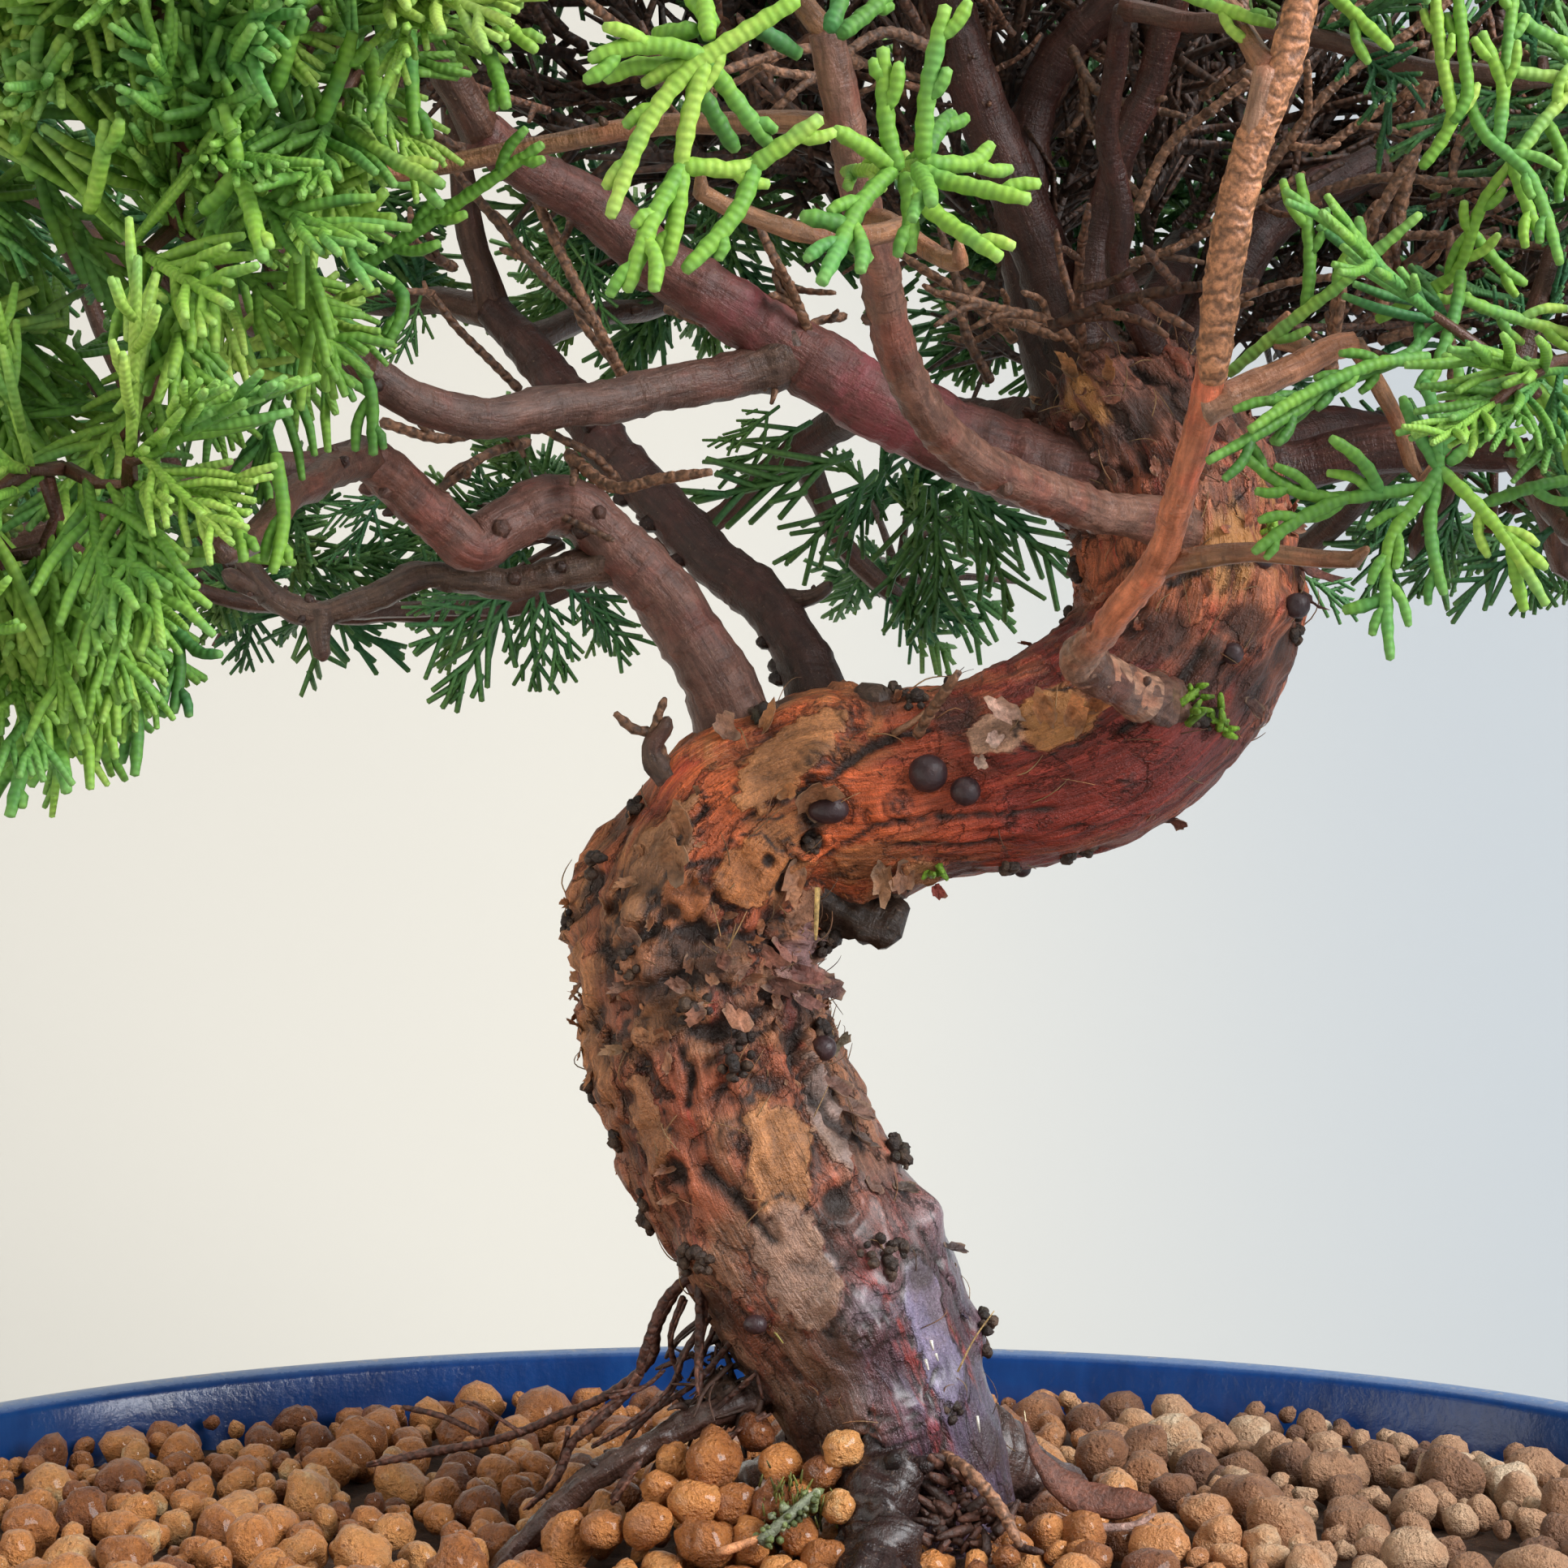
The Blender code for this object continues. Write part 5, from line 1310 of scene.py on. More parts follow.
def spray_mesh(name, seed, length, radius, sides, gap, side_shoots, small_shoots):
    """A leafy spray along +Z with its fan across X: an axis, side shoots in turn and a few smaller ones."""
    draw = random.Random(seed)
    shape = Shape()
    bend = draw.uniform(-0.16, 0.16) * length
    lift = draw.uniform(-0.1, 0.1) * length
    axis = [np.array((bend * t * t, lift * t * t, length * t)) for t in (0, 0.33, 0.66, 1.0)]
    shoot_tube(shape, axis, radius, sides, gap, 0.0, 0.15, 1.0)
    for k in range(side_shoots):
        share = 0.12 + 0.66 * (k + draw.uniform(-0.3, 0.3)) / max(1, side_shoots - 1)
        start = np.array((bend * share ** 2, lift * share ** 2, length * share))
        ahead = unit(np.array((2 * bend * share, 2 * lift * share, length)))
        side = (1 if k % 2 else -1) * np.array((1.0, draw.uniform(-0.6, 0.6), 0.0))
        lean = math.radians(draw.uniform(30, 55) * (1.1 - 0.35 * share))
        away = unit(ahead * math.cos(lean) + unit(side) * math.sin(lean))
        reach = length * draw.uniform(0.32, 0.56) * (1.15 - 0.55 * share)
        final = unit(away * 0.75 + ahead * 0.4)
        middle = start + away * reach * 0.5
        points = [start, middle, middle + final * reach * 0.5]
        shoot_tube(shape, points, radius * 0.95, sides, gap, 0.0, 0.25 + 0.4 * share, 1.0)
        if reach > length * 0.22 and draw.random() < small_shoots:
            across = unit(np.cross(away, (0, 1, 0.2)) * (1 if k % 2 else -1) + away * 1.2)
            begin = start + away * reach * draw.uniform(0.3, 0.5)
            tip = begin + across * reach * draw.uniform(0.35, 0.6)
            shoot_tube(shape, [begin, (begin + tip) / 2, tip], radius * 0.9, sides, gap, 0.0, 0.5, 1.0)
    return shape.mesh(name)


def even_directions(count, draw):
    """Directions spread evenly over the sphere, turned by a drawn angle."""
    turn = draw.uniform(0, math.tau)
    golden = math.pi * (3 - math.sqrt(5))
    rows = []
    for k in range(count):
        z = 1 - (2 * k + 1) / count
        level = math.sqrt(1 - z * z)
        rows.append(np.array((level * math.cos(golden * k + turn), level * math.sin(golden * k + turn), z)))
    return rows


# Places that no spray may enter: picture places from left to right and from top to bottom, then depths y.
ANY = 1e9
OPEN_PLACES = (
    (470, 1500, -60, 1900, -ANY, 12), (1500, 1600, -60, 1900, -ANY, 0), (0, PICTURE, 830, ANY, -45, ANY),
    (1600, 1990, 745, ANY, -45, ANY), (-ANY, 1760, 380, ANY, -ANY, -20), (780, 1000, 560, 900, 12, ANY),
    (1250, 1600, 640, ANY, 12, ANY),
)


def clears_window(place, tip):
    """False for a spray that would hang in front of the trunk or in the bare part of the picture."""
    for point in (place, (place + tip) / 2, tip):
        across, down = seen_at(point)
        for left, right, top, bottom, front, back in OPEN_PLACES:
            if left < across < right and top < down < bottom and front <= point[1] < back:
                return False
    return True


def seen_through(centre):
    """True for a pad at the back that the picture shows through the crown."""
    return centre.y > 15 and centre.z < 205


def pad_sprays(pad, draw, arms, per_arm, length):
    """Places sprays on short twigs that spread from a pad's core, and returns their rows and the twigs."""
    _, centre, reach, half_height = pad
    heading, along = pad_axis(centre, reach, half_height)
    behind = seen_through(centre)
    centre, heading = np.array(centre), np.array(heading)
    sizes = np.array((reach, reach, half_height))
    rows, twigs = [], []
    for direction in even_directions(arms, draw):
        if direction @ heading < -0.8:
            continue
        start = centre + heading * along * draw.uniform(-0.4, 0.25)
        end = centre + direction * sizes * draw.uniform(0.45, 0.75)
        middle = (start + end) / 2 + np.array((0, 0, draw.uniform(0.3, 1.2)))
        before = len(rows)
        for k in range(per_arm):
            share = 1.0 if k == 0 else draw.uniform(0.15, 0.95)
            place = start + (end - start) * share
            stray = stray_of(draw)
            aim = unit(direction * (1, 1, 0.8) + unit(end - start) * 0.5 + stray * (0.25 if k == 0 else 0.7)
                       + (0, 0, -0.55 if behind else -0.12))
            size = draw.uniform(0.72, 1.12)
            tip = place + aim * length * size
            over = np.linalg.norm((tip - centre) / sizes) - 1.15
            if over > 0:
                place = place - aim * over * reach * 0.9
            up = np.array((0, -1.0, 0.3) if behind else (0, -0.5, 1.0)) + stray[::-1] * (0.35 if behind else 0.6)
            if not clears_window(place, place + aim * length * size):
                continue
            inward = np.linalg.norm((place - centre) / sizes)
            rows.append((place, aim, up, size, draw.uniform(0, 1) * 0.7 + 0.3 * min(1, inward * 1.4)))
        if len(rows) > before:
            twigs.append([(*start, 0.62), (*middle, 0.5), (*end, 0.38)])
    return rows, twigs


def twig_sprays(route, draw, count):
    """A few sprays along the outer part of a twig, which fill the space between pads."""
    rows = []
    points = np.array([point[:3] for point in route])
    for _ in range(count):
        share = draw.uniform(0.3, 0.98) * (len(points) - 1)
        k = min(int(share), len(points) - 2)
        place = points[k] + (points[k + 1] - points[k]) * (share - k)
        ahead = unit(points[k + 1] - points[k])
        stray = stray_of(draw)
        aim = unit(ahead * 0.7 + stray + (0, 0, 0.15))
        if clears_window(place, place + aim * 12):
            rows.append((place, aim, stray[::-1] + (0, 0, 1), draw.uniform(0.6, 0.9), draw.uniform(0, 0.5)))
    return rows


# The leafy mass that fills the picture's left side: its outline in the picture and the depths it fills.
LEFT_MASS = (
    (-160, -120), (700, -120), (660, 50), (560, 120), (560, 240), (500, 330), (490, 440), (420, 520), (330, 610),
    (320, 700), (230, 830), (160, 930), (60, 980), (0, 990), (-160, 900),
)
LEFT_DEPTH = (-88.0, -52.0)
LEFT_SEEDS = ((-50, -78, 145), (-34, -74, 175), (-37, -20, 152), (-36, -27, 158.5), (-27, -18, 181), (-45, -70, 160),
              (-60, -70, 172))


def inside(outline, across, down):
    """True where a picture place lies within an outline of picture places."""
    count = 0
    for (x0, y0), (x1, y1) in zip(outline, (*outline[1:], outline[0])):
        if (y0 > down) != (y1 > down) and across < x0 + (x1 - x0) * (down - y0) / (y1 - y0):
            count += 1
    return count % 2 == 1


def mass_sprays(draw, arms, per_arm, length):
    """Twigs that branch from one another through the mass on the left, and the sprays on them."""
    seeds = [np.array(seed, float) for seed in LEFT_SEEDS]
    targets = []
    while len(targets) < arms:
        across, down = draw.uniform(-150, 640), draw.uniform(-110, 900)
        if inside(LEFT_MASS, across + 60, down + 60) and inside(LEFT_MASS, across - 30, down + 110):
            targets.append(from_picture(across, down, draw.uniform(*LEFT_DEPTH)))
    middle = seeds[0]
    targets.sort(key=lambda target: min(np.linalg.norm(target - seed) for seed in seeds))
    twigs, rows = [], []
    for target in targets:
        root = min(seeds, key=lambda seed: np.linalg.norm(seed - target))
        span = target - root
        if not 3.0 < np.linalg.norm(span) < 30.0:
            continue
        bend = stray_of(draw) * 1.2
        twigs.append([(*root, 0.6), (*(root + span * 0.5 + bend), 0.5), (*target, 0.36)])
        seeds += [root + span * 0.6 + bend, target]
        for k in range(per_arm):
            share = 1.0 if k == 0 else draw.uniform(0.35, 0.98)
            place = root + span * share + bend * (1 - abs(2 * share - 1))
            for _ in range(12):
                stray = stray_of(draw)
                outward = unit((place - middle) * (1, 0.4, 1))
                aim = unit(unit(span) * 0.5 + outward * 0.45 + stray * 0.8 + (0, -0.15, -0.25))
                size = draw.uniform(0.75, 1.15)
                tip = place + aim * length * size
                if inside(LEFT_MASS, *seen_at(tip)) and tip[1] > -99:
                    near = rise(-place[1], 52, 86)
                    tone = 0.25 + 0.5 * draw.random() + 0.3 * float(near)
                    rows.append((place, aim, np.array((0, -0.7, 0.8)) + stray[::-1] * 0.7, size, tone))
                    break
    return rows, twigs


# Shoots near the camera, as they are seen: depth y at the start and at the end, tone, then picture places.
NEAR_SHOOTS = (
    (-93, -93, 0.85, (982, 0), (923, 37), (869, 71), (832, 104), (790, 167), (752, 267)),
    (-93, -94, 0.6, (869, 71), (825, 58), (773, 58), (727, 73)),
    (-92, -92, 0.55, (860, 75), (815, 82), (773, 83), (746, 98)), (-92, -90, 0.5, (857, 37), (830, 40), (807, 42)),
    (-93, -90, 0.75, (873, 45), (868, 0), (858, -50)), (-92, -90, 0.6, (880, 30), (855, 0), (840, -30)),
    (-93, -92, 0.9, (869, 71), (854, 125), (842, 183), (838, 208)),
    (-92, -94, 0.55, (840, 205), (815, 250), (798, 285), (773, 358)),
    (-92, -92, 0.7, (840, 208), (834, 267), (821, 325)),
    (-92, -91, 0.85, (840, 206), (869, 206), (905, 210), (932, 200)),
    (-93, -90, 0.5, (869, 71), (898, 112), (948, 179)), (-88, -86, 0.2, (865, 115), (885, 150), (907, 185)),
    (-91, -92, 0.85, (925, 207), (970, 176), (1011, 146)),
    (-91, -93, 0.5, (930, 200), (915, 250), (880, 296), (844, 333)),
    (-88, -86, 0.15, (925, 30), (955, 48), (985, 68)), (-86, -84, 0.45, (1036, 42), (1062, 22), (1100, -10)),
    (-88, -86, 0.3, (1022, 35), (1036, 0), (1040, -40)),
    (-70, -88, 0.75, (1042, 212), (1062, 210), (1107, 208), (1135, 200)),
    (-88, -90, 0.6, (1107, 208), (1093, 160), (1090, 110), (1088, 60)),
    (-88, -91, 0.75, (1137, 195), (1141, 130), (1149, 80), (1165, 8)),
    (-87, -84, 0.25, (1140, 192), (1156, 160), (1173, 140)), (-88, -90, 0.7, (1100, 205), (1065, 181), (1028, 160)),
    (-88, -94, 0.6, (1100, 210), (1062, 250), (1036, 300), (1012, 348)),
    (-91, -92, 0.35, (1046, 280), (1018, 272), (988, 266)), (-91, -90, 0.9, (1044, 286), (1058, 302), (1070, 322)),
    (-88, -88, 0.65, (1115, 215), (1122, 258), (1121, 310)),
    (-88, -91, 0.85, (1122, 235), (1160, 270), (1195, 292), (1232, 318)),
    (-88, -90, 0.7, (1130, 208), (1170, 225), (1210, 233), (1268, 246)),
    (-88, -86, 0.7, (1135, 200), (1180, 203), (1200, 200), (1221, 178)),
    (-89, -93, 0.55, (1130, 208), (1142, 228), (1148, 250)),
    (-60, -66, 0.95, (1513, 461), (1562, 420), (1608, 383), (1650, 352), (1690, 315), (1750, 264)),
    (-62, -62, 0.6, (1608, 380), (1614, 330), (1610, 270), (1601, 215)),
    (-63, -63, 0.65, (1682, 322), (1677, 297), (1674, 268)),
    (-60, -66, 0.8, (1697, 394), (1763, 356), (1797, 333), (1812, 290), (1830, 245), (1862, 200)),
    (-64, -66, 0.6, (1800, 335), (1794, 380), (1778, 430), (1760, 482)),
    (-64, -70, 0.45, (1748, 400), (1741, 433), (1652, 472), (1600, 505), (1558, 530), (1488, 568)),
    (-66, -66, 0.4, (1652, 474), (1605, 505), (1568, 546)),
    (-66, -70, 0.7, (1760, 440), (1690, 450), (1600, 490), (1540, 530)),
    (-68, -68, 0.5, (1763, 600), (1700, 608), (1640, 614), (1585, 600), (1530, 560)),
    (-68, -70, 0.45, (1663, 611), (1600, 640), (1545, 680)), (-68, -68, 0.55, (1755, 470), (1770, 520), (1774, 578)),
    (-68, -70, 0.5, (1774, 578), (1745, 620), (1712, 668), (1708, 750), (1713, 812)),
    (-69, -69, 0.45, (1711, 735), (1685, 745), (1656, 752)),
    (-68, -68, 0.5, (1774, 578), (1762, 640), (1768, 690), (1779, 732)),
    (-68, -70, 0.75, (1774, 578), (1820, 622), (1860, 670), (1905, 745)),
    (-69, -70, 0.7, (1845, 650), (1875, 675), (1905, 700)), (-69, -68, 0.6, (1862, 672), (1868, 710), (1878, 752)),
    (-68, -66, 0.6, (1774, 578), (1745, 530), (1728, 490)), (-68, -68, 0.65, (1774, 560), (1800, 515), (1815, 470)),
    (-68, -66, 0.55, (1785, 570), (1830, 535), (1862, 515)), (-68, -70, 0.4, (1700, 608), (1680, 570), (1640, 540)),
    (-64, -60, 0.8, (1797, 365), (1835, 382), (1874, 394), (1960, 420)),
    (-64, -62, 0.7, (1790, 440), (1841, 450), (1890, 458), (1965, 462)),
    (-63, -62, 0.6, (1841, 450), (1880, 470), (1908, 495), (1950, 565)),
    (-63, -62, 0.5, (1870, 560), (1910, 540), (1960, 535)),
    (-66, -68, 0.85, (1752, 206), (1775, 175), (1789, 150), (1782, 100), (1774, 56), (1766, -30)),
    (-67, -68, 0.5, (1789, 150), (1808, 118), (1804, 70), (1795, -20)),
    (-66, -70, 0.55, (1808, 118), (1830, 167), (1880, 210), (1905, 265), (1922, 325)),
    (-67, -68, 0.6, (1845, 180), (1852, 111), (1840, 75), (1826, 40)),
    (-67, -66, 0.7, (1853, 115), (1858, 60), (1866, -20)), (-67, -66, 0.8, (1865, 200), (1905, 145), (1960, 90)),
    (-66, -66, 0.95, (1850, 85), (1890, 92), (1950, 98)), (-66, -66, 0.7, (1862, 200), (1880, 250), (1897, 290)),
    (-70, -72, 0.75, (1625, -20), (1660, 10), (1690, 38), (1714, 60)),
    (-70, -72, 0.7, (1440, -15), (1500, 8), (1535, 20), (1570, 30)),
    (-60, -60, 0.5, (1812, 285), (1850, 330), (1880, 350)), (-66, -66, 0.6, (1870, 20), (1905, 45), (1950, 60)),
    (-64, -64, 0.45, (1905, 150), (1925, 190), (1935, 240)),
    (-60, -60, 0.6, (1775, 520), (1840, 500), (1900, 505), (1950, 520)),
    (-60, -58, 0.4, (1830, 620), (1890, 600), (1945, 590)),
    (-70, -76, 0.35, (430, 340), (520, 280), (600, 225), (668, 178)),
    (-78, -80, 0.75, (580, -20), (610, 20), (660, 62)), (-78, -80, 0.3, (600, 60), (612, 90), (624, 132)),
    (-76, -78, 0.3, (505, 40), (507, 90), (512, 165)), (-80, -82, 0.6, (455, 60), (462, 100), (470, 165)),
    (-80, -84, 0.85, (430, 160), (480, 195), (545, 228)), (-78, -80, 0.75, (380, 250), (430, 270), (475, 235)),
    (-70, -72, 0.3, (470, 340), (500, 370), (478, 420)), (-66, -66, 0.3, (420, 430), (455, 470), (460, 560)),
    (-72, -74, 0.5, (340, 560), (350, 640), (336, 705)), (-72, -76, 0.45, (240, 600), (290, 640), (300, 690)),
    (-64, -66, 0.3, (215, 760), (222, 820), (214, 878)), (-64, -66, 0.25, (190, 740), (240, 800), (272, 806)),
    (-64, -66, 0.3, (160, 830), (170, 890), (166, 955)), (-76, -80, 0.55, (60, 880), (75, 930), (82, 975)),
    (-76, -80, 0.5, (30, 880), (28, 940), (12, 1005)), (-70, -72, 0.3, (90, 880), (60, 925), (38, 968)),
    (-70, -70, 0.3, (60, 900), (20, 930), (0, 935)), (-80, -84, 0.8, (40, 220), (25, 140), (35, 30)),
    (-82, -86, 0.8, (20, 190), (50, 110), (78, 45)), (-84, -88, 0.9, (110, 260), (125, 200), (130, 150)),
    (-80, -80, 0.4, (150, 90), (110, 40), (80, -10)), (-84, -86, 0.7, (340, 110), (355, 60), (368, 5)),
    (-82, -84, 0.6, (395, 150), (420, 90), (435, 40)), (-86, -88, 0.8, (250, 260), (290, 210), (275, 130)),
    (-86, -90, 0.85, (290, 200), (310, 260), (325, 320)),
)


# Fans of leaf seen behind the limbs: picture place of the root and of the tip, and depth y.
FANS = (
    (640, 715, 505, 795, 24), (640, 720, 545, 872, 26), (650, 720, 600, 858, 23), (655, 720, 650, 850, 27),
    (665, 720, 700, 838, 24), (675, 720, 745, 838, 26), (690, 715, 788, 795, 25), (600, 700, 520, 770, 28),
    (700, 700, 770, 760, 28), (470, 610, 395, 650, 20), (470, 610, 425, 700, 22), (480, 610, 475, 700, 20),
    (500, 600, 545, 660, 24), (1050, 560, 868, 640, 30), (1050, 560, 905, 690, 33), (1080, 580, 985, 700, 31),
    (1090, 580, 1040, 690, 35), (1120, 590, 1085, 740, 31), (1140, 600, 1125, 775, 34), (1150, 600, 1175, 775, 31),
    (1160, 600, 1228, 800, 33), (1180, 600, 1265, 735, 30), (1180, 590, 1325, 700, 34), (1180, 580, 1330, 650, 31),
    (1000, 520, 885, 590, 33), (960, 500, 890, 560, 30), (560, 260, 600, 380, 30), (640, 260, 660, 340, 32),
    (700, 270, 690, 370, 31), (760, 300, 790, 430, 33), (520, 360, 500, 450, 30), (720, 300, 740, 410, 30),
    (1700, 600, 1640, 690, 22), (1720, 600, 1690, 740, 24), (1800, 600, 1770, 735, 22), (1850, 600, 1838, 760, 24),
    (1900, 600, 1905, 752, 22), (1932, 640, 1935, 745, 24), (1000, 300, 960, 380, 30), (900, 240, 870, 330, 32),
    (820, 220, 790, 300, 31), (1370, 180, 1330, 260, 40), (1400, 220, 1390, 290, 40), (560, 80, 600, 160, 30),
)


# The crown's middle and half size, in mm.
CROWN_MIDDLE, CROWN_HALF = (10.0, 2.0, 196.0), (106.0, 100.0, 60.0)


def fan_rows(draw, length):
    """Rows for the fans, each turned towards the camera."""
    rows = []
    for across, down, to_across, to_down, y in FANS[::3] + FANS[1::3]:
        place, tip = from_picture(across, down, y), from_picture(to_across, to_down, y - 1.5)
        face = np.array((draw.uniform(-0.2, 0.2), -1.0, draw.uniform(-0.2, 0.2)))
        size = float(np.linalg.norm(tip - place)) / length
        rows.append((place, unit(tip - place), face, size, draw.uniform(0.3, 0.8)))
    return rows


def backing_rows(draw, count, length):
    """Rows for sprays that close the back of the crown behind its bare twigs, aimed away from its heart."""
    rows = []
    heart = np.array(CROWN_HEART) + (14.0, -10.0, 14.0)
    while len(rows) < count:
        across, down = draw.uniform(200, 2300), draw.uniform(-330, 480)
        place = from_picture(across, down, draw.uniform(34, 82))
        stray = stray_of(draw)
        aim = unit(unit(place - heart) + stray * 0.55)
        size = draw.uniform(0.75, 1.15)
        tip = place + aim * length * size
        ends = (seen_at(place), seen_at(tip))
        seen = all(inside(INNER_OUTLINE, *spot) or spot[0] > 1990 or spot[1] < -60 for spot in ends)
        if seen and np.linalg.norm((tip - CROWN_MIDDLE) / CROWN_HALF) < 1.0:
            rows.append((place, aim, stray, size, draw.uniform(0.2, 0.75)))
    return rows


def near_shoots_mesh():
    """The shoots near the camera that stand alone, each a tube of small scales."""
    shape = Shape()
    draw = random.Random(97)
    for start_y, end_y, tone, *places in NEAR_SHOOTS:
        count = len(places) - 1
        points = [from_picture(*place, start_y + (end_y - start_y) * k / count) for k, place in enumerate(places)]
        route, along = smooth_line(points)
        radius = 0.5 + 0.13 * float(rise(-start_y, 62, 90))
        shoot_tube(shape, route, radius, 7, 0.75, 0.1, 0.3, 1.0, tone=tone, shade=0.0)
        for k in range(2, len(route) - 1):
            if draw.random() < 0.3 or len(route) < 4:
                continue
            ahead = unit(route[k + 1] - route[k - 1])
            aside = unit(np.cross(ahead, (0, 1, 0))) * (1 if k % 2 else -1)
            aim = unit(ahead + aside * draw.uniform(0.6, 1.1) + (0, draw.uniform(-0.5, 0.5), 0))
            reach = draw.uniform(1.8, 4.2) * min(1.0, (along[-1] - along[k]) / 6 + 0.4)
            fork = [route[k], route[k] + aim * reach * 0.5, route[k] + unit(aim + ahead * 0.5) * reach]
            shoot_tube(shape, fork, radius * 0.86, 6, 0.85, 0.1, 0.5, 1.0,
                       tone=min(1.0, max(0.0, tone + draw.uniform(-0.25, 0.2))), shade=0.0)
    return shape.mesh("near_shoots")


def smooth_line(points):
    """More points along a bent line, so that it curves."""
    rows = np.array([(*point, 1.0) for point in points])
    rows, along = spaced(rows, 2.0)
    return [row[:3] for row in rows], along


def spray_rows(rows, variants, draw, shade):
    place, aim, face, size, tone = zip(*rows)
    return {"place": np.array(place), "aim": np.array(aim), "face": np.array(face), "size": np.array(size),
            "tone": np.array(tone), "shade": np.full(len(rows), shade),
            "pick": np.array([draw.randrange(variants) for _ in rows])}


def paint_leaves(graph):
    """Overlapping scales in pairs, bright at the tips, with painted shade that makes the sprays deep in the tree deeper
    and bluer.
    """
    grain = graph.read("grain", "Vector")
    x, y, z = graph.axes(grain, "XYZ")
    turn = graph.node("ShaderNodeMath", {0: y, 1: x}, {"operation": "ARCTAN2"})
    uneven = graph.ripple(grain, 0.6, 2.0)
    scales = (z * (math.tau / SCALE_PITCH) + (turn * 2.0).sine() * 2.5 + (uneven - 0.5) * 3.0).sine()
    tone, tip, shade = graph.read("tone"), graph.read("tip"), graph.read("shade")
    mottle = graph.ripple(graph.place(), 0.05, 3.0)
    fine = graph.ripple(grain, 1.5, 2.0)
    level = tone * 0.75 + (mottle - 0.5) * 1.1 + tip * 0.2 + (fine - 0.5) * 0.3 + 0.04
    colour = graph.stops(level, (
        (0.0, (0.022, 0.070, 0.022)), (0.3, (0.060, 0.175, 0.030)), (0.55, (0.125, 0.29, 0.038)),
        (0.8, (0.215, 0.39, 0.046)), (1.0, (0.36, 0.50, 0.09))))
    cool = graph.ripple(graph.place(), 0.11, 2.0).ramp(0.5, 0.66, 0.0, 0.5)
    colour = graph.blend(cool, colour, (0.05, 0.22, 0.075))
    # Painted shade: sprays far inside the tree are blended towards a deep blue-green.
    deep = graph.blend(0.78, colour, (0.034, 0.135, 0.08))
    colour = graph.blend(shade, colour, deep)
    colour = graph.brighten(colour, (scales * 0.6 + (fine - 0.5) * 2.0).ramp(-0.9, 0.9, 0.9, 1.1))
    colour = graph.blend(tip.ramp(0.93, 1.0, 0.0, 0.3), colour, (0.24, 0.43, 0.12))
    return {"Base Color": colour, "Roughness": 0.58 + (fine - 0.5) * 0.3,
            "Normal": graph.bump(scales * 0.4 + fine * 0.3, 0.06, 0.8)}


# ---------------------------------------------------------------- the pot and its soil


def pot_tree():
    """Turns a profile of radius and height into a closed vessel, squeezed to an oval."""
    tree = bpy.data.node_groups.new("turn_profile", "GeometryNodeTree")
    graph = Graph(tree)
    given = graph.group_input({"Profile": "Geometry", "Rows": "Int", "Steps": "Int", "Squeeze": "Float",
                               "Finish": "Material"})
    grid = graph.node("GeometryNodeMeshGrid", {"Size X": 1.0, "Size Y": 1.0, "Vertices X": given["Steps"] + 1,
                                               "Vertices Y": given["Rows"]}, out="Mesh")
    place = graph.node("GeometryNodeInputPosition")
    x, y = graph.axes(place, "XY")
    turn = (x + 0.5) * math.tau
    row = graph.node("ShaderNodeMath", {0: (y + 0.5) * (given["Rows"] - 1)}, {"operation": "ROUND"})
    point = graph.node("GeometryNodeSampleIndex", {
        "Geometry": given["Profile"], "Value": place, "Index": row}, {"data_type": "FLOAT_VECTOR"})
    radius, height = graph.axes(point, "XZ")
    turned = graph.node("ShaderNodeCombineXYZ", {
        "X": radius * turn.maths("COSINE", turn), "Y": radius * turn.sine() * given["Squeeze"], "Z": height})
    moved = graph.node("GeometryNodeSetPosition", {"Geometry": grid, "Position": turned})
    joined = graph.node("GeometryNodeMergeByDistance", {"Geometry": moved, "Distance": 1e-5})
    smooth = graph.node("GeometryNodeSetShadeSmooth", {"Geometry": joined, "Shade Smooth": True})
    graph.finish_group(smooth, given["Finish"])
    return tree


def turned_mesh(profile, steps, material):
    """The vessel that the node tree turns from a profile."""
    line = bpy.data.meshes.new("profile")
    line.from_pydata([(radius * MM, 0, z * MM) for radius, z in profile], [], [])
    return grown_mesh("profile", line, pot_tree(), {
        "Rows": len(profile), "Steps": steps, "Squeeze": POT_SQUEEZE, "Finish": material})


POT_PROFILE = (
    (0, 12), (40, 12), (70, 12), (76, 12.2), (79.5, 13.2), (82, 15), (85.2, 19.2), (88, 24), (90.8, 30), (93, 36),
    (95, 42), (96.5, 48), (97.4, 52), (98, 54.8), (98.4, 55.6), (99.2, 56.0), (100.5, 56.15), (101.8, 56.0),
    (102.7, 55.5), (103, 54.6), (103.1, 52), (103, 49.6), (102.6, 48.7), (101.2, 47.7), (99.5, 47), (98.9, 45.5),
    (98.9, 42), (98.5, 38), (96.6, 31), (94, 25), (91.3, 19), (88, 14), (84.6, 9.6), (82.6, 7.2), (80, 6), (60, 6),
    (30, 6), (0, 6),
)
POT_TURNS = 192


def rounded_block(size, softness):
    """A box with rounded edges, wider above than below."""
    grid = bmesh.new()
    bmesh.ops.create_cube(grid, size=1.0)
    for vertex in grid.verts:
        taper = 0.9 if vertex.co.z < 0 else 1.0
        vertex.co = Vector((vertex.co.x * size[0] * taper, vertex.co.y * size[1] * taper, vertex.co.z * size[2]))
    bmesh.ops.bevel(grid, geom=grid.edges[:], offset=softness, segments=4, profile=0.6, affect="EDGES")
    return grid


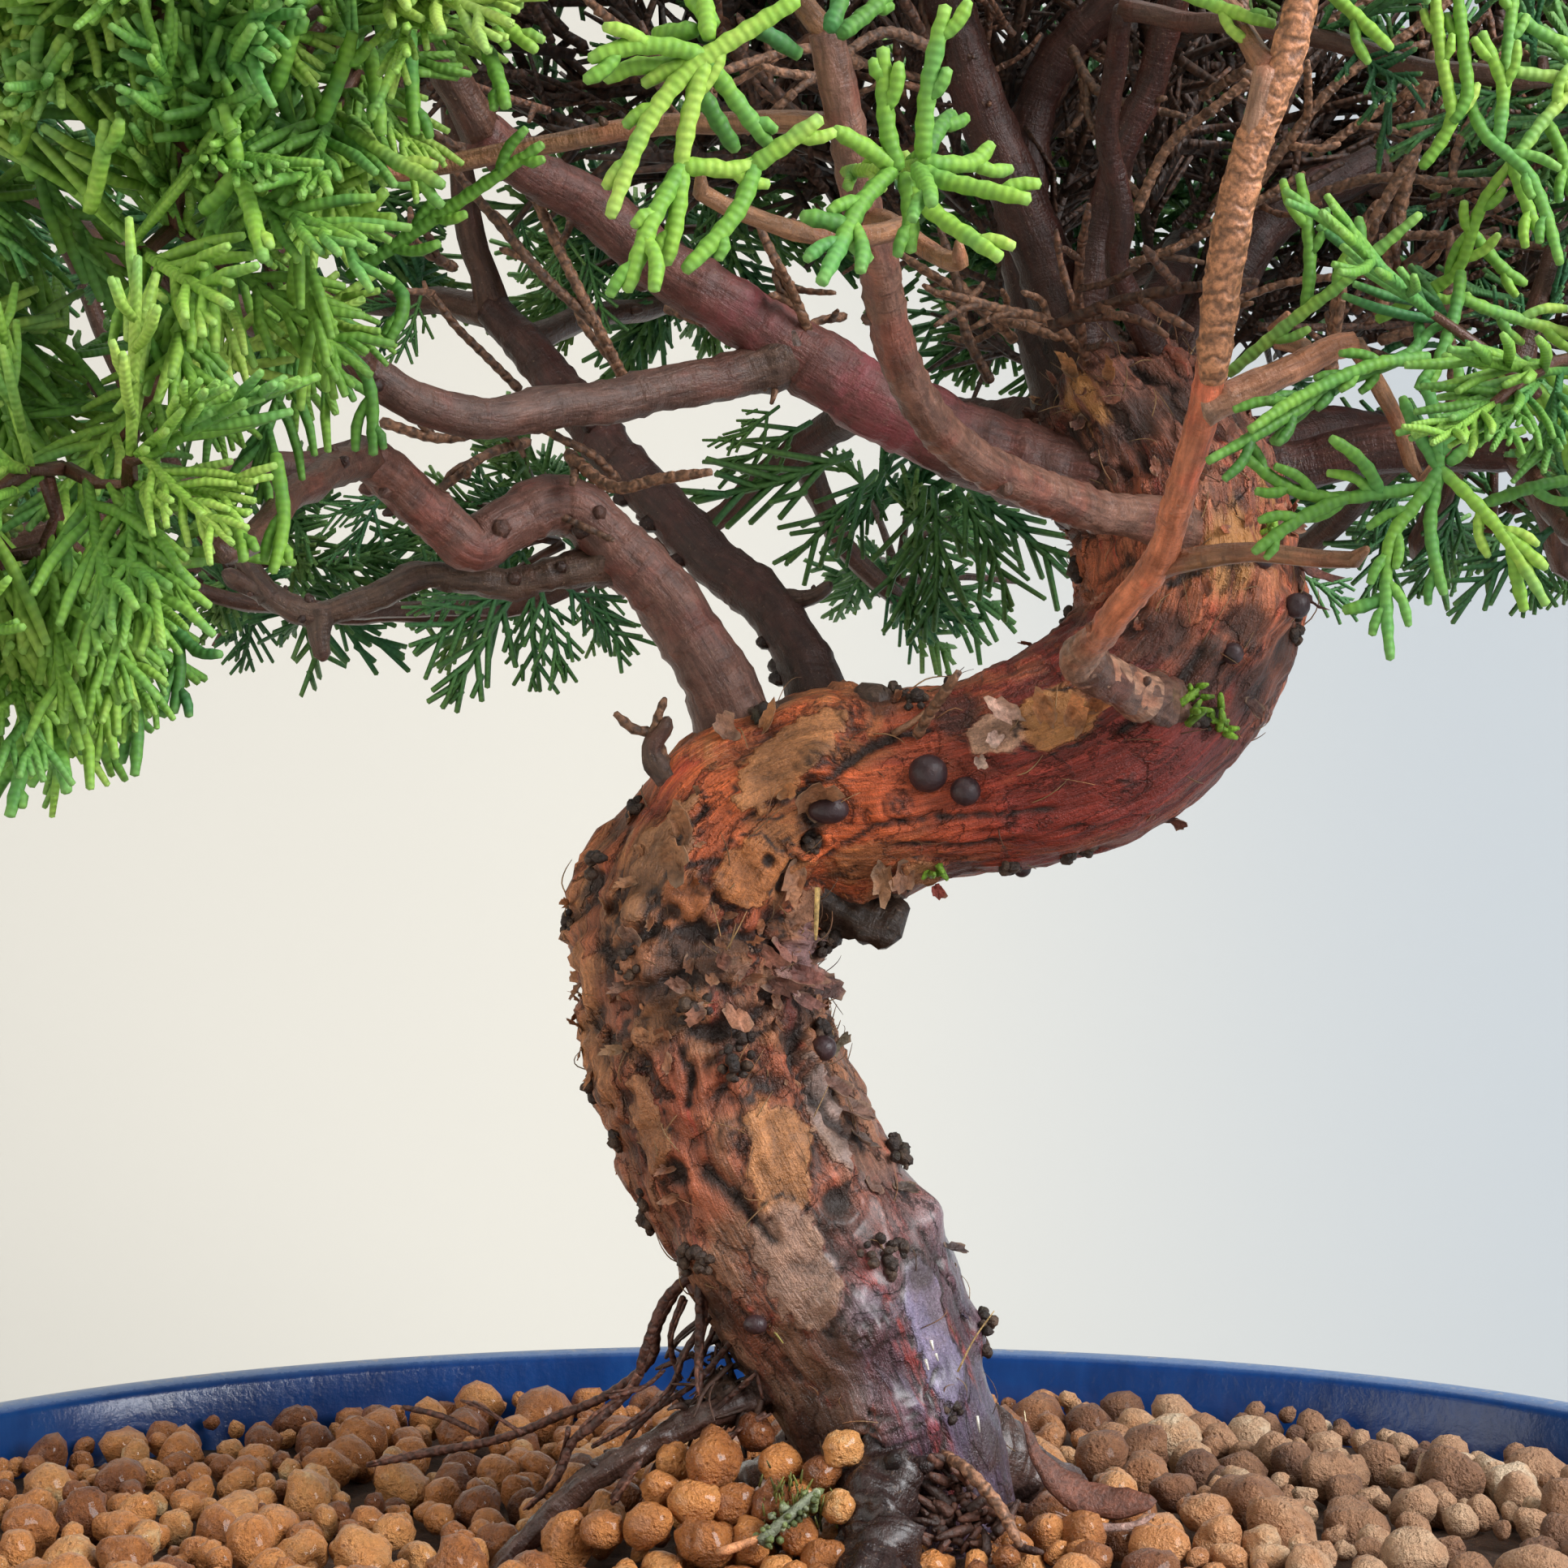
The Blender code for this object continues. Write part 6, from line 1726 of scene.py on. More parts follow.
def pot_mesh(material):
    """The glazed pot with its four feet and two drainage holes."""
    mesh = turned_mesh(POT_PROFILE, POT_TURNS, material)
    pot = bpy.data.objects.new("pot_work", mesh)
    bpy.context.scene.collection.objects.link(pot)
    grid = bmesh.new()
    grid.from_mesh(mesh)
    bmesh.ops.recalc_face_normals(grid, faces=grid.faces)
    grid.to_mesh(mesh)
    grid.free()
    for sign_x in (-1, 1):
        for sign_y in (-1, 1):
            foot = rounded_block((FOOT_SIZE[0] * MM, FOOT_SIZE[1] * MM, 8 * MM), 1.6 * MM)
            place = Vector((sign_x * FOOT_CENTRE[0], sign_y * FOOT_CENTRE[1], 4.0)) * MM
            foot.transform(Matrix.Translation(place) @ Matrix.Rotation(-sign_x * sign_y * FOOT_TURN, 4, "Z"))
            boolean_with(pot, foot, "UNION")
    for sign in (-1, 1):
        hole = bmesh.new()
        bmesh.ops.create_cone(hole, cap_ends=True, segments=48, radius1=DRAIN_RADIUS * MM,
                              radius2=DRAIN_RADIUS * MM, depth=36 * MM)
        hole.transform(Matrix.Translation((sign * DRAIN_X * MM, 0, 12 * MM)))
        boolean_with(pot, hole, "DIFFERENCE")
    mesh = pot.data
    bpy.data.objects.remove(pot)
    mesh.shade_smooth()
    mesh.set_sharp_from_angle(angle=math.radians(40))
    return mesh


def boolean_with(obj, grid, operation):
    """Joins or cuts obj with the shape in grid."""
    mesh = bpy.data.meshes.new("operand")
    grid.to_mesh(mesh)
    grid.free()
    other = bpy.data.objects.new("operand", mesh)
    bpy.context.scene.collection.objects.link(other)
    modifier = obj.modifiers.new("combine", "BOOLEAN")
    modifier.operation = operation
    modifier.object = other
    made = evaluated_mesh(obj)
    obj.modifiers.clear()
    obj.data = made
    bpy.data.objects.remove(other)


def paint_glaze(graph):
    """Deep cobalt glaze, clouded and streaked, and worn thin and pale along the lip."""
    place = graph.place()
    height, = graph.axes(place, "Z")
    cloud = graph.ripple(place, 0.07, 4.0, 0.6)
    speck = graph.ripple(place, 1.1, 3.0, 0.65)
    streak = graph.ripple(graph.scaled(place, (1.0, 1.0, 0.12)), 0.5, 3.0, 0.6)
    colour = graph.stops(cloud * 0.6 + streak * 0.4, (
        (0.25, (0.003, 0.022, 0.098)), (0.5, (0.006, 0.044, 0.185)), (0.75, (0.012, 0.072, 0.255))))
    worn = height.ramp(55.3, 56.2) * (0.5 + speck * 0.7)
    colour = graph.blend(worn, colour, (0.11, 0.19, 0.34))
    colour = graph.blend(height.ramp(55.9, 56.2) * speck.ramp(0.52, 0.66, 0.0, 0.8), colour, (0.30, 0.27, 0.25))
    bare = height.ramp(5.5, 6.4, 1.0, 0.0)
    colour = graph.blend(bare, colour, (0.22, 0.12, 0.075))
    rough = 0.2 + worn * 0.2 + bare * 0.5 + (speck - 0.5) * 0.14
    return {"Base Color": colour, "Roughness": rough, "Normal": graph.bump(speck * 0.4 + cloud, 0.25, 0.5)}


def paint_screen(graph):
    """Dull dark plastic, dusty with clay."""
    place = graph.place()
    dust = graph.ripple(place, 0.5, 4.0, 0.6)
    colour = graph.blend(dust.ramp(0.45, 0.7, 0.0, 0.7), (0.03, 0.03, 0.032), (0.25, 0.13, 0.06))
    return {"Base Color": colour, "Roughness": 0.5 + dust * 0.3, "Normal": graph.bump(dust, 0.2, 0.6)}


def inner_wall(height):
    """Half the length of the pot's inside at a height."""
    return np.interp(height, [z for _, z in POT_PROFILE[3:13]], [r for r, _ in POT_PROFILE[3:13]])


def soil_height(x, y):
    """The soil's middle level: nearly flat, and drawn up round the foot of the trunk."""
    away = np.hypot(x - SOIL_MIDDLE[0], y - SOIL_MIDDLE[1])
    return SOIL_EDGE_Z + SOIL_MOUND * np.exp(-((away / SOIL_MOUND_SPREAD) ** 2))


def soil_bed_mesh():
    """Fine dark soil that fills the pot under the granules."""
    rings, sides = 34, 100
    turn = np.arange(sides) * math.tau / sides
    share = np.linspace(0.015, 1, rings)
    wall = inner_wall(SOIL_EDGE_Z - 1) - 0.6
    x = np.outer(share * wall, np.cos(turn))
    y = np.outer(share * wall * POT_SQUEEZE, np.sin(turn))
    spots = np.column_stack([x.ravel(), y.ravel(), np.zeros(x.size)])
    z = soil_height(x, y) - 2.2 + 0.9 * fbm(spots / 3.5, 3, 90).reshape(x.shape)
    top = np.stack([x, y, z], -1)
    below = []
    for height in (42.0, 36.0, 24.0, 15.5, 12.8):
        radius = inner_wall(height) - 0.6
        ring = np.column_stack([radius * np.cos(turn), radius * POT_SQUEEZE * np.sin(turn), np.full(sides, height)])
        below.append(ring)
    below.append(below[-1] * (0.4, 0.4, 1.0))
    points = np.vstack([top.reshape(-1, 3), *below])
    rows = rings + len(below)
    ends = np.array([(0, 0, float(z[0].mean())), (0, 0, 12.8)])
    shape = Shape()
    shape.add(np.vstack([points, ends]), [ring_quads(rows, sides)[:, ::-1], end_caps(rows, sides)[:, ::-1]])
    return shape.mesh("soil_bed")


GRANULE_SHAPES = 8


def granule_shapes(count, divisions):
    """Baked-clay granules: rounded, lumpy, some long and some doubled."""
    meshes = []
    for k in range(count):
        draw = random.Random(300 + k)
        shape = Shape()
        radii = (draw.uniform(0.92, 1.15), draw.uniform(0.85, 1.05), draw.uniform(0.8, 1.0))
        points, faces = ball(divisions)
        reach = np.full(len(points), 0.72)
        for _ in range(2 + k % 4):
            aim = unit([draw.gauss(0, 1) for _ in range(3)])
            off, size = draw.uniform(0.25, 0.5), draw.uniform(0.45, 0.62)
            facing = off * (points @ aim)
            under = size ** 2 - off ** 2 + facing ** 2
            reach = np.maximum(reach, np.where(under > 0, facing + np.sqrt(np.maximum(under, 0)), 0))
        swell = (1 + 0.13 * fbm(points * 1.1 + k * 3.7, 2, k) + 0.11 * ripple(points * 2.9 + k, k + 50)
                 + 0.05 * ripple(points * 6.1 + k, k + 70))
        shape.add(points * radii * (reach * swell * 1.12)[:, None], [faces])
        meshes.append(shape.mesh(f"granule_{divisions}_{k}"))
    return meshes


# Granules heaped against the roots: picture place, y and radius.
HEAP = (
    (880, 1802, -9, 3.2), (932, 1768, -6, 2.2), (962, 1803, -9, 2.5), (1034, 1785, -11, 2.1), (1012, 1815, -11, 2.2),
    (855, 1850, -12, 2.6), (905, 1852, -12, 2.5), (950, 1852, -12, 2.4), (990, 1845, -11, 2.2), (870, 1902, -15, 3.0),
    (925, 1898, -15, 2.6), (985, 1893, -15, 2.4), (1035, 1855, -14, 2.0), (1012, 1925, -17, 2.6), (828, 1800, -6, 2.0),
    (812, 1838, -9, 2.2), (795, 1880, -13, 2.5), (745, 1885, -12, 2.4), (698, 1900, -10, 3.0), (960, 1945, -18, 2.6),
    (910, 1955, -18, 2.4), (1150, 1935, -16, 2.2), (1290, 1890, -8, 2.5), (1335, 1895, -9, 2.6), (1265, 1935, -12, 2.2),
)


def lay_granules(draw, blockers):
    """Places of granules, large ones first, so that the smaller ones fill the gaps between them."""
    starts, ends, radii = blockers
    laid = np.array([(*from_picture(across, down, y), radius) for across, down, y, radius in HEAP])
    inner = inner_wall(SOIL_EDGE_Z)
    batches = ((90, 3.5, 4.2, 0.2), (420, 2.5, 3.3, 0.3), (1000, 1.7, 2.4, 0.3), (1900, 1.0, 1.6, 0.3))
    for tries, low, high, rest in batches:
        for _ in range(tries):
            radius = draw.uniform(low, high)
            turn, share = draw.uniform(0, math.tau), math.sqrt(draw.random())
            reach = inner - radius * 0.95 - 0.5
            x = share * reach * math.cos(turn)
            y = share * (inner * POT_SQUEEZE - radius - 0.5) * math.sin(turn)
            coarse = 0.5 + 0.5 * math.tanh((x - 25) / 25)
            if radius > 3.5 and draw.random() > 0.25 + 0.75 * coarse:
                continue
            z = float(soil_height(x, y)) + radius * rest - 0.4 + draw.uniform(-0.5, 0.7)
            if low < 1.5:
                z += draw.uniform(-0.6, 0.9)
            point = np.array((x, y, z))
            if point_gap(point, starts, ends, radii) < radius * 0.45:
                continue
            if len(laid):
                gap = np.linalg.norm(laid[:, :3] - point, axis=1)
                if (gap < (laid[:, 3] + radius) * 0.8).any():
                    continue
            laid = np.vstack([laid, (x, y, z, radius)])
    return laid


def point_gap(point, starts, ends, radii):
    """The least distance from a point to the surface of any of the tubes."""
    span = ends - starts
    share = np.clip(((point - starts) * span).sum(1) / (span * span).sum(1), 0, 1)
    return float((np.linalg.norm(point - starts - share[:, None] * span, axis=1) - radii).min())


def paint_granules(graph):
    """Baked clay: orange-brown on the left, paler and greyer on the right, pitted with painted shade in the pits, a
    little wet, and painted lighter round the trunk's foot.
    """
    place = graph.place()
    x, y = graph.axes(place, "XY")
    tone = graph.read("tone")
    cloud = graph.ripple(place, 0.35, 4.0, 0.6)
    grit = graph.ripple(place, 1.7, 4.0, 0.65)
    fine = graph.ripple(place, 5.0, 2.0, 0.6)
    pits = graph.cells(place, 1.3)
    level = tone * 0.9 + (cloud - 0.5) * 0.9 + 0.02
    warm = graph.stops(level, ((0.0, (0.16, 0.048, 0.014)), (0.3, (0.37, 0.13, 0.034)), (0.6, (0.60, 0.235, 0.064)),
                               (0.9, (0.64, 0.30, 0.10)), (1.0, (0.72, 0.48, 0.24))))
    grey = graph.stops(level, ((0.0, (0.14, 0.064, 0.034)), (0.35, (0.31, 0.155, 0.078)), (0.65, (0.46, 0.26, 0.145)),
                               (0.9, (0.55, 0.36, 0.22)), (1.0, (0.66, 0.50, 0.34))))
    right = (x + (cloud - 0.5) * 30.0).ramp(8.0, 55.0)
    colour = graph.blend(right, warm, grey)
    colour = graph.brighten(colour, grit.ramp(0.25, 0.75, 0.78, 1.18))
    # Pits painted dark, as shade in them.
    hollow = pits.ramp(0.05, 0.4, 0.35, 0.0) * grit.ramp(0.4, 0.6)
    colour = graph.blend(hollow, colour, (0.09, 0.035, 0.016))
    away = graph.node("ShaderNodeMath", {0: (x - 15.0) ** 2.0 + (y + 6.0) ** 2.0}, {"operation": "SQRT"})
    # This mask marks the wet clay near the trunk's foot; it also paints the clay lighter there, as painted light
    # against the crown's shadow.
    damp_and_lit = (away + (cloud - 0.5) * 14.0).ramp(14.0, 40.0, 1.0, 0.0)
    colour = graph.blend(damp_and_lit * 0.5, colour, graph.brighten(warm, 1.35))
    moist = graph.axes(graph.blend(right, (0.5, 0.5, 0.5), (0.0, 0.0, 0.0)), "X")[0] + damp_and_lit * 0.3
    rough = 0.64 - moist * 0.42 + (grit - 0.5) * 0.5
    height = grit * 1.1 - hollow * 1.4 + cloud * 0.6 + fine * 0.35
    return {"Base Color": colour, "Roughness": rough, "Coat Weight": moist * 0.5,
            "Normal": graph.bump(height, 0.75, 1.0)}


def paint_bed(graph):
    """Fine dark soil with clay dust."""
    place = graph.place()
    grit = graph.ripple(place, 1.3, 5.0, 0.7)
    cloud = graph.ripple(place, 0.15, 3.0)
    colour = graph.stops(grit * 0.7 + cloud * 0.3, ((0.3, (0.02, 0.011, 0.007)), (0.55, (0.075, 0.034, 0.016)),
                                                     (0.8, (0.22, 0.10, 0.04))))
    return {"Base Color": colour, "Roughness": 0.85 + (grit - 0.5) * 0.2, "Normal": graph.bump(grit, 0.8, 1.0)}


# ---------------------------------------------------------------- what grows and lies on the bark

# Black crusty clusters: picture place, spread and number of lumps.
CRUSTS = (
    (906, 1312, 2.2, 16), (917, 1281, 0.9, 4), (1080, 1556, 2.6, 16), (1092, 1424, 2.6, 18), (1206, 1632, 2.2, 12),
    (866, 1548, 2.6, 18), (745, 1068, 1.7, 9), (712, 1142, 1.7, 9), (722, 1346, 1.6, 8), (782, 997, 1.2, 6),
    (1090, 1132, 3.4, 34), (1062, 1160, 2.6, 18), (1212, 1660, 1.3, 6), (855, 1236, 2.0, 10), (785, 1182, 1.8, 8),
    (1003, 1040, 1.2, 7), (765, 1286, 1.0, 5), (1592, 770, 1.8, 9), (1480, 880, 1.8, 9), (1380, 745, 1.5, 7),
    (1010, 1275, 1.4, 8), (795, 1480, 1.0, 5), (1130, 875, 1.3, 6), (1110, 1540, 1.2, 5), (1250, 1080, 0.9, 4),
    (940, 880, 2.0, 10), (1100, 860, 2.0, 9), (1320, 700, 1.6, 8), (1440, 860, 1.8, 9), (1170, 1740, 1.2, 5),
)
# Smooth dark buds: picture place, radius across and up.
BUDS = (
    (1142, 955, 1.8, 1.75), (1187, 975, 1.4, 1.35), (1022, 996, 1.9, 1.3), (1003, 1292, 1.2, 1.2),
    (1570, 745, 1.2, 1.2), (1515, 805, 1.0, 1.0), (1548, 690, 0.9, 0.9), (938, 1622, 1.1, 0.9),
    (1090, 1125, 1.3, 1.2),
)
# Curled papers and torn flakes: picture place, length, heading in the picture (degrees), lift, curl and colour.
FLAKE_SHAPES = 6
FLAKES = (
    (895, 1230, 5.2, -60, 0.55, 0.6, (0.42, 0.22, 0.14)), (905, 1205, 3.4, 80, 0.8, 0.5, (0.55, 0.38, 0.30)),
    (850, 1215, 4.0, 150, 0.5, 0.5, (0.20, 0.11, 0.075)), (1085, 1058, 5.6, -80, 0.35, 0.35, (0.34, 0.19, 0.10)),
    (1120, 1062, 4.2, -110, 0.5, 0.4, (0.27, 0.14, 0.08)), (1155, 1082, 3.0, -85, 0.9, 0.2, (0.26, 0.06, 0.045)),
    (985, 1205, 4.4, -10, 0.35, 0.5, (0.20, 0.105, 0.09)), (1005, 1222, 4.6, 10, 0.5, 0.4, (0.11, 0.06, 0.052)),
    (975, 1228, 4.0, -25, 0.4, 0.5, (0.24, 0.13, 0.115)), (960, 1150, 4.2, -70, 0.3, 0.4, (0.30, 0.15, 0.12)),
    (1015, 1320, 5.0, -80, 0.45, 0.4, (0.17, 0.10, 0.08)), (1030, 1350, 5.6, -60, 0.5, 0.4, (0.20, 0.13, 0.105)),
    (1030, 1300, 3.4, 50, 0.7, 0.4, (0.10, 0.09, 0.06)), (1045, 1390, 4.0, -60, 0.4, 0.3, (0.14, 0.11, 0.10)),
    (910, 920, 4.0, 120, 0.4, 0.4, (0.25, 0.14, 0.09)), (870, 905, 4.6, 95, 0.4, 0.4, (0.17, 0.09, 0.06)),
    (940, 905, 4.4, 70, 0.2, 0.3, (0.42, 0.21, 0.09)), (1590, 690, 6.0, -40, 0.75, 0.5, (0.16, 0.07, 0.055)),
    (1600, 720, 4.4, -85, 0.7, 0.5, (0.12, 0.055, 0.045)), (1570, 640, 4.0, -20, 0.6, 0.4, (0.22, 0.11, 0.07)),
    (1245, 905, 3.6, 200, 0.5, 0.2, (0.56, 0.42, 0.36)), (1215, 925, 3.0, 250, 0.5, 0.2, (0.52, 0.40, 0.34)),
    (1290, 640, 3.8, 210, 0.6, 0.4, (0.30, 0.14, 0.07)), (1330, 470, 4.4, 100, 0.7, 0.5, (0.40, 0.22, 0.10)),
    (1365, 480, 4.0, 60, 0.8, 0.5, (0.36, 0.18, 0.08)), (1300, 500, 3.4, 170, 0.6, 0.4, (0.42, 0.25, 0.13)),
    (830, 1440, 3.0, 200, 0.6, 0.5, (0.28, 0.14, 0.08)), (775, 1290, 3.0, 190, 0.5, 0.5, (0.30, 0.19, 0.10)),
    (1100, 1460, 3.4, -40, 0.5, 0.4, (0.10, 0.08, 0.07)), (1160, 1535, 3.2, -60, 0.5, 0.4, (0.08, 0.06, 0.06)),
    (800, 1165, 4.0, 130, 0.5, 0.6, (0.16, 0.09, 0.06)), (790, 1210, 3.6, 210, 0.4, 0.5, (0.18, 0.10, 0.065)),
    (1262, 893, 5.4, 150, 0.45, 0.3, (0.60, 0.42, 0.34)), (1325, 905, 6.2, 75, 0.5, 0.5, (0.56, 0.27, 0.12)),
    (1298, 900, 5.6, 110, 0.6, 0.3, (0.50, 0.24, 0.10)), (1340, 880, 5.0, 30, 0.6, 0.5, (0.50, 0.22, 0.09)),
    (1000, 1015, 7.5, 85, 0.4, 0.4, (0.36, 0.19, 0.10)), (985, 1060, 6.0, -100, 0.4, 0.5, (0.38, 0.20, 0.11)),
    (830, 1085, 6.4, 60, 0.35, 0.4, (0.34, 0.19, 0.10)), (850, 1040, 5.5, 100, 0.35, 0.3, (0.38, 0.20, 0.10)),
    (930, 1165, 5.2, -40, 0.5, 0.5, (0.26, 0.115, 0.08)), (955, 1195, 5.6, -15, 0.5, 0.3, (0.22, 0.10, 0.085)),
    (935, 1215, 5.0, -5, 0.6, 0.5, (0.17, 0.08, 0.06)), (900, 1190, 4.6, 160, 0.6, 0.5, (0.16, 0.075, 0.05)),
    (865, 1235, 4.4, -130, 0.6, 0.5, (0.24, 0.115, 0.07)), (1000, 1178, 5.0, -60, 0.4, 0.2, (0.30, 0.17, 0.145)),
    (850, 880, 4.6, 85, 0.8, 0.5, (0.22, 0.10, 0.06)), (905, 885, 4.6, 100, 0.8, 0.4, (0.26, 0.12, 0.075)),
    (1540, 860, 3.2, -70, 0.6, 0.4, (0.10, 0.05, 0.04)), (1440, 1010, 3.0, -45, 0.4, 0.4, (0.12, 0.045, 0.03)),
)


# Small flakes and hairs: how many, and their share by the distance along the trunk.
SMALL_FLAKES = 210
FLAKES_ALONG = ((0, 0), (45, 0.1), (58, 0.6), (64, 4), (76, 4), (84, 0.3), (96, 0.15), (128, 0.4), (140, 3), (163, 3.5))
HAIRS = 400
HAIRS_ALONG = ((0, 0), (20, 1.2), (45, 1.2), (60, 3), (76, 3), (84, 0.6), (96, 1), (130, 1), (145, 3), (163, 3))


def crust_mesh(skin):
    """Clusters of small rough lumps where buds died, those on the back drawn by chance."""
    shape = Shape()
    draw = random.Random(17)
    jobs = [(skin.spot(across, down), spread, count) for across, down, spread, count in CRUSTS]
    rings = len(skin.along)
    for _ in range(15):
        ring = draw.randrange(int(rings * 0.14), rings - 12)
        side = int(TRUNK_SIDES * draw.uniform(0.25, 0.75))
        jobs.append((ring * TRUNK_SIDES + side, draw.uniform(1.0, 2.4), draw.randrange(5, 14)))
    for k, spread, count in jobs:
        centre, outward = skin.surface[k], skin.spokes[k]
        ahead = skin.ahead[k // TRUNK_SIDES]
        beside = np.cross(ahead, outward)
        for j in range(count):
            turn, reach = draw.uniform(0, math.tau), spread * math.sqrt(draw.random())
            size = draw.uniform(0.32, 0.72) * (1.25 - 0.5 * reach / spread)
            stand = 0.5 * (1 - reach / spread) * spread * draw.uniform(0.1, 0.9)
            place = centre + (ahead * math.cos(turn) + beside * math.sin(turn)) * reach * 0.8 + outward * stand
            radii = (size, size * draw.uniform(0.8, 1.2), size * draw.uniform(0.8, 1.2))
            lump(shape, place, radii, 2, 0.3, k % 97 + j, 1.4, tone=draw.random())
    return shape.mesh("crusty_knobs")


def paint_crust(graph):
    """Nearly black, brown on its high spots, greenish in places."""
    place = graph.place()
    grit = graph.ripple(place, 1.6, 4.0, 0.65)
    tone = graph.read("tone")
    colour = graph.stops(grit * 0.7 + tone * 0.3, ((0.25, (0.012, 0.008, 0.007)), (0.5, (0.045, 0.026, 0.018)),
                                                    (0.75, (0.13, 0.075, 0.045))))
    colour = graph.blend(graph.ripple(place, 0.3, 2.0).ramp(0.62, 0.75, 0.0, 0.35), colour, (0.09, 0.10, 0.045))
    return {"Base Color": colour, "Roughness": 0.55 + (grit - 0.5) * 0.5, "Normal": graph.bump(grit, 0.5, 1.0)}


def buds_mesh(skin):
    """Smooth dark round buds that sit in shallow collars."""
    shape = Shape()
    draw = random.Random(23)
    jobs = [(skin.spot(across, down), wide, tall) for across, down, wide, tall in BUDS]
    for _ in range(10):
        ring = draw.randrange(int(len(skin.along) * 0.3), len(skin.along) - 14)
        side = int(TRUNK_SIDES * draw.uniform(0.28, 0.72))
        size = draw.uniform(0.6, 1.2)
        jobs.append((ring * TRUNK_SIDES + side, size, size * draw.uniform(0.8, 1.0)))
    for k, wide, tall in jobs:
        outward = skin.spokes[k]
        centre = skin.surface[k] + outward * min(wide, tall) * 0.45
        lump(shape, centre, (wide, min(wide, tall), tall), 3, 0.035, k % 61, 1.2, tone=draw.random())
    return shape.mesh("round_buds")


def paint_buds(graph):
    """Glossy skin, purple-black with a brown flush."""
    place = graph.place()
    cloud = graph.ripple(place, 0.5, 4.0, 0.6)
    grit = graph.ripple(place, 3.0, 3.0, 0.6)
    colour = graph.stops(cloud * 0.7 + grit * 0.3, ((0.3, (0.022, 0.011, 0.014)), (0.55, (0.05, 0.024, 0.026)),
                                                     (0.8, (0.13, 0.055, 0.04))))
    return {"Base Color": colour, "Roughness": 0.3 + grit * 0.25, "Normal": graph.bump(grit, 0.12, 0.7)}


def flake_mesh(name, seed, curl):
    """A thin torn scale of bark: it runs from its root along +Z, faces +Y and curls up at its end and edges."""
    draw = random.Random(seed)
    sides, rings, thick = 18, 2, 0.035
    turn = np.arange(sides) * math.tau / sides
    corners = sorted(draw.uniform(0, math.tau) for _ in range(7))
    reach = [draw.uniform(0.5, 1.2) for _ in corners]
    edge = np.interp(turn, corners, reach, period=math.tau) + np.array([draw.uniform(-0.2, 0.2) for _ in range(sides)])
    wide = draw.uniform(0.2, 0.4)
    x, z = [np.zeros(1)], [np.full(1, 0.5)]
    for ring in range(1, rings + 1):
        x.append(wide * np.cos(turn) * edge * ring / rings)
        z.append(0.5 + 0.5 * np.sin(turn) * edge * ring / rings)
    x, z = np.concatenate(x), np.concatenate(z)
    bend = curl * z ** 2 + curl * (0.8 * x / wide) ** 2 * 0.35
    bend += 0.13 * ripple(np.column_stack([x, z, x]) * 4.3 + seed, seed)
    half = np.full(len(x), thick / 2)
    top = np.column_stack([x, bend + half, z])
    under = np.column_stack([x, bend - half, z])
    here = np.arange(sides)
    after = (here + 1) % sides
    sheets = [np.column_stack([np.zeros(sides, int), 1 + here, 1 + after]),
              np.column_stack([1 + here, 1 + sides + here, 1 + sides + after, 1 + after])]
    flipped = [rows[:, ::-1] + len(x) for rows in sheets]
    last = 1 + sides
    rim = np.column_stack([last + here, len(x) + last + here, len(x) + last + after, last + after])
    shape = Shape()
    shape.add(np.vstack([top, under]), [*sheets, *flipped, rim], tip=np.concatenate([z, z]),
              rim=np.tile(np.hypot(x / wide, 2 * z - 1), 2))
    mesh = shape.mesh(name)
    grid = bmesh.new()
    grid.from_mesh(mesh)
    bmesh.ops.recalc_face_normals(grid, faces=grid.faces)
    grid.to_mesh(mesh)
    grid.free()
    mesh.set_sharp_from_angle(angle=math.radians(45))
    return mesh


def flake_rows(skin):
    """Listed curled papers first, then small torn flakes all over, more where the bark is rough."""
    draw = random.Random(31)
    rows = []
    for across, down, long, heading, lift, curl, colour in FLAKES:
        k = skin.spot(across, down)
        angle = math.radians(heading)
        wanted = np.array((math.cos(angle), 0.0, math.sin(angle)))
        outward = skin.spokes[k]
        flat = unit(wanted - outward * (wanted @ outward))
        aim, tint = unit(flat + outward * lift * 0.4), np.array(colour) * (0.85, 0.72, 0.66)
        rows.append((skin.surface[k] - outward * 0.12, aim, outward, long * 0.72, int(curl * 10) % FLAKE_SHAPES, tint))
    rings = len(skin.along)
    weights = np.interp(skin.along, *zip(*FLAKES_ALONG))
    for ring in draw.choices(range(rings), weights=weights, k=SMALL_FLAKES):
        k = ring * TRUNK_SIDES + draw.randrange(TRUNK_SIDES)
        outward, ahead = skin.spokes[k], skin.ahead[ring]
        beside = np.cross(ahead, outward)
        turn = draw.gauss(0, 0.7) + (math.pi if draw.random() < 0.5 else 0)
        aim = ahead * math.cos(turn) + beside * math.sin(turn) + outward * draw.uniform(0.0, 0.25)
        long = draw.uniform(0.9, 2.4)
        tint = skin.values["outer"][k] * draw.uniform(0.4, 1.05)
        rows.append((skin.surface[k] - outward * 0.1, aim, outward, long, draw.randrange(FLAKE_SHAPES), tint))
    place, aim, face, size, pick, tint = zip(*rows)
    tint = np.array(tint)
    return {"place": np.array(place), "aim": np.array(aim), "face": np.array(face), "size": np.array(size, float),
            "pick": np.array(pick), "red": tint[:, 0], "green": tint[:, 1], "blue": tint[:, 2]}


